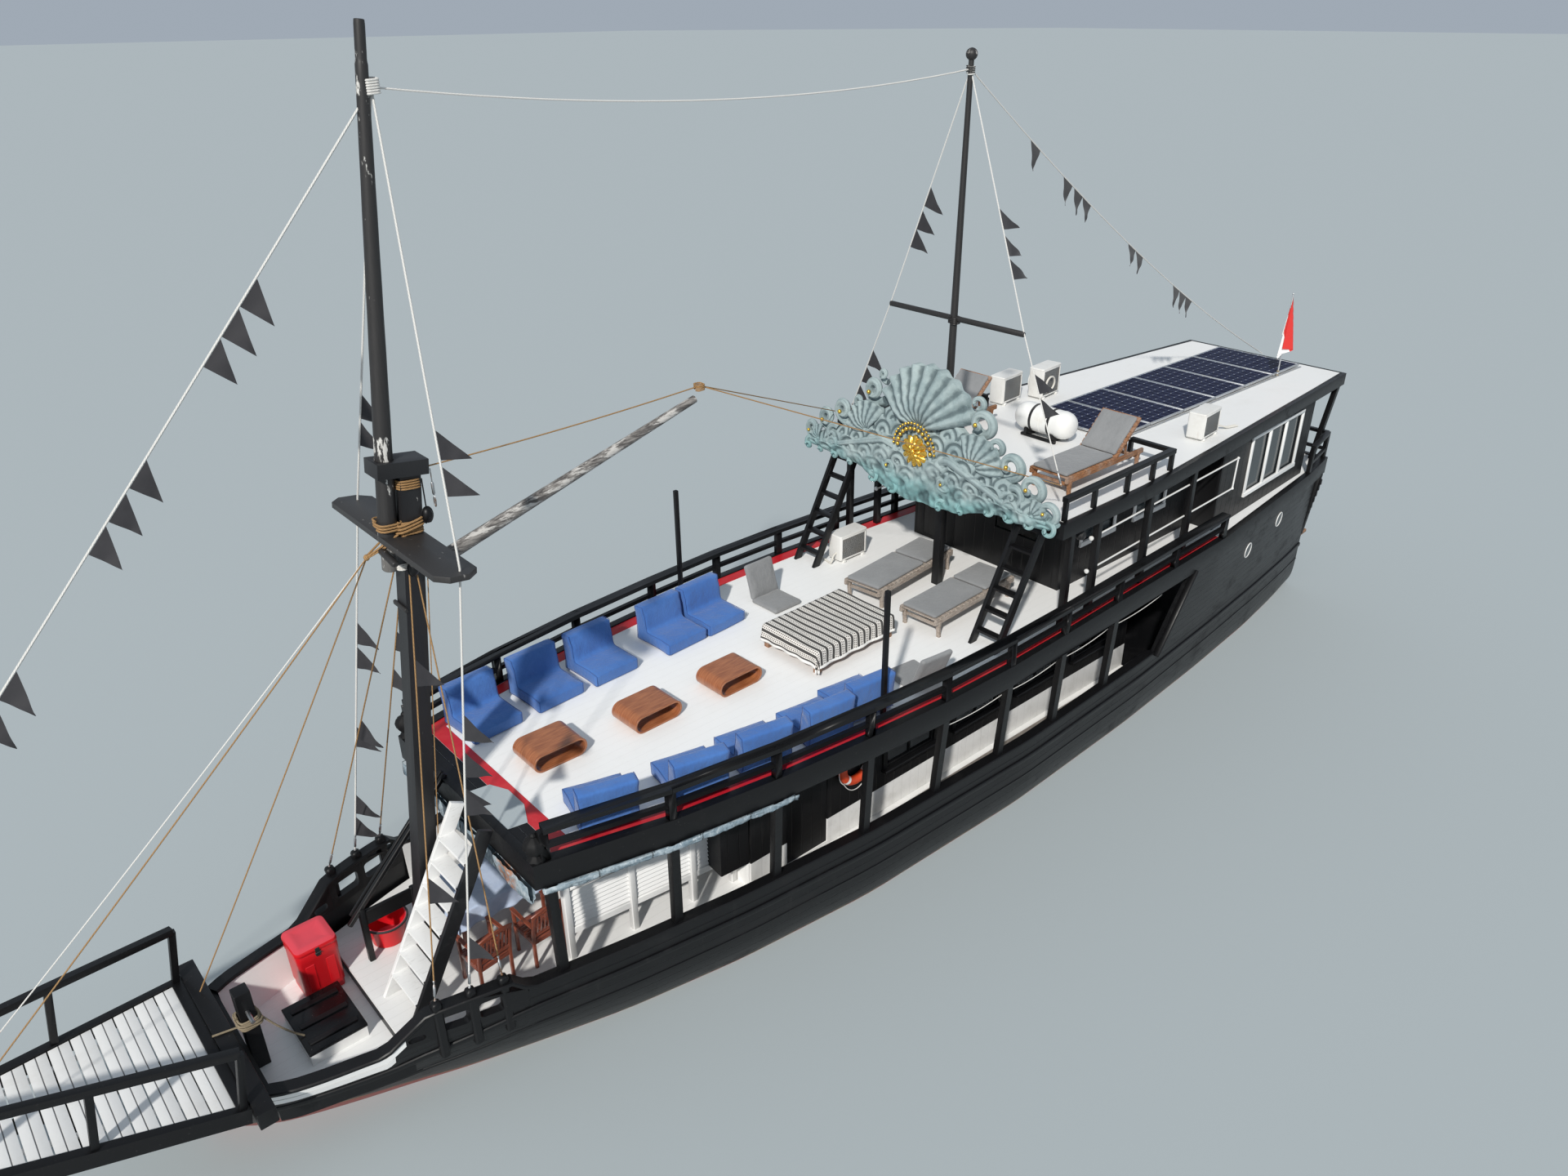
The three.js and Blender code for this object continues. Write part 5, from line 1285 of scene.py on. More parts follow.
def turned_about(skins, x, y, floor, turn):
    """Skins made about the origin, turned about the vertical and set on a floor."""
    c, s = math.cos(turn), math.sin(turn)
    spin = np.array(((c, s, 0), (-s, c, 0), (0, 0, 1)))
    return [(points @ spin + (x, y, floor), quads, caps, cmap) for points, quads, caps, cmap in skins]


def ring_line(centre, radius, thick, count=36):
    """A thin closed ring standing upright across y."""
    turn = np.linspace(0, 2 * np.pi, count + 1)[:-1]
    ring = np.stack((radius * np.cos(turn), 0 * turn, radius * np.sin(turn)), 1) + centre
    circle = round_section(thick, 6)
    out = np.stack((np.cos(turn), 0 * turn, np.sin(turn)), 1)
    grid = ring[:, None] + circle[None, :, :1] * out[:, None] + circle[None, :, 1:] * np.array((0, 1, 0))
    return skin(np.concatenate((grid, grid[:1]), 0), True)


FAN_X = 0.06
BACK_Y = 0.144


def fan_middle(height):
    """Height of the fan's middle in a casing of this height."""
    return height / 2 + 0.005


def casing_skins(height):
    """The casing with its lid, feet, corner cover, the frame round its fins and the round mouth's rim."""
    body = box_loft(-0.2965, 0.2965, -0.1415, 0.1415, [
        (0.004, 0.042), (0.0, 0.048), (0.0, height - 0.030), (-0.0035, height - 0.028),
        (-0.0035, height - 0.012), (0.004, height - 0.003), (0.03, height - 0.001)], 0.03, 4)
    feet = [plank((x, -0.158, 0.021), (x, 0.158, 0.021), 0.055, 0.04, 0.006) for x in (-0.21, 0.21)]
    cover = plank((-0.235, -0.143, 0.06), (-0.235, -0.143, height - 0.04), 0.004, 0.11, 0.002, (0, 1, 0))
    rim = ring_line((FAN_X, -0.144, fan_middle(height)), height / 2 - 0.045, 0.009)
    low, high = 0.065, height - 0.045
    left, right = -0.245, 0.275
    bars = [plank((x, BACK_Y, low), (x, BACK_Y, high), 0.012, 0.020, 0.003, (0, 1, 0)) for x in (left, right)]
    bars += [plank((left, BACK_Y, z), (right, BACK_Y, z), 0.012, 0.020, 0.003) for z in (low, high)]
    return [body, *feet, cover, rim, *bars]


def fan_skins(height):
    """The mouth and hub, a dark disc for the fan and the painted shade behind the guard, and the fins on the
    back, dark partly with painted shade between them.
    """
    turn = np.linspace(0, 2 * np.pi, 33)[:-1]
    middle, reach = fan_middle(height), height / 2 - 0.05
    mouth = np.stack([np.stack((FAN_X + r * np.cos(turn), 0 * turn - y, middle + r * np.sin(turn)), 1)
                      for r, y in ((reach, 0.1425), (reach, 0.1445), (0.02, 0.1450), (0.02, 0.1425))])
    fins = [plank((-0.235, 0.1425, z), (0.265, 0.1425, z), 0.006, 0.008, 0.001)
            for z in np.arange(0.08, height - 0.05, 0.016)]
    return [skin(mouth, True, True)] + fins


def guard_skins(height):
    """Concentric rings of wire over the mouth, tied by spokes."""
    middle, reach = fan_middle(height), height / 2 - 0.045
    rings = [ring_line((FAN_X, -0.150, middle), r, 0.003, 32) for r in np.arange(0.03, reach, 0.026)]
    spokes = []
    for t in np.arange(0.3, 6.5, math.pi / 4):
        ends = [(FAN_X + a * math.cos(t), -0.148, middle + a * math.sin(t)) for a in (0.02, reach)]
        spokes.append(round_bar(ends, 0.003, 6, (0, 1, 0)))
    return rings + spokes


for node, x, y, level, turn, height in UNITS:
    stand = (x, y, level, turn)
    piece(f"{node}_casing", turned_about(casing_skins(height), *stand), ENAMEL, replaces=(node,),
          slot="casing")
    piece(f"{node}_fan", turned_about(fan_skins(height), *stand), FINS_AND_SHADE)
    piece(f"{node}_guard", turned_about(guard_skins(height), *stand), ENAMEL)
LAGGING = plastic("pale_lagging", (0.62, 0.60, 0.55), (0.70, 0.68, 0.62), 0.6)
loop = np.linspace(-0.4, 6.6, 44)
piece("unit_pipes", [
    round_bar(np.stack((-4.68 + 0.13 * np.cos(loop), -1.21 + 0.02 * np.cos(loop * 0.5),
                        4.66 + 0.13 * np.sin(loop)), 1),
              0.018, 10, (0, 1, 0)),
    *[round_bar(along_line([(-5.18, y, 4.52), (-5.30, y + 0.02, 4.50), (-5.50, y + 0.10, 4.424),
                            (-5.72, y + 0.16, 4.422)], 24),
                0.014, 10) for y in (1.58, 1.62)],
    round_bar(along_line([(0.17, -1.50, 2.85), (0.27, -1.47, 2.84), (0.30, -1.47, 2.722),
                          (0.26, -1.7, 2.722), (0.2, -2.1, 2.722)], 30),
              0.016, 10),
], LAGGING)


# Roof tank: a white fibreglass drum with rounded ends, laid across the roof in a timber cradle. Two black
# straps bind it down.
def fibreglass():
    """White gelcoat, slightly yellow in patches."""
    f = Finish("fibreglass")
    patch = f.noise(f.place(), 3.0, 5.0, 0.65)
    return f.done(f.mix(f.step(patch, 0.5, 0.8) * 0.4, (0.80, 0.80, 0.78), (0.62, 0.58, 0.50)),
                  0.28 + patch * 0.12, f.noise(f.place(), 16.0, 3.0), 0.001)


TANK = np.array((-3.02, -0.05, 4.68))
at = np.linspace(-1, 1, 33)
domed, bend = np.abs(at) > 0.5, (np.abs(at) - 0.5) * np.pi
dome = np.where(domed, np.sign(at) * 0.225 * np.sin(bend), 0)
reach = np.sign(at) * np.minimum(1, np.abs(at) / 0.5) * 0.32 + dome
girth = np.where(domed, np.cos(bend), 1.0)
girth = 0.0045 + 0.220 * np.clip(girth, 0, 1) ** 0.8 - 0.006 * (np.abs(at) < 0.46)
drum = TANK + np.stack((0 * reach, reach, 0 * reach), 1)
piece("roof_tank_drum", [
    round_bar(drum, girth, 32),
    round_bar([TANK + (0, -0.005, 0), TANK + (0, 0.005, 0)], 0.2245, 32),
], fibreglass(), replaces=("roof_tank",), slot="tank_plastic", smooth=35)
piece("tank_straps", [
    skin(np.stack([TANK + np.stack((r * np.cos(t), 0 * t + y, r * np.sin(t)), 1)
                   for r, y in ((0.2155, a - 0.022), (0.2245, a - 0.022), (0.2245, a + 0.022),
                                (0.2155, a + 0.022))], 1), False, True)
    for a in (-0.17, 0.17) for t in (np.linspace(-0.9, np.pi + 0.9, 40),)
], BLACK_RUBBER)
piece("tank_cradle", [
    plank(TANK + (-0.2, a, -0.205), TANK + (0.2, a, -0.205), 0.06, 0.14, 0.01) for a in (-0.24, 0.24)
] + [
    plank(TANK + (a, -0.33, -0.2545), TANK + (a, 0.33, -0.2545), 0.05, 0.05, 0.008) for a in (-0.17, 0.17)
], BLACK_TIMBER)


# Loungers: teak frames grey or brown with age, screwed together, with slats, bowed feet and a reclining
# back on a prop.
def aged_teak(name, tint, dark):
    """Unvarnished teak: long grain, grey bloom where it faces up."""
    f = Finish(name)
    place = f.place()
    grain = f.noise(f.place((2.0, 14.0, 14.0)), 4.0, 6.0, 0.7)
    bloom = f.step(f.noise(place, 4.0, 4.0, 0.6), 0.4, 0.7)
    shade = f.mix(f.step(grain, 0.3, 0.7), dark, tint)
    return f.done(f.mix(bloom * 0.35, shade, (0.42, 0.38, 0.34)), 0.72, grain, 0.0015)


GREY_TEAK = aged_teak("grey_teak", (0.42, 0.36, 0.31), (0.20, 0.16, 0.13))
BROWN_TEAK = aged_teak("brown_teak", (0.36, 0.17, 0.075), (0.16, 0.065, 0.028))
LOUNGERS = (  # node, foot x, middle y, floor, slope of the back, turn
    ("lounger_roof_port", -1.15, 1.38, ROOF_TOP, 0.75, 0.0),
    ("lounger_roof_starboard", -1.15, -1.38, ROOF_TOP, 0.75, 0.0),
    ("lounger_deck_port", 0.90, 0.89, UPPER_DECK, 0.0, 0.07),
    ("lounger_deck_starboard", 0.88, -0.235, UPPER_DECK, 0.0, 0.117),
)
LOUNGER_HINGE, LOUNGER_BACK, LOUNGER_SEAT = -1.18, 0.72, 0.32
SLAT_HALF, SLAT_PITCH = 0.325, 0.092
LEG_Y, LEG_X = 0.30, (-0.11, -1.79)


def back_point(along, slope, lift=0.0):
    """A point on the back, at a distance from the hinge and a lift square to it."""
    return (LOUNGER_HINGE + 0.01 - along * math.cos(slope) + lift * math.sin(slope),
            LOUNGER_SEAT - 0.025 + along * math.sin(slope) + lift * math.cos(slope))


def lounger_frame(slope):
    """Side rails, bowed legs with cross bars, slats on the seat and on the back."""
    parts = []
    for s in (1, -1):
        parts.append(plank((-1.895, s * 0.305, 0.25), (-0.005, s * 0.305, 0.25), 0.045, 0.075, 0.008))
        for x in LEG_X:
            line = [(x, s * LEG_Y, 0.262), (x + 0.012, s * LEG_Y, 0.16), (x - 0.006, s * LEG_Y, 0.0005)]
            swell = (1.15, 1.1, 1.0, 0.92, 0.88, 0.88, 0.9, 0.95)
            leg = carry(plank_section(0.062, 0.055, 0.01), along_line(line, 8), swell, (1, 0, 0))
            parts.append(skin(leg, True, True))
    for x in LEG_X:
        parts.append(plank((x, -0.29, 0.17), (x, 0.29, 0.17), 0.03, 0.05, 0.006))
    for x in np.arange(-0.045, LOUNGER_HINGE + 0.03, -SLAT_PITCH):
        parts.append(plank((x, -SLAT_HALF, 0.298), (x, SLAT_HALF, 0.298), 0.075, 0.02, 0.005))
    for along in np.arange(0.05, LOUNGER_BACK, SLAT_PITCH):
        x, z = back_point(along, slope)
        up = (math.sin(slope), 0, math.cos(slope))
        parts.append(plank((x, -SLAT_HALF, z), (x, SLAT_HALF, z), 0.075, 0.02, 0.005, up))
    a, b = back_point(0.0, slope, -0.018), back_point(LOUNGER_BACK, slope, -0.018)
    for y in (LEG_Y, -LEG_Y):
        parts.append(plank((a[0], y, a[1]), (b[0], y, b[1]), 0.05, 0.03, 0.006))
    if slope:
        foot, top = (LOUNGER_HINGE - 0.36, 0.25), back_point(0.44, slope, -0.03)
        for y in (0.24, -0.24):
            parts.append(plank((foot[0], y, foot[1]), (top[0], y, top[1]), 0.03, 0.035, 0.006, (0, 1, 0)))
    return parts


for node, x, y, level, slope, turn in LOUNGERS:
    timber = BROWN_TEAK if slope else GREY_TEAK
    piece(f"{node}_frame", turned_about(lounger_frame(slope), x, y, level, turn), timber, replaces=(node,),
          slot="varnished_wood")


# Crest: a carved and coloured relief that stands across the roof's front edge. Its motifs are the
# builder's own: wave scales, scallop shells and breaking-wave scrolls round a gilded rosette.
def verdigris():
    """Matt grey-green paint, turquoise low down, with pale dust on top of the ridges; painted shade darkens
    the cuts.
    The map's second number is 0 in a cut and 1 on a ridge."""
    f = Finish("verdigris")
    place = f.place()
    z = f.parts(place)[2]
    ridge = f.parts(f.map())[1]
    cloud = f.noise(place, 2.6, 6.0, 0.68)
    fine = f.noise(place, 16.0, 5.0, 0.7)
    low = f.step(z + cloud * 0.5, 4.50, 4.98, 1.0, 0.0)
    shade = f.mix(f.step(cloud, 0.32, 0.68), (0.225, 0.295, 0.305), (0.355, 0.430, 0.430))
    shade = f.mix(low * 0.75, shade, (0.19, 0.42, 0.42))
    shade = f.mix(f.step(fine, 0.55, 0.75) * 0.45, shade, (0.42, 0.55, 0.55))
    # Painted shade: the cuts, where the map's second number is low, are darkened towards near-black.
    cut = f.step(ridge + (fine - 0.5) * 0.4, 0.10, 0.55, 1.0, 0.0)
    shade = f.mix(cut * 0.75, shade, (0.035, 0.060, 0.070))
    return f.done(shade, 0.80, fine * 0.6 + cloud * 0.4, 0.012)


def gold_leaf():
    """Gilding, warm and slightly rubbed."""
    f = Finish("gold_leaf")
    rub = f.step(f.noise(f.place(), 14.0, 5.0, 0.7), 0.55, 0.75)
    return f.done(f.mix(rub, (0.83, 0.52, 0.09), (0.42, 0.22, 0.04)), 0.26 + rub * 0.35, rub, 0.002,
                  Metallic=0.9)


VERDIGRIS = verdigris()
GOLD_LEAF = gold_leaf()


def carved(points, ridge, around=True, ends=True):
    """A skin whose map's second number is the ridge share at each point."""
    points = np.asarray(points, float)
    out, quads, caps, _ = skin(points, around, ends)
    value = np.broadcast_to(ridge, points.shape[:2]).ravel()
    return out, quads, caps, np.stack((0 * value, value), 1)[quads].reshape(-1, 2)


def rumple(y, z, scale, seed):
    """Smooth unevenness from -1 to 1: a mean of sine waves in seven directions."""
    random = np.random.default_rng(seed)
    angle, phase = random.uniform(0, 2 * np.pi, (2, 7))
    size = scale * random.uniform(0.6, 2.2, 7)
    return sum(np.sin((y * np.cos(a) + z * np.sin(a)) * k + p) for a, p, k in zip(angle, phase, size)) / 3.2


BANK_LOW = [(0, 4.15), (0.45, 4.17), (0.9, 4.25), (1.15, 4.375), (1.8, 4.40), (2.25, 4.44), (2.36, 4.50)]
BANK_TOP = [(0, 5.50), (0.6, 5.46), (1.0, 5.22), (1.45, 4.98), (1.9, 4.78), (2.2, 4.63), (2.36, 4.55)]


def wave_bank():
    """The ground of the relief: between the two outlines, its face is a bulge with rows of wave scales cut
    in it. A scale is a set of rings round the foot of its own cell, and each row is shifted by half a
    cell."""
    y = np.linspace(-2.36, 2.36, 261)
    v = np.linspace(0, 1, 64)
    torn = 0.03 * rumple(y, 0, 9.0, 3) * np.clip(2.3 - abs(y), 0, 1)
    foot = np.interp(abs(y), *np.transpose(BANK_LOW)) + torn
    head = np.interp(abs(y), *np.transpose(BANK_TOP))
    z = foot[:, None] + (head - foot)[:, None] * v
    wide = y[:, None] + 0 * v
    rows = (z - 4.1) / 0.20 + 0.25 * abs(wide)
    row = np.floor(rows)
    cell = wide / 0.34 + 0.5 * (row % 2)
    reach = np.hypot((cell - np.floor(cell) - 0.5) * 1.75, rows - row)
    scale_ridge = 0.5 + 0.5 * np.cos(np.minimum(reach, 1.2) * 2 * np.pi * 1.9)
    rough = rumple(wide, z, 11.0, 5) * 0.6 + rumple(wide, z, 26.0, 6) * 0.4
    foam = np.clip(1.3 - 2.2 * v + 0.4 * rumple(wide, z, 4.0, 8), 0, 1)
    ridge = scale_ridge * (1 - foam) + (0.5 + 0.5 * rough) * foam
    bulge = np.sin(np.pi * (0.06 + 0.90 * v)) ** 0.6 * np.clip((2.42 - abs(wide)) / 0.5, 0.05, 1) ** 0.5
    front = -0.06 + 0.15 * bulge + 0.05 * ridge * bulge + 0.035 * foam * rough * bulge
    back = -0.10 - 0.12 * bulge - 0.015 * rumple(wide, z, 7.0, 9)
    grid = np.concatenate((np.stack((front, wide, z), -1), np.stack((back, wide, z), -1)[:, ::-1]), 1)
    return [carved(grid, np.concatenate((ridge, 0.6 + 0 * ridge), 1))]


def scallop(centre, radius, spread, ribs, tilt=0.0, lean=0.25):
    """A fan of ribs about its foot: out from the foot the shell swells and then flares forward, and its
    edge steps out at each rib."""
    angle = np.linspace(-spread, spread, ribs * 10 + 1)[:, None]
    out = np.concatenate((np.linspace(0.06, 1.0, 26), np.linspace(1.0, 0.06, 10)))[None]
    rear = np.concatenate((np.zeros(26), np.ones(10)))[None]
    beat = 0.5 + 0.5 * np.cos(angle / spread * ribs * np.pi)
    step = 1 + 0.055 * beat * out ** 4
    rings = 0.5 + 0.5 * np.cos(out * 34)
    swell = 0.30 * np.sin(np.pi * out ** 0.75) + 0.10 * out ** 6
    face = radius * (swell + 0.085 * beat * out - lean * out * 0.4 + 0.012 * rings)
    x = face * (1 - rear) + rear * radius * (swell - 0.09 - lean * out * 0.4)
    side, rise = out * step * np.sin(angle) * radius, out * step * np.cos(angle) * radius
    y = side * math.cos(tilt) + rise * math.sin(tilt)
    z = rise * math.cos(tilt) - side * math.sin(tilt)
    ridge = (0.15 + 0.85 * beat) * (1 - 0.25 * rings) * (1 - rear) + 0.6 * rear
    return carved(np.stack((x, y, z), -1) + np.asarray(centre), ridge)


def scroll(centre, radius, thick, start, twist, turns=1.5, forward=0.10):
    """A breaking wave's curl: a tapering stem on a spiral that closes on its centre and comes forward."""
    t = np.linspace(0, 1, 60)
    angle = start + twist * turns * 2 * np.pi * t ** 0.9
    away = radius * (1 - t) ** 1.15 + radius * 0.04
    path = np.stack((forward * t, away * np.cos(angle), away * np.sin(angle)), 1) + np.asarray(centre)
    size = thick * (0.25 + 0.75 * (1 - t) ** 0.8)
    grid = carve_round(path, size)
    return grid, path[-1]


def carve_round(path, size, ribs=5):
    """A stem along a path whose round section has shallow ribs along it."""
    turn = np.arange(25) * 2 * np.pi / 25
    beat = 0.5 + 0.5 * np.cos(turn * ribs)
    section = np.stack(((0.88 + 0.12 * beat) * np.cos(turn), (0.88 + 0.12 * beat) * np.sin(turn)), 1)
    return carved(carry(section, path, size, (1, 0, 0)), 0.35 + 0.65 * beat + 0 * size[:, None])


def rosette(centre, radius, petals, rise):
    """Petals round a centre, on a face square to the bow: height falls from the middle and dips between
    petals."""
    angle = np.linspace(0, 2 * np.pi, petals * 8 + 1)[:-1][:, None]
    out = np.concatenate((np.linspace(1, 0.02, 14), np.linspace(0.02, 1, 4)))[None]
    rear = np.concatenate((np.zeros(14), np.ones(4)))[None]
    beat = np.abs(np.cos(angle * petals / 2)) ** 0.7
    edge = radius * (0.78 + 0.22 * beat)
    x = rise * (1 - rear) * (np.sin(np.pi * (0.15 + 0.75 * out)) * (0.45 + 0.55 * beat))
    grid = np.stack((x, out * edge * np.cos(angle), out * edge * np.sin(angle)), -1) + np.asarray(centre)
    return skin(np.concatenate((grid, grid[:1]), 0), True)


SCROLLS = (  # y, z, radius, thickness, start angle, twist, turns, x, forward
    (2.22, 4.70, 0.165, 0.062, -2.4, 1, 1.5, -0.06, 0.16),
    (1.92, 4.94, 0.185, 0.072, -2.2, 1, 1.5, -0.10, 0.20),
    (1.56, 5.15, 0.185, 0.078, -2.0, 1, 1.4, -0.08, 0.16),
    (1.27, 5.34, 0.120, 0.055, -2.2, 1, 1.3, -0.12, 0.18),
    (0.99, 5.58, 0.190, 0.078, -2.4, 1, 1.6, -0.16, 0.22),
    (0.86, 5.82, 0.105, 0.048, -1.8, 1, 1.2, -0.18, 0.14),
    (2.28, 4.46, 0.100, 0.042, 2.3, -1, 1.4, -0.02, 0.14),
    (1.98, 4.46, 0.080, 0.036, 2.4, -1, 1.3, 0.00, 0.14),
    (1.66, 4.47, 0.095, 0.042, 2.2, -1, 1.4, 0.02, 0.13),
    (1.32, 4.44, 0.080, 0.038, 2.3, -1, 1.3, 0.02, 0.13),
    (0.86, 4.31, 0.085, 0.036, 0.8, 1, 1.3, 0.02, 0.13),
    (0.46, 4.25, 0.085, 0.036, 0.9, 1, 1.3, 0.03, 0.12),
    (1.72, 4.76, 0.130, 0.052, 2.2, -1, 1.5, 0.02, 0.12),
    (0.52, 4.62, 0.160, 0.062, 2.6, -1, 1.6, 0.03, 0.11),
)
stems, tips = [], []
for y, z, radius, thick, start, twist, turns_of, x, forward in SCROLLS:
    for s in (1, -1):
        mirrored = start if s > 0 else np.pi - start
        stem, tip = scroll((x, s * y, z), radius, thick, mirrored, s * twist, turns_of, forward)
        stems.append(stem)
        if radius > 0.15:
            tips.append(ball(tip + (0.004, 0, 0), thick * 0.40, 8))
shells = [scallop((-0.09, 0, 5.26), 0.86, 1.28, 9, 0.0, 0.30)]
shells += [scallop((-0.01, s * 1.00, 4.98), 0.44, 1.22, 7, s * 0.50, 0.10) for s in (1, -1)]
shells += [scallop((0.02, s * 2.02, 4.60), 0.22, 1.1, 5, s * 0.9, 0.05) for s in (1, -1)]
arms = [carve_round(along_line([(0.02, s * 0.25, 4.86), (0.10, s * 0.62, 4.98), (0.10, s * 1.15, 4.80),
                                (0.09, s * 1.55, 4.66), (0.07, s * 1.9, 4.62), (0.02, s * 2.2, 4.53)], 48),
                    np.linspace(0.075, 0.028, 48)) for s in (1, -1)]
piece("crest_carving", wave_bank() + shells + stems + arms, VERDIGRIS, replaces=("crest",),
      slot="verdigris_carving", smooth=60)
pearls = [ball((0.150, r * math.cos(a), 4.99 + r * math.sin(a)), size, 8)
          for r, size, count in ((0.31, 0.030, 13), (0.385, 0.020, 21))
          for a in np.linspace(0.05, np.pi - 0.05, count)]
piece("crest_gilding", [
    rosette((0.115, 0, 4.97), 0.235, 12, 0.055),
    rosette((0.135, 0, 4.97), 0.135, 8, 0.055),
    ball((0.165, 0, 4.97), 0.036, 12),
] + pearls + tips, GOLD_LEAF, slot="verdigris_carving")


# Sofas: ten loose foam seats, each one L of foam in a blue acrylic cover with welted side panels, stood
# side by side along both rails. The foam is blown up by the cloth solver, so every face is crowned.
SOFAS = {  # forward outer corner x and y, turn about the vertical
    "sofa_starboard": ((6.930, -1.490, 0.08), (6.000, -1.560, 0.08), (5.130, -1.600, 0.08),
                       (3.960, -1.610, 0.08), (3.225, -1.660, 0.08)),
    "sofa_port": ((6.850, 1.515, -0.28), (5.790, 1.780, -0.22), (4.910, 1.880, -0.18),
                  (3.980, 2.000, -0.11), (3.245, 1.960, -0.11)),
}
SOFA_WIDTH = 0.72
FOAM_SIDE = ((0.016, 0.014), (0.724, 0.014), (0.724, 0.188), (0.238, 0.188), (0.196, 0.556), (0.016, 0.556))
PRESSURE = 4.0
SWELL_FRAMES = 20


def woven(name, tint, pale, rough=0.85, crease=0.006):
    """Plain woven cloth: sun-paled patches, soft creases and a fine weave."""
    f = Finish(name)
    place = f.place()
    fade = f.step(f.noise(place, 1.7, 4.0, 0.6), 0.35, 0.75)
    weave = f.noise(f.place((1.0, 1.0, 2.2)), 260.0, 2.0, 0.5)
    folds = f.noise(f.place((1.0, 1.0, 0.7)), 7.0, 5.0, 0.62)
    shade = f.mix(fade * 0.6, tint, pale)
    shade = f.mix(weave * 0.18, shade, tuple(0.55 * part for part in tint))
    return f.done(shade, rough + weave * 0.1, folds + weave * 0.07, crease * 4, Sheen_Weight=0.25,
                  Specular_IOR_Level=0.25)


def swollen(name, skins, voxel, most):
    """Points and squares of a padded form. Its mesh is remade of even squares, and the cloth solver blows it
    up with gravity off, no point by more than the given reach. What lay on the floor stays flat there."""
    form = bpy.data.objects.new(name, mesh_of(name, skins))
    bpy.context.scene.collection.objects.link(form)
    even = form.modifiers.new("squares", "REMESH")
    even.mode = "VOXEL"
    even.voxel_size = voxel
    form.data = bpy.data.meshes.new_from_object(form.evaluated_get(bpy.context.evaluated_depsgraph_get()))
    form.modifiers.clear()
    start = read_points(form.data)
    squares = [tuple(face.vertices) for face in form.data.polygons]
    grown = start
    cloth = form.modifiers.new("swell", "CLOTH")
    cloth.settings.use_pressure = True
    cloth.settings.uniform_pressure_force = PRESSURE
    cloth.settings.effector_weights.gravity = 0.0
    cloth.point_cache.frame_end = SWELL_FRAMES
    for step in range(1, SWELL_FRAMES + 1):
        bpy.context.scene.frame_set(step)
    grown = read_points(form.evaluated_get(bpy.context.evaluated_depsgraph_get()).data)
    bpy.context.scene.frame_set(1)
    move = grown - start
    reach = np.linalg.norm(move, axis=1)[:, None]
    grown = start + move * np.minimum(1.0, most / np.maximum(reach, 1e-9))
    grown[:, 2] = np.maximum(grown[:, 2], 0.0008)
    bpy.data.objects.remove(form)
    return grown, squares


def read_points(mesh):
    """A mesh's points as rows of three numbers."""
    flat = np.zeros(len(mesh.vertices) * 3, np.float32)
    mesh.vertices.foreach_get("co", flat)
    return flat.reshape(-1, 3).astype(float)


def stood(points, x, y, level, turn, lean=0.0):
    """Points leant back about the cross axis, turned about the vertical and moved to their place."""
    points = np.asarray(points, float)
    along = points[..., 0] * math.cos(lean) + points[..., 2] * math.sin(lean)
    height = points[..., 2] * math.cos(lean) - points[..., 0] * math.sin(lean)
    return np.stack((x + along * math.cos(turn) - points[..., 1] * math.sin(turn),
                     y + along * math.sin(turn) + points[..., 1] * math.cos(turn), level + height), -1)


def padded(name, points, squares, finish, fill, levels=0, **kept):
    """A soft piece from swollen points and squares."""
    mesh = bpy.data.meshes.new(name)
    mesh.from_pydata(np.asarray(points).tolist(), [], squares)
    thing = finished(name, mesh, finish, smooth=180.0, **kept)
    if levels:
        softer = thing.modifiers.new("softer", "SUBSURF")
        softer.levels = softer.render_levels = levels
    return thing


def welt_loop(points, squares, outline, count):
    """A welt's path: a closed outline walked in even steps, each brought to the cover's nearest place."""
    cover = BVHTree.FromPolygons(points.tolist(), squares)
    walk = along_line([*outline, outline[0]], count)
    near = [cover.find_nearest(Vector(point)) for point in walk[:-1]]
    return np.array([place + normal * 0.001 for place, normal, _, _ in near])


def closed_cord(path, radius, count=6):
    """A thin round cord along a closed path."""
    ahead = np.roll(path, -1, 0) - np.roll(path, 1, 0)
    ahead /= np.linalg.norm(ahead, axis=1)[:, None]
    side = np.cross(ahead, path - path.mean(0))
    side /= np.linalg.norm(side, axis=1)[:, None]
    out = np.cross(side, ahead)
    turn = (np.arange(count) * 2 * np.pi / count)[:, None, None]
    rings = path + radius * (np.cos(turn) * side + np.sin(turn) * out)
    rings = np.swapaxes(rings, 0, 1)
    return skin(np.concatenate((rings, rings[:1])), True)


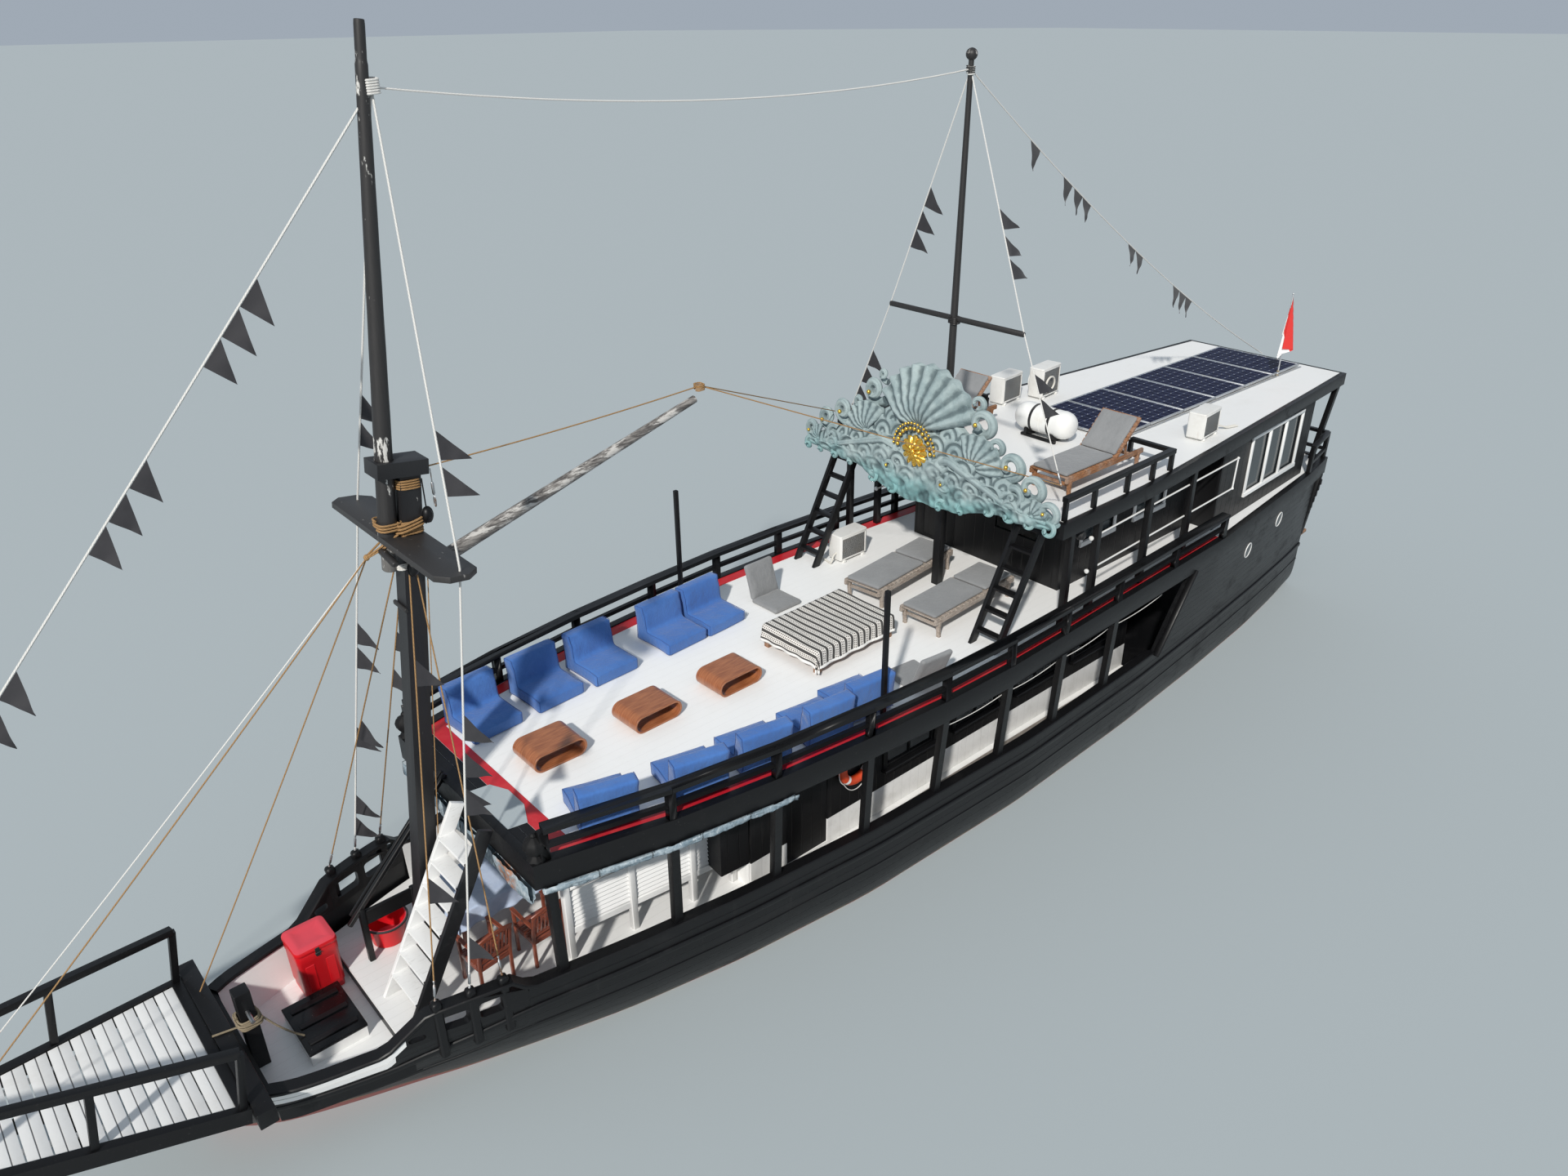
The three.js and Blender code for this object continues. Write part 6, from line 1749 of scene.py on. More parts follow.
BLUE_COVER = woven("blue_cover", (0.052, 0.150, 0.430), (0.080, 0.205, 0.520))
BLUE_WELT = woven("blue_welt", (0.022, 0.07, 0.25), (0.032, 0.09, 0.29))
side_rows = np.array([(0.0, depth, height) for depth, height in FOAM_SIDE])
foam_block = skin([side_rows + (edge, 0, 0) for edge in (-0.014, -SOFA_WIDTH + 0.014)], True, True)
foam_points, foam_squares = swollen("foam", [foam_block], 0.03, 0.016)
foam_welts = [welt_loop(foam_points, foam_squares, side_rows + (edge, 0, 0), 90)
              for edge in (-0.016, 0.016 - SOFA_WIDTH)]
for row, units in SOFAS.items():
    mirror = -1.0 if "port" in row else 1.0
    welts = []
    for number, (x, y, turn) in enumerate(units):
        u, v, w = foam_points.T
        uneven = np.sin(5.1 * u + 2.3 * number) * np.sin(6.3 * v + 1.7 * number) * np.sin(4.4 * w + number)
        shape = np.stack((u, v + 0.008 * uneven * (v > 0.02), w - 0.010 * abs(uneven) * (w > 0.1)), 1)
        squares = foam_squares if mirror > 0 else [face[::-1] for face in foam_squares]
        stand = stood(shape * (1, mirror, 1), x, y, UPPER_DECK, turn)
        padded(f"{row}_seat_{number + 1}", stand, squares, BLUE_COVER, 0.9, 1,
               replaces=(row,) if number == 0 else (), slot="blue_fabric")
        welts += [closed_cord(stood(path * (1, mirror, 1), x, y, UPPER_DECK, turn), 0.004)
                  for path in foam_welts]
    piece(f"{row}_welts", welts, BLUE_WELT, slot="blue_fabric")


# Daybed: a low teak frame with a mattress, under a woven blanket with black bands and rows of small
# lozenges that hangs over the fore end and the port side, and gathers in folds at their corner.
BED = (1.99, 0.24, UPPER_DECK, 0.03)  # middle x and y, floor, turn
BED_TOP = 0.35
BLANKET = (0.74, 0.525)  # half the part that lies flat
HANG = 0.26
ROLL = 0.035  # radius of the turn over the edge


def blanket_cloth():
    """Bands across the blanket, as its map counts them: one black, then pale with two rows of lozenges."""
    f = Finish("blanket")
    along, across, _ = f.parts(f.map())
    fray = f.noise(f.place(), 90.0, 2.0) * 0.004
    repeat = ((along + fray) / 0.118).math("FRACT")
    black = f.step(abs(repeat - 0.5), 0.17, 0.20, 1.0, 0.0)
    shade = f.mix(f.noise(f.place(), 3.0), (0.70, 0.67, 0.61), (0.80, 0.78, 0.74))
    for middle in (0.12, 0.88):
        bead = abs((across / 0.034 + middle).math("FRACT") - 0.5) * 2.2 + abs(repeat - middle) * 9.0
        shade = f.mix(f.step(bead, 0.75, 0.95, 1.0, 0.0), shade, (0.075, 0.050, 0.050))
    shade = f.mix(black * 0.95, shade, (0.022, 0.020, 0.020))
    hem = (f.step(along, 1.71, 1.72) + f.step(across, 1.285, 1.295)).math("MINIMUM", 1.0)
    shade = f.mix(hem, shade, (0.84, 0.83, 0.80))
    weave = f.noise(f.place(), 240.0, 2.0, 0.5)
    return f.done(shade, 0.95, f.noise(f.place(), 9.0, 4.0, 0.6) + weave * 0.08, 0.014, Sheen_Weight=0.03)


def cut_map(rows, columns):
    """A sheet's map in the metres of its flat cut, from the place of each row and each column."""
    row, column = (part.ravel() for part in np.mgrid[0:len(rows) - 1, 0:len(columns) - 1])
    along = rows[np.stack((row, row + 1, row + 1, row), 1)]
    across = columns[np.stack((column, column, column + 1, column + 1), 1)]
    return np.stack((along, across), -1).reshape(-1, 2)


def thicken(cloth, thickness, side):
    """Gives a sheet its thickness, outwards where side is 1 and inwards where it is -1."""
    solid = cloth.modifiers.new("cloth", "SOLIDIFY")
    solid.thickness = thickness
    solid.offset = side


def laid_blanket(s, t):
    """Past the mattress's edge the cloth turns down over a small radius and hangs. Past the corner it hangs
    from a fan of directions, and the cloth to spare there stands in folds that deepen downwards."""
    s, t = np.meshgrid(s, t, indexing="ij")
    over, past = np.maximum(0, s - BLANKET[0]), np.maximum(0, t - BLANKET[1])
    drop = np.hypot(over, past)
    aim = np.arctan2(past, over)
    bend = np.minimum(drop / ROLL, np.pi / 2)
    hung = np.maximum(0, drop - ROLL * np.pi / 2)
    corner = np.sin(2 * aim)
    ripple = (0.010 * np.sin(s * 17 + 3 * t) + 0.008 * np.sin(t * 23 + 1)) * (1 - corner)
    fold = corner * 0.085 * np.cos(aim * 12)
    out = ROLL * np.sin(bend) + hung * (0.10 + ripple * 6 + fold * 3)
    sag = 0.006 * np.sin(4 * s + 1) * np.sin(5 * t) + 0.004 * np.sin(11 * s) * np.sin(9 * t + 2)
    fall = hung * (0.985 + 0.06 * ripple)
    height = BED_TOP + 0.012 + sag * (drop < 0.01) - ROLL * (1 - np.cos(bend)) - fall
    return np.stack((np.minimum(s, BLANKET[0]) + out * np.cos(aim),
                     np.minimum(t, BLANKET[1]) + out * np.sin(aim), height), -1)


GREY_PAD = woven("grey_pad", (0.235, 0.24, 0.245), (0.31, 0.315, 0.32))
dress("daybed_frame", BROWN_TEAK, bevel=0.006)
bed_form = box_loft(-0.73, 0.73, -0.52, 0.52, ((0.0, 0.232), (0.0, 0.332)), 0.06)
bed_points, bed_squares = swollen("mattress", [bed_form], 0.03, 0.010)
bed_points[:, 2] = np.maximum(bed_points[:, 2], 0.222)
padded("daybed_pad", stood(bed_points, *BED), bed_squares, GREY_PAD, 0.9, 1, replaces=("daybed_mattress",),
       slot="striped_cloth")
blanket_rows = np.linspace(-0.72, BLANKET[0] + HANG, 96)
blanket_columns = np.linspace(-0.51, BLANKET[1] + HANG, 76)
laid = skin(stood(laid_blanket(blanket_rows, blanket_columns), *BED))
blanket = piece("daybed_blanket", [(*laid[:3], cut_map(blanket_rows + 0.76, blanket_columns + 0.54))],
                blanket_cloth(), slot="striped_cloth", smooth=180.0, closed=False)
thicken(blanket, 0.004, 1.0)


# Pads: grey cushions on the loungers, one for the seat and one for the back, and two folding floor
# chairs of the same cloth, their seats on the deck and their backs leant outwards.
def cushion(name, length, width, thick, voxel, most):
    """A crowned pad that runs from x = 0 aft, with its underside at z = 0."""
    stages = ((0.012, 0.006), (0.0, thick * 0.3), (0.0, thick * 0.7), (0.012, thick - 0.006))
    form = box_loft(-length + 0.008, -0.008, -width / 2 + 0.008, width / 2 - 0.008, stages, 0.035)
    return swollen(name, [form], voxel, most)


CUSHIONS = {  # length, width, thickness, voxel, reach
    "seat": cushion("seat_form", 1.17, 0.62, 0.055, 0.014, 0.012),
    "back": cushion("back_form", 0.70, 0.62, 0.055, 0.014, 0.012),
    "chair": cushion("chair_form", 0.57, 0.56, 0.075, 0.016, 0.014),
}


def two_pads(name, first, second, hinge, lean, place, finish, fill):
    """A seat pad, and a back pad that leans about the hinge behind it, stood in their place."""
    seat, squares = CUSHIONS[first]
    back, more = CUSHIONS[second]
    leant = stood(back, 0, 0, 0, 0, lean)
    leant = leant + (-hinge[0], 0, hinge[1])
    points = np.concatenate((seat, leant))
    squares = squares + [tuple(corner + len(seat) for corner in face) for face in more]
    return padded(name, stood(points, *place), squares, finish, fill)


for node, x, y, level, slope, turn in LOUNGERS:
    two_pads(f"{node}_pad", "seat", "back", (1.175, 0.004), slope, (x - 0.005, y, level + 0.3095, turn),
             GREY_PAD, 0.7)
FLOOR_CHAIRS = (  # name, middle of the seat's inner edge x and y, turn, lean of the back
    ("floor_chair_starboard", 1.78, -0.80, math.pi / 2 + 0.03, 1.27),
    ("floor_chair_port", 1.80, 1.38, -math.pi / 2 - 0.10, 1.20),
)
for name, x, y, turn, lean in FLOOR_CHAIRS:
    two_pads(name, "chair", "chair", (0.565, 0.02), lean, (x, y, ON_UPPER_DECK, turn), GREY_PAD, 0.8)


# Low tables: three loops of varnished hardwood slab, bent and glued, that stand on the lounge deck and are
# open to both sides.
TABLES = ((6.27, -0.02, 0.0), (4.96, 0.10, 0.03), (3.69, 0.15, 0.03))  # middle x and y, turn
TABLE = (0.72, 0.50, 0.24, 0.028)  # length, width, height, thickness


def varnished(name, tint, deep):
    """Varnished hardwood: long figure along the map's first axis, darker towards the ends, a wet gloss."""
    f = Finish(name)
    figure = f.noise(f.map((1.0, 9.0, 1.0)), 4.0, 6.0, 0.62)
    grain = f.noise(f.map((3.0, 60.0, 1.0)), 3.0, 3.0, 0.6)
    shade = f.mix(f.step(figure, 0.3, 0.75), deep, tint)
    shade = f.mix(grain * 0.4, shade, tuple(0.45 * part for part in deep))
    worn = f.step(f.noise(f.place(), 5.0, 4.0), 0.55, 0.8)
    return f.done(shade, 0.26 + worn * 0.3 + grain * 0.1, grain, 0.0008, Coat_Weight=0.35,
                  Coat_Roughness=0.15)


def table_loop(length, width, height, thick):
    """A slab bent into a flat loop: its middle line is two level runs joined by half circles."""
    radius = (height - thick) / 2
    straight = length / 2 - thick / 2 - radius
    arc = np.linspace(-np.pi / 2, np.pi / 2, 13)
    fore = np.stack((straight + radius * np.cos(arc), radius * np.sin(arc)), 1)
    path = np.concatenate((fore, -fore, fore[:1]))
    ring = []
    for x, z in path:
        aim = np.array((x - np.clip(x, -straight, straight), z))
        aim = aim / np.linalg.norm(aim)
        section = plank_section(width, thick, 0.006)
        ring.append(np.stack((x + section[:, 1] * aim[0], section[:, 0],
                              height / 2 + z + section[:, 1] * aim[1]), 1))
    return skin(ring, True)


VARNISH = varnished("table_varnish", (0.50, 0.19, 0.075), (0.27, 0.085, 0.032))
for number, (x, y, turn) in enumerate(TABLES):
    loop = table_loop(*TABLE)
    piece(f"low_table_{number + 1}", [(stood(loop[0], x, y, ON_UPPER_DECK, turn), *loop[1:])], VARNISH)


# Standing rigging: white stays and topmast shrouds, brown lower shrouds, all set up to the bulwark with
# short turnbuckles, and a white stay between the mastheads. Black pennants hang from them in groups.
WHITE_LINE = rope("white_line", (0.80, 0.79, 0.76), (0.55, 0.53, 0.49), 3, 30.0)
HEAD = (7.18, 0.0, 9.98)
AFT_HEAD = (-0.57, 0.0, 9.84)
WIND = Vector((-0.42, 0.37, -0.83))  # the way that a pennant trails


def stay(points, radius, sag=0.0):
    """A taut line through its points, each stretch with its own small drop."""
    path = [sagging(a, b, sag, 24) for a, b in zip(points, points[1:])]
    path = np.concatenate([part[:-1] for part in path] + [path[-1][-1:]])
    return round_bar(path, radius, 6, (1, 0, 0) if abs(path[0, 2] - path[-1, 2]) > 2 else (0, 0, 1))


def turnbuckle(foot, top):
    """A shackle, a slim open body and a shackle, from the foot of a line up it."""
    foot, top = np.asarray(foot, float), np.asarray(top, float)
    up = (top - foot) / np.linalg.norm(top - foot)
    levels = np.array((0.0, 0.012, 0.03, 0.05, 0.06, 0.17, 0.18, 0.20, 0.215, 0.225))
    girth = (0.012, 0.017, 0.008, 0.008, 0.015, 0.015, 0.008, 0.008, 0.015, 0.010)
    return round_bar(foot + levels[:, None] * up, girth, 10, (1, 0, 0))


def bulwark_foot(number, s):
    """The head of one of the three shroud posts of a side, from the bow."""
    x, y = SHROUD_POSTS[number]
    return (x, s * y, 1.492)


STAYS = {  # points from the top, radius
    "forestay": ([HEAD, (14.02, 0.0, 2.47)], 0.011),
    "topmast_shroud_port": ([HEAD, (7.56, 1.16, 6.02), bulwark_foot(1, 1)], 0.011),
    "topmast_shroud_starboard": ([HEAD, (7.56, -1.10, 6.02), bulwark_foot(1, -1)], 0.011),
    "triatic_stay": ([HEAD, AFT_HEAD], 0.010),
    "backstay": ([AFT_HEAD, (-9.88, 0.0, 4.46)], 0.009),
    "aft_shroud_port": ([AFT_HEAD, (-0.55, 1.195, 6.74), (-0.56, 2.02, 4.84)], 0.009),
    "aft_shroud_starboard": ([AFT_HEAD, (-0.55, -1.195, 6.74), (-0.56, -2.02, 4.84)], 0.009),
}
LOWER_SHROUDS = {
    "lower_shroud_port_fore": ([(7.62, 0.13, 5.72), bulwark_foot(0, 1)], 0.008),
    "lower_shroud_port_aft": ([(7.56, 0.13, 5.72), bulwark_foot(2, 1)], 0.008),
    "lower_shroud_starboard_fore": ([(7.62, -0.13, 5.72), bulwark_foot(0, -1)], 0.008),
    "lower_shroud_starboard_aft": ([(7.56, -0.13, 5.72), bulwark_foot(2, -1)], 0.008),
}
SAG = {"backstay": 0.28, "triatic_stay": 0.22, "forestay": 0.05}
for name, (points, radius) in STAYS.items():
    piece(name, [stay(points, radius, SAG.get(name, 0.0))], WHITE_LINE)
for name, (points, radius) in LOWER_SHROUDS.items():
    piece(name, [stay(points, radius)], BROWN_ROPE)
footed = [points for name, (points, _) in (*STAYS.items(), *LOWER_SHROUDS.items()) if "shroud" in name]
piece("turnbuckles", [turnbuckle(points[-1], points[-2]) for points in footed], GALVANISED)
piece("masthead_seizings", [
    turns((7.185, 0, 9.93), 0.062, 0.062, 0.010, 6, 0.021),
    turns((7.60, 0, 5.66), 0.118, 0.118, 0.009, 5, 0.02),
    turns((-0.568, 0, 9.78), 0.042, 0.042, 0.009, 5, 0.02),
], WHITE_LINE)

PENNANT = (0.28, 0.32)  # along the line, and from the line to the tip
PENNANTS = {  # metres down from the top of each line
    "forestay": (1.84, 2.13, 2.42, 3.58, 3.90, 4.21, 5.58, 5.90, 6.22, 7.50, 7.82, 8.14),
    "topmast_shroud_port": (2.87, 3.20, 5.60, 6.00, 6.42, 8.10),
    "topmast_shroud_starboard": (2.90, 3.21, 5.59, 5.90, 6.95, 7.90, 8.22),
    "backstay": (1.55, 2.52, 2.85, 3.12, 4.70, 4.98, 6.46, 6.74, 7.00),
    "aft_shroud_port": (1.70, 2.04, 2.34, 3.85, 4.18),
    "aft_shroud_starboard": (1.55, 1.89, 2.16, 4.15, 4.46, 4.80),
    "lower_shroud_port_fore": (0.95, 3.20),
    "lower_shroud_port_aft": (2.35,),
    "lower_shroud_starboard_fore": (2.19,),
    "lower_shroud_starboard_aft": (1.05, 1.60),
}


def black_cloth():
    """Thin black cloth, slightly paler where it folds."""
    f = Finish("pennant_cloth")
    fold = f.noise(f.place(), 14.0, 4.0, 0.6)
    shade = f.mix(fold, (0.012, 0.012, 0.015), (0.030, 0.029, 0.034))
    return f.done(shade, 0.7 + fold * 0.15, f.noise(f.place(), 300.0, 2.0), 0.0006, Sheen_Weight=0.3)


def pennant(points, down, seed, sag):
    """A triangle of cloth whose hoist follows the line from a place on it: each column runs from the line
    to the tip, the columns draw together towards the tip, and a wave that grows outwards moves them."""
    lengths = [float(np.linalg.norm(np.subtract(b, a))) for a, b in zip(points, points[1:])]
    stretch = 0
    while stretch < len(lengths) - 1 and down > lengths[stretch]:
        down -= lengths[stretch]
        stretch += 1
    a, b = (np.array(points[stretch + k], float) for k in (0, 1))
    hoist, out = np.meshgrid(np.linspace(0, 1, 5), np.linspace(0, 1, 11), indexing="ij")
    t = ((down + PENNANT[0] * hoist) / lengths[stretch])[..., None]
    line = a + (b - a) * t - 4 * t * (1 - t) * np.array((0, 0, sag))
    middle = line[2:3, :1]
    ahead = (b - a) / np.linalg.norm(b - a)
    trail = np.array(WIND) + (0.10 * math.sin(seed * 2.1), 0.10 * math.cos(seed * 1.3), 0.0)
    trail = trail - ahead * (trail @ ahead)
    trail = trail / np.linalg.norm(trail) - 0.6 * ahead * ahead[2]
    if abs(ahead[2]) < 0.6:
        trail = np.array((0.05 * math.sin(seed), 0.06 * math.cos(seed), -1.0))
    trail = trail / np.linalg.norm(trail)
    side = np.cross(trail, b - a)
    side = side / np.linalg.norm(side)
    reach = PENNANT[1] * (1.0 + 0.06 * math.sin(seed))
    wave = (0.020 * np.sin(5 * out + seed) + 0.008 * np.sin(11 * out + 4 * hoist + 2 * seed)) * out
    return line * (1 - out[..., None]) + (middle + trail * reach) * out[..., None] + side * wave[..., None]


BLACK_CLOTH = black_cloth()
for name, places in PENNANTS.items():
    points = {**STAYS, **LOWER_SHROUDS}[name][0]
    for number, down in enumerate(places):
        cloth = pennant(points, down, number + 1.7 * len(name), SAG.get(name, 0.0))
        flag = piece(f"pennant_{name}_{number + 1}", [skin(cloth)], BLACK_CLOTH, smooth=180.0, closed=False)


# Running rigging: a brown topping line and two guys hold the boom up.
# Two ropes and a white line run from a knot ahead of the mast to the bow.
BOOM_TIP = (3.86, 0.0, 6.70)
LINE = 0.0075


def follower(name, start, end, finish, sag=0.0):
    """A sagging line between two points, on no body."""
    line = piece(name, [round_bar(sagging(start, end, sag, 36), LINE, 6)], finish, body=None)
    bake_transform(line)
    return line


follower("topping_line", (7.36, 0.0, 6.60), BOOM_TIP, BROWN_ROPE, 0.03)
for s, name in ((1, "port"), (-1, "starboard")):
    rail, way = np.array((-0.56, s * 2.02, 4.86)), 0.55
    middle = rail + (np.array(BOOM_TIP) - rail) * way
    follower(f"boom_guy_{name}_outer", tuple(rail), tuple(middle), BROWN_ROPE)
    follower(f"boom_guy_{name}_inner", tuple(middle), BOOM_TIP, BROWN_ROPE)
piece("boom_lashing", [
    turns((3.87, 0, 6.655), 0.05, 0.05, 0.008, 4, 0.018),
], BROWN_ROPE, "boom")

KNOT = (7.97, 0.0, 5.85)
BOW_LINES = (  # finish, end
    (BROWN_ROPE, (12.60, 0.30, 1.92)),
    (WHITE_LINE, (12.05, -0.62, 1.92)),
    (BROWN_ROPE, (10.36, -0.70, 1.215)),
)
for number, (finish, end) in enumerate(BOW_LINES):
    piece(f"bow_line_{number + 1}", [hitch(KNOT, end, 0.03, LINE)], finish)
piece("knot_ropes", [
    hitch((7.58, side * 0.12, 6.02 + lift), (7.97, side * 0.015, 5.85 + lift * 0.2), 0.0, 0.011)
    for side, lift in ((1, 0.0), (-1, 0.02), (1, 0.06))
] + [ball((7.97, 0, 5.852), 0.030, 8, 1.1)], BROWN_ROPE)
piece("mast_falls", [
    hitch(raked((-0.12, 0.13 * s, 5.28)), raked((-0.115, 0.125 * s, 1.30)), 0.0, 0.006, True)
    for s in (1, -1)
], BROWN_ROPE)
piece("crest_stay", [round_bar([(-0.05, -1.86, 4.15), (-0.02, -2.28, 3.16)], 0.008, 8, (1, 0, 0))],
      BLACK_TIMBER)


# Canvas: a silver tarpaulin folded up and lashed under the beam at the deck's edge, along the port side of
# the saloon and across its front, where it hangs deeper between its ties.
def tarpaulin():
    """Coated cloth: a silver-blue face mottled with pale creases, and one rusty stain."""
    f = Finish("tarpaulin")
    place = f.place()
    x, y, _ = f.parts(place)
    patch = f.noise(f.place((1.0, 1.0, 2.5)), 3.5, 5.0, 0.7)
    crease = f.noise(f.place((2.0, 2.0, 1.0)), 9.0, 6.0, 0.75)
    shade = f.mix(f.step(patch, 0.35, 0.65), (0.17, 0.24, 0.29), (0.38, 0.45, 0.49))
    shade = f.mix(f.step(crease, 0.54, 0.68) * 0.8, shade, (0.64, 0.68, 0.70))
    shade = f.mix(f.step(crease, 0.36, 0.48, 1.0, 0.0) * 0.6, shade, (0.07, 0.09, 0.10))
    spot = f.step(abs(y - 1.02), 0.08, 0.24, 1.0, 0.0) * f.step(x, 7.41, 7.43)
    rust = spot * f.step(f.noise(place, 14.0), 0.40, 0.55)
    shade = f.mix(rust * 0.8, shade, (0.42, 0.15, 0.045))
    return f.done(shade, 0.42 + crease * 0.2, crease, 0.006)


def folded(path, depth, seed):
    """Cloth folded in two under a beam: each ring runs down its outer face, turns under and comes back up,
    and creases wander along it."""
    ahead = np.gradient(path, axis=0)
    ahead /= np.linalg.norm(ahead, axis=1)[:, None]
    out = np.cross(ahead, (0.0, 0.0, 1.0))[:, None]
    along = np.concatenate(([0.0], np.cumsum(np.linalg.norm(np.diff(path, axis=0), axis=1))))[:, None]
    turn = np.linspace(0, np.pi, 17)[None]
    crease = 0.006 * np.sin(9 * along + 5 * turn + seed) + 0.005 * np.sin(23 * along - 7 * turn)
    crease = crease + 0.004 * np.sin(57 * along + 11 * turn)
    wide = (0.034 + crease) * np.cos(turn)
    drop = (depth[:, None] + crease) * np.abs(np.sin(turn)) ** 0.55
    return path[:, None] + wide[..., None] * out - drop[..., None] * np.array((0.0, 0.0, 1.0))


CANVAS = tarpaulin()
BEAM_FOOT = 2.3995
side_x = np.linspace(7.38, 4.33, 150)
front_y = np.linspace(-1.50, 1.50, 150)
CANVASES = {  # path, depth, flat width, distance between ties
    "canvas_port": (np.stack((side_x, deck_half(side_x) - 0.012, BEAM_FOOT + 0 * side_x), 1), 0.095, 0.26,
                    0.61),
    "canvas_front": (np.stack((7.468 + 0 * front_y, -front_y, BEAM_FOOT + 0 * front_y), 1), 0.26, 0.58,
                     0.75),
}
for name, (path, depth, flat, pitch) in CANVASES.items():
    along = np.concatenate(([0.0], np.cumsum(np.linalg.norm(np.diff(path, axis=0), axis=1))))
    pinch = np.abs(np.sin(np.pi * along / pitch)) ** 0.5
    grid = folded(path, depth * (0.80 + 0.24 * pinch + 0.05 * np.sin(4 * along)), len(name))
    cloth = piece(name, [skin(grid)], CANVAS, smooth=180.0, closed=False)
    thicken(cloth, 0.003, -1.0)
    places = [int(np.argmin(np.abs(along - k * pitch))) for k in range(1, int(along[-1] / pitch) + 1)]
    piece(f"{name}_ties", [
        closed_cord(path[k] + (grid[k] - path[k]) * 1.06 + (0, 0, -0.004), 0.005) for k in places
    ], BLACK_RUBBER)


# Cable: a thin white electric cable, clipped to the posts' inner faces under the deck's edge and slack
# between them.
cable_x = (1.92, 0.64, -0.61, -1.98, -3.48)
piece("deck_cable", [stay([(x, deck_half(x) - 0.122, 2.24) for x in cable_x], 0.006, 0.045)], WHITE_LINE)


# Gallery fittings: two white pipes pass through the posts on each side and turn down at their aft end.
# A round black lamp hangs under the roof's edge.
PIPE_WHITE = plastic("pipe_white", (0.78, 0.78, 0.77), (0.70, 0.69, 0.66), 0.3)
UPPER_PIPE = ((-1.33, 2.10, 3.88), (-5.66, 1.925, 3.915))
LOWER_PIPE = ((-1.33, 2.09, 3.36), (-5.64, 1.925, 3.385))
piece("gallery_pipes", both(lambda s: [
    round_bar(np.linspace(fore, aft, 8) * (1, s, 1), 0.014, 12) for fore, aft in (UPPER_PIPE, LOWER_PIPE)
] + [
    round_bar(np.linspace(UPPER_PIPE[1], LOWER_PIPE[1], 6) * (1, s, 1), 0.014, 12, (0, 1, 0)),
] + [
    round_bar([(x + k, s * y, z) for k in (-0.012, 0.0, 0.022, 0.026)], (0.024, 0.034, 0.034, 0.026), 16)
    for (x, y, z), _ in (UPPER_PIPE, LOWER_PIPE)
] + [
    ball(np.array(aft) * (1, s, 1), 0.024, 8) for _, aft in (UPPER_PIPE, LOWER_PIPE)
]), PIPE_WHITE)
piece("gallery_lamps", both(lambda s: [
    ball((-0.97, s * 2.13, 4.055), 0.075, 12),
    round_bar([(-0.97, s * 2.13, z) for z in (4.185, 4.165, 4.16, 4.12)], (0.045, 0.045, 0.018, 0.018), 14,
              (1, 0, 0)),
    ring_line((-0.97, s * 2.19, 4.05), 0.050, 0.008, 24),
]), BLACK_RUBBER)


# Side lights: white moulded rings let into the planking of the quarters, each round a disc of dark glass
# that is bedded behind it.
def quarter_face(x, z):
    """Half breadth of the quarter's planking at a place x and a height z."""
    low, high = hull_half(np.array([x]), 1.19)[0], deck_half(x) - 0.058
    return low + (z - 1.15) / (QUARTER_TOP - 1.15) * (high - low)


PORTHOLES = ((-6.61, 1.95), (-7.90, 2.12))  # middle x and z


def porthole(x, z, s, radius, inset, thick):
    """Rings about an axis across the boat, on the leaning planking, from a profile of radius and height."""
    turn = np.arange(32) * np.pi / 16
    layers = []
    for r, out in zip(radius, thick):
        px, pz = x + r * np.cos(turn), z + r * 1.15 * np.sin(turn)
        face = np.array([quarter_face(a, b) for a, b in zip(px, pz)])
        layers.append(np.stack((px, s * (face + out - inset), pz), 1))
    return skin(layers, True, True)


piece("porthole_rims", both(lambda s: [
    porthole(x, z, s, (0.112, 0.114, 0.120, 0.126, 0.128, 0.128), 0.0,
             (-0.01, 0.010, 0.014, 0.010, 0.004, -0.01))
    for x, z in PORTHOLES
]), PIPE_WHITE)
piece("porthole_glass", both(lambda s: [
    porthole(x, z, s, (0.112, 0.112, 0.06, 0.01), 0.0, (-0.01, 0.004, 0.007, 0.008)) for x, z in PORTHOLES
]), GLASS)


# Stern fittings: a broken wooden knee on the transom, and a short staff lashed to the solar panels' port
# edge with a flag that hangs limp from it: a red stripe over a white one.
piece("transom_knee", [
    plank((-9.84, 1.36, 1.02), (-10.22, 1.36, 1.06), 0.16, 0.06, 0.008),
    plank((-9.84, 1.36, 0.84), (-10.12, 1.36, 0.98), 0.07, 0.08, 0.008),
    plank((-9.92, 1.36, 0.70), (-9.92, 1.36, 1.10), 0.10, 0.05, 0.008, (1, 0, 0)),
], BROWN_TEAK)
STAFF = (-8.80, 0.865)
piece("flagstaff", [
    round_bar([(*STAFF, z) for z in (4.402, 4.41, 5.90, 5.915)], (0.012, 0.014, 0.011, 0.006), 10,
              (1, 0, 0)),
    ball((*STAFF, 5.925), 0.018, 8),
], ALUMINIUM)
piece("flagstaff_lashings", [turns((*STAFF, z), 0.017, 0.017, 0.004, 3, 0.009) for z in (4.43, 4.50)],
      HEMP_ROPE)
FLAG = (0.62, 0.94)  # hoist, fly


def flag_cloth():
    """Thin cloth, red above the middle of its hoist and white below."""
    f = Finish("flag_cloth")
    hoist = f.parts(f.map())[0]
    weave = f.noise(f.place(), 220.0, 2.0)
    shade = f.mix(hoist > FLAG[0] / 2, (0.62, 0.025, 0.02), (0.82, 0.81, 0.80))
    return f.done(shade, 0.75, weave, 0.0005, Sheen_Weight=0.2)


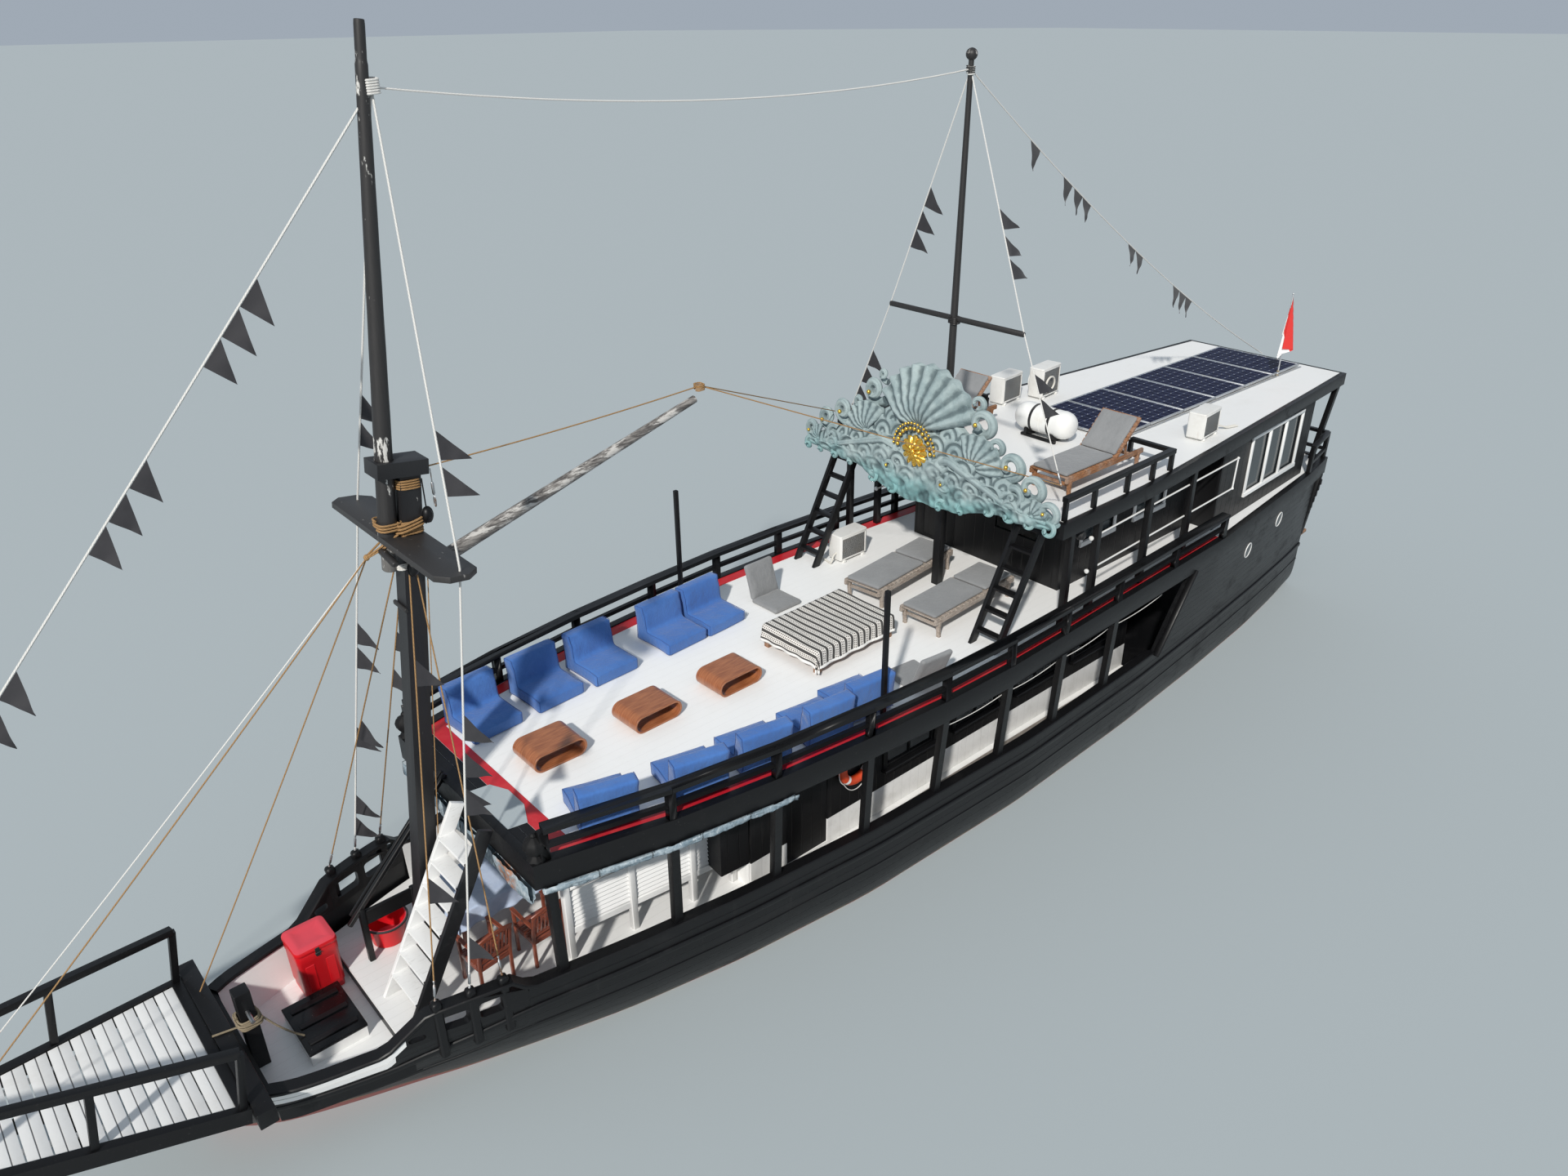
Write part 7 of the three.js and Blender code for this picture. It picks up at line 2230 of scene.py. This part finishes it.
def limp_flag(hoist, fly):
    """Hung from the staff's head, the cloth is a folded cone: a point keeps its distance from the corner it
    hangs by, and the lines through that corner swing left and right of plumb as their angle from the hoist
    grows, each a little nearer than the last."""
    h, f = np.meshgrid(hoist, fly, indexing="ij")
    reach, angle = np.hypot(h, f), np.arctan2(f, h)
    across, near = 0.13 * np.sin(10.5 * angle), 0.10 * angle
    drop = np.sqrt(1 - across ** 2 - near ** 2)
    aside = np.stack((-0.75 * across + 0.66 * near, 0.66 * across + 0.75 * near, -drop), -1)
    return np.array((STAFF[0] - 0.014, STAFF[1] + 0.008, 5.89)) + reach[..., None] * aside


hoist_rows, fly_columns = np.linspace(0, FLAG[0], 22), np.linspace(0, FLAG[1], 60)
flag = skin(limp_flag(hoist_rows, fly_columns))
ensign = piece("ensign", [(*flag[:3], cut_map(hoist_rows, fly_columns))], flag_cloth(), smooth=180.0,
               closed=False)


# Life ring: orange foam with four white bands, hung on the wall beside the port door, with a grab line
# that is seized under the bands and hangs in loops between them.
RING = np.array((2.86, 1.69, 1.83))
RING_RADIUS, RING_GIRTH = 0.245, 0.062


def ring_paint():
    """Orange shell with a white band on each quarter, told apart by the angle about the ring's middle."""
    f = Finish("life_ring")
    place = f.place()
    x, _, z = f.parts(place)
    across, up = x - float(RING[0]), z - float(RING[2])
    band = f.step((abs(across) - abs(up)).math("ABSOLUTE"), 0.035, 0.042, 1.0, 0.0)
    scuff = f.step(f.noise(place, 12.0, 4.0, 0.7), 0.55, 0.75)
    shade = f.mix(scuff * 0.3, (0.60, 0.060, 0.014), (0.42, 0.10, 0.05))
    shade = f.mix(band, shade, (0.80, 0.80, 0.78))
    return f.done(shade, 0.45 + scuff * 0.2, scuff, 0.001)


def wall_ring(angles, radius, out=0.0):
    """Points about the ring's middle in the plane of the wall."""
    turn = np.asarray(angles)
    return RING + np.stack((radius * np.cos(turn), 0 * turn + out, radius * np.sin(turn)), -1)


piece("life_ring", [closed_cord(wall_ring(np.arange(48) * np.pi / 24, RING_RADIUS), RING_GIRTH, 16)],
      ring_paint())
loops = []
for quarter in range(4):
    t = np.linspace(0, 1, 16)
    turn = (quarter + 0.5 + t) * np.pi / 2
    hang = wall_ring(turn, RING_RADIUS + RING_GIRTH + 0.008, 0.01)
    hang = hang - 4 * (t * (1 - t))[:, None] * np.array((0, 0, 0.085 if quarter == 2 else 0.02))
    loops.append(round_bar(hang, 0.006, 6, (0, 1, 0)))
piece("life_ring_line", loops, WHITE_LINE)
piece("life_ring_hook", [
    round_bar([(2.87, 1.60, 2.068), (2.87, 1.68, 2.05), (2.87, 1.70, 2.058), (2.87, 1.705, 2.075)], 0.008,
              8, (1, 0, 0)),
], GALVANISED)


# Saloon furniture: red-brown dining chairs with an arched, slatted back and arms, on the port side of a
# table whose pale blue cloth hangs over its edges.
CHAIR_WOOD = varnished("chair_wood", (0.36, 0.095, 0.045), (0.16, 0.035, 0.02))
CHAIRS = ((7.75, 0.70, 0.10), (7.08, 0.74, 0.06))  # middle of the seat x and y, turn


def dining_chair():
    """Made facing -y: four legs, the aft pair running up into a curved, slatted back, a seat and arms."""
    parts = []
    half, deep, seat, top = 0.20, 0.19, 0.42, 0.80
    for side in (-half, half):
        rear_leg = [(side, deep, 0.0005), (side, deep, seat), (side, deep + 0.07, top)]
        arm = [(side, deep + 0.03, 0.62), (side * 1.06, 0.02, 0.635), (side, -deep - 0.03, 0.628)]
        parts += [
            plank((side, -deep, 0.0005), (side, -deep, 0.62), 0.038, 0.038, 0.005, (1, 0, 0)),
            run(along_line(rear_leg, 12), 0.038, 0.038, 0.005, (1, 0, 0)),
            run(along_line(arm, 12), 0.05, 0.022, 0.005),
            plank((side, -deep, seat - 0.05), (side, deep, seat - 0.05), 0.024, 0.055, 0.004),
        ]
    for z, y in ((seat - 0.05, -deep), (seat - 0.05, deep), (seat + 0.07, deep + 0.015)):
        parts.append(plank((-half, y, z), (half, y, z), 0.024, 0.055, 0.004))
    arch = np.linspace(-1, 1, 15)
    crown = np.stack((arch * (half + 0.02), deep + 0.07 + 0.035 * (1 - arch ** 2),
                      top + 0.06 * (1 - arch ** 2)), 1)
    parts.append(run(crown, 0.026, 0.05, 0.005))
    for k in np.linspace(-0.75, 0.75, 7):
        bow = 1 - k * k
        parts.append(plank((k * half, deep + 0.015, seat + 0.07),
                           (k * half, deep + 0.07 + 0.035 * bow, top + 0.06 * bow),
                           0.024, 0.012, 0.003, (0, 1, 0)))
    for y in np.arange(-deep + 0.02, deep, 0.058):
        slat = [(edge, y, seat - 0.012) for edge in (-half - 0.01, half + 0.01)]
        parts.append(plank(*slat, 0.048, 0.018, 0.004))
    return parts


for number, (x, y, turn) in enumerate(CHAIRS):
    piece(f"dining_chair_{number + 1}", [
        (stood(part[0], x, y, ON_MAIN_DECK, turn), *part[1:]) for part in dining_chair()
    ], CHAIR_WOOD)
DINING = (6.50, 7.86, -0.42, 0.34, 1.445)  # x from and to, y from and to, top
x0, x1, y0, y1, dining_top = DINING
piece("dining_table", [
    plank((x0, (y0 + y1) / 2, dining_top - 0.016), (x1, (y0 + y1) / 2, dining_top - 0.016), y1 - y0, 0.030,
          0.008),
    *[plank((x, y, ON_MAIN_DECK), (x, y, dining_top - 0.03), 0.06, 0.06, 0.006, (1, 0, 0))
      for x in (x0 + 0.09, x1 - 0.09) for y in (y0 + 0.08, y1 - 0.08)],
    *[plank((x0 + 0.09, y, dining_top - 0.07), (x1 - 0.09, y, dining_top - 0.07), 0.025, 0.08, 0.005)
      for y in (y0 + 0.08, y1 - 0.08)],
], CHAIR_WOOD)
CLOTH_HANG = 0.24


def pale_blue():
    """A pale blue cotton cloth."""
    f = Finish("table_cloth")
    fold = f.noise(f.place(), 8.0, 5.0, 0.6)
    return f.done(f.mix(fold, (0.36, 0.46, 0.66), (0.62, 0.70, 0.84)), 0.85, fold, 0.008, Sheen_Weight=0.2)


def laid_cloth(s, t):
    """Flat on the table, turned down over a small radius at its edges, and hung from there in waves that
    gather at the corners."""
    s, t = np.meshgrid(s, t, indexing="ij")
    half_x, half_y = (x1 - x0) / 2 + 0.004, (y1 - y0) / 2 + 0.004
    over, past = np.maximum(0, np.abs(s) - half_x), np.maximum(0, np.abs(t) - half_y)
    drop = np.hypot(over, past)
    aim = np.arctan2(past * np.sign(t), over * np.sign(s) + (over == 0) * 1e-9)
    bend = np.minimum(drop / 0.012, np.pi / 2)
    hung = np.maximum(0, drop - 0.012 * np.pi / 2)
    corner = np.abs(np.sin(2 * aim))
    wave = 0.09 * np.sin(21 * s + 2 * t) * (1 - corner) + 0.10 * np.sin(19 * t + 1) * (1 - corner)
    fold = corner * 0.35 * np.cos(aim * 12)
    out = 0.012 * np.sin(bend) + hung * (0.12 + wave + fold)
    height = dining_top + 0.003 - 0.012 * (1 - np.cos(bend)) - hung * 0.98
    spot = (np.clip(s, -half_x, half_x) + out * np.cos(aim) * (drop > 0),
            np.clip(t, -half_y, half_y) + out * np.sin(aim) * (drop > 0))
    return np.stack((spot[0] + (x0 + x1) / 2, spot[1] + (y0 + y1) / 2, height), -1)


cloth_rows = np.linspace(-1, 1, 120) * ((x1 - x0) / 2 + CLOTH_HANG)
cloth_columns = np.linspace(-1, 1, 90) * ((y1 - y0) / 2 + CLOTH_HANG)
cover = skin(laid_cloth(cloth_rows, cloth_columns))
table_cloth = piece("dining_cloth",
                    [(*cover[:3], cut_map(cloth_rows - cloth_rows[0], cloth_columns - cloth_columns[0]))],
                    pale_blue(), smooth=180.0, closed=False)
thicken(table_cloth, 0.002, 1.0)


# Steering and drive: a black wooden rudder hung on the sternpost, and a cast bronze propeller with a green
# tinge on its shaft.
def bronze():
    """Cast bronze gone dull, green where water sits on it."""
    f = Finish("bronze")
    place = f.place()
    tarnish = f.step(f.noise(place, 9.0, 5.0, 0.65), 0.42, 0.72)
    shade = f.mix(tarnish, (0.42, 0.245, 0.075), (0.10, 0.16, 0.10))
    return f.done(shade, 0.36 + tarnish * 0.35, f.noise(place, 60.0, 3.0), 0.0008,
                  Metallic=1 - tarnish * 0.7)


dress("rudder", HULL_PAINT, "rudder", 0.008)
dress("propeller", bronze(), "propeller", 0.003)


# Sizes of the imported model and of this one, for the size rule.
low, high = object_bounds()
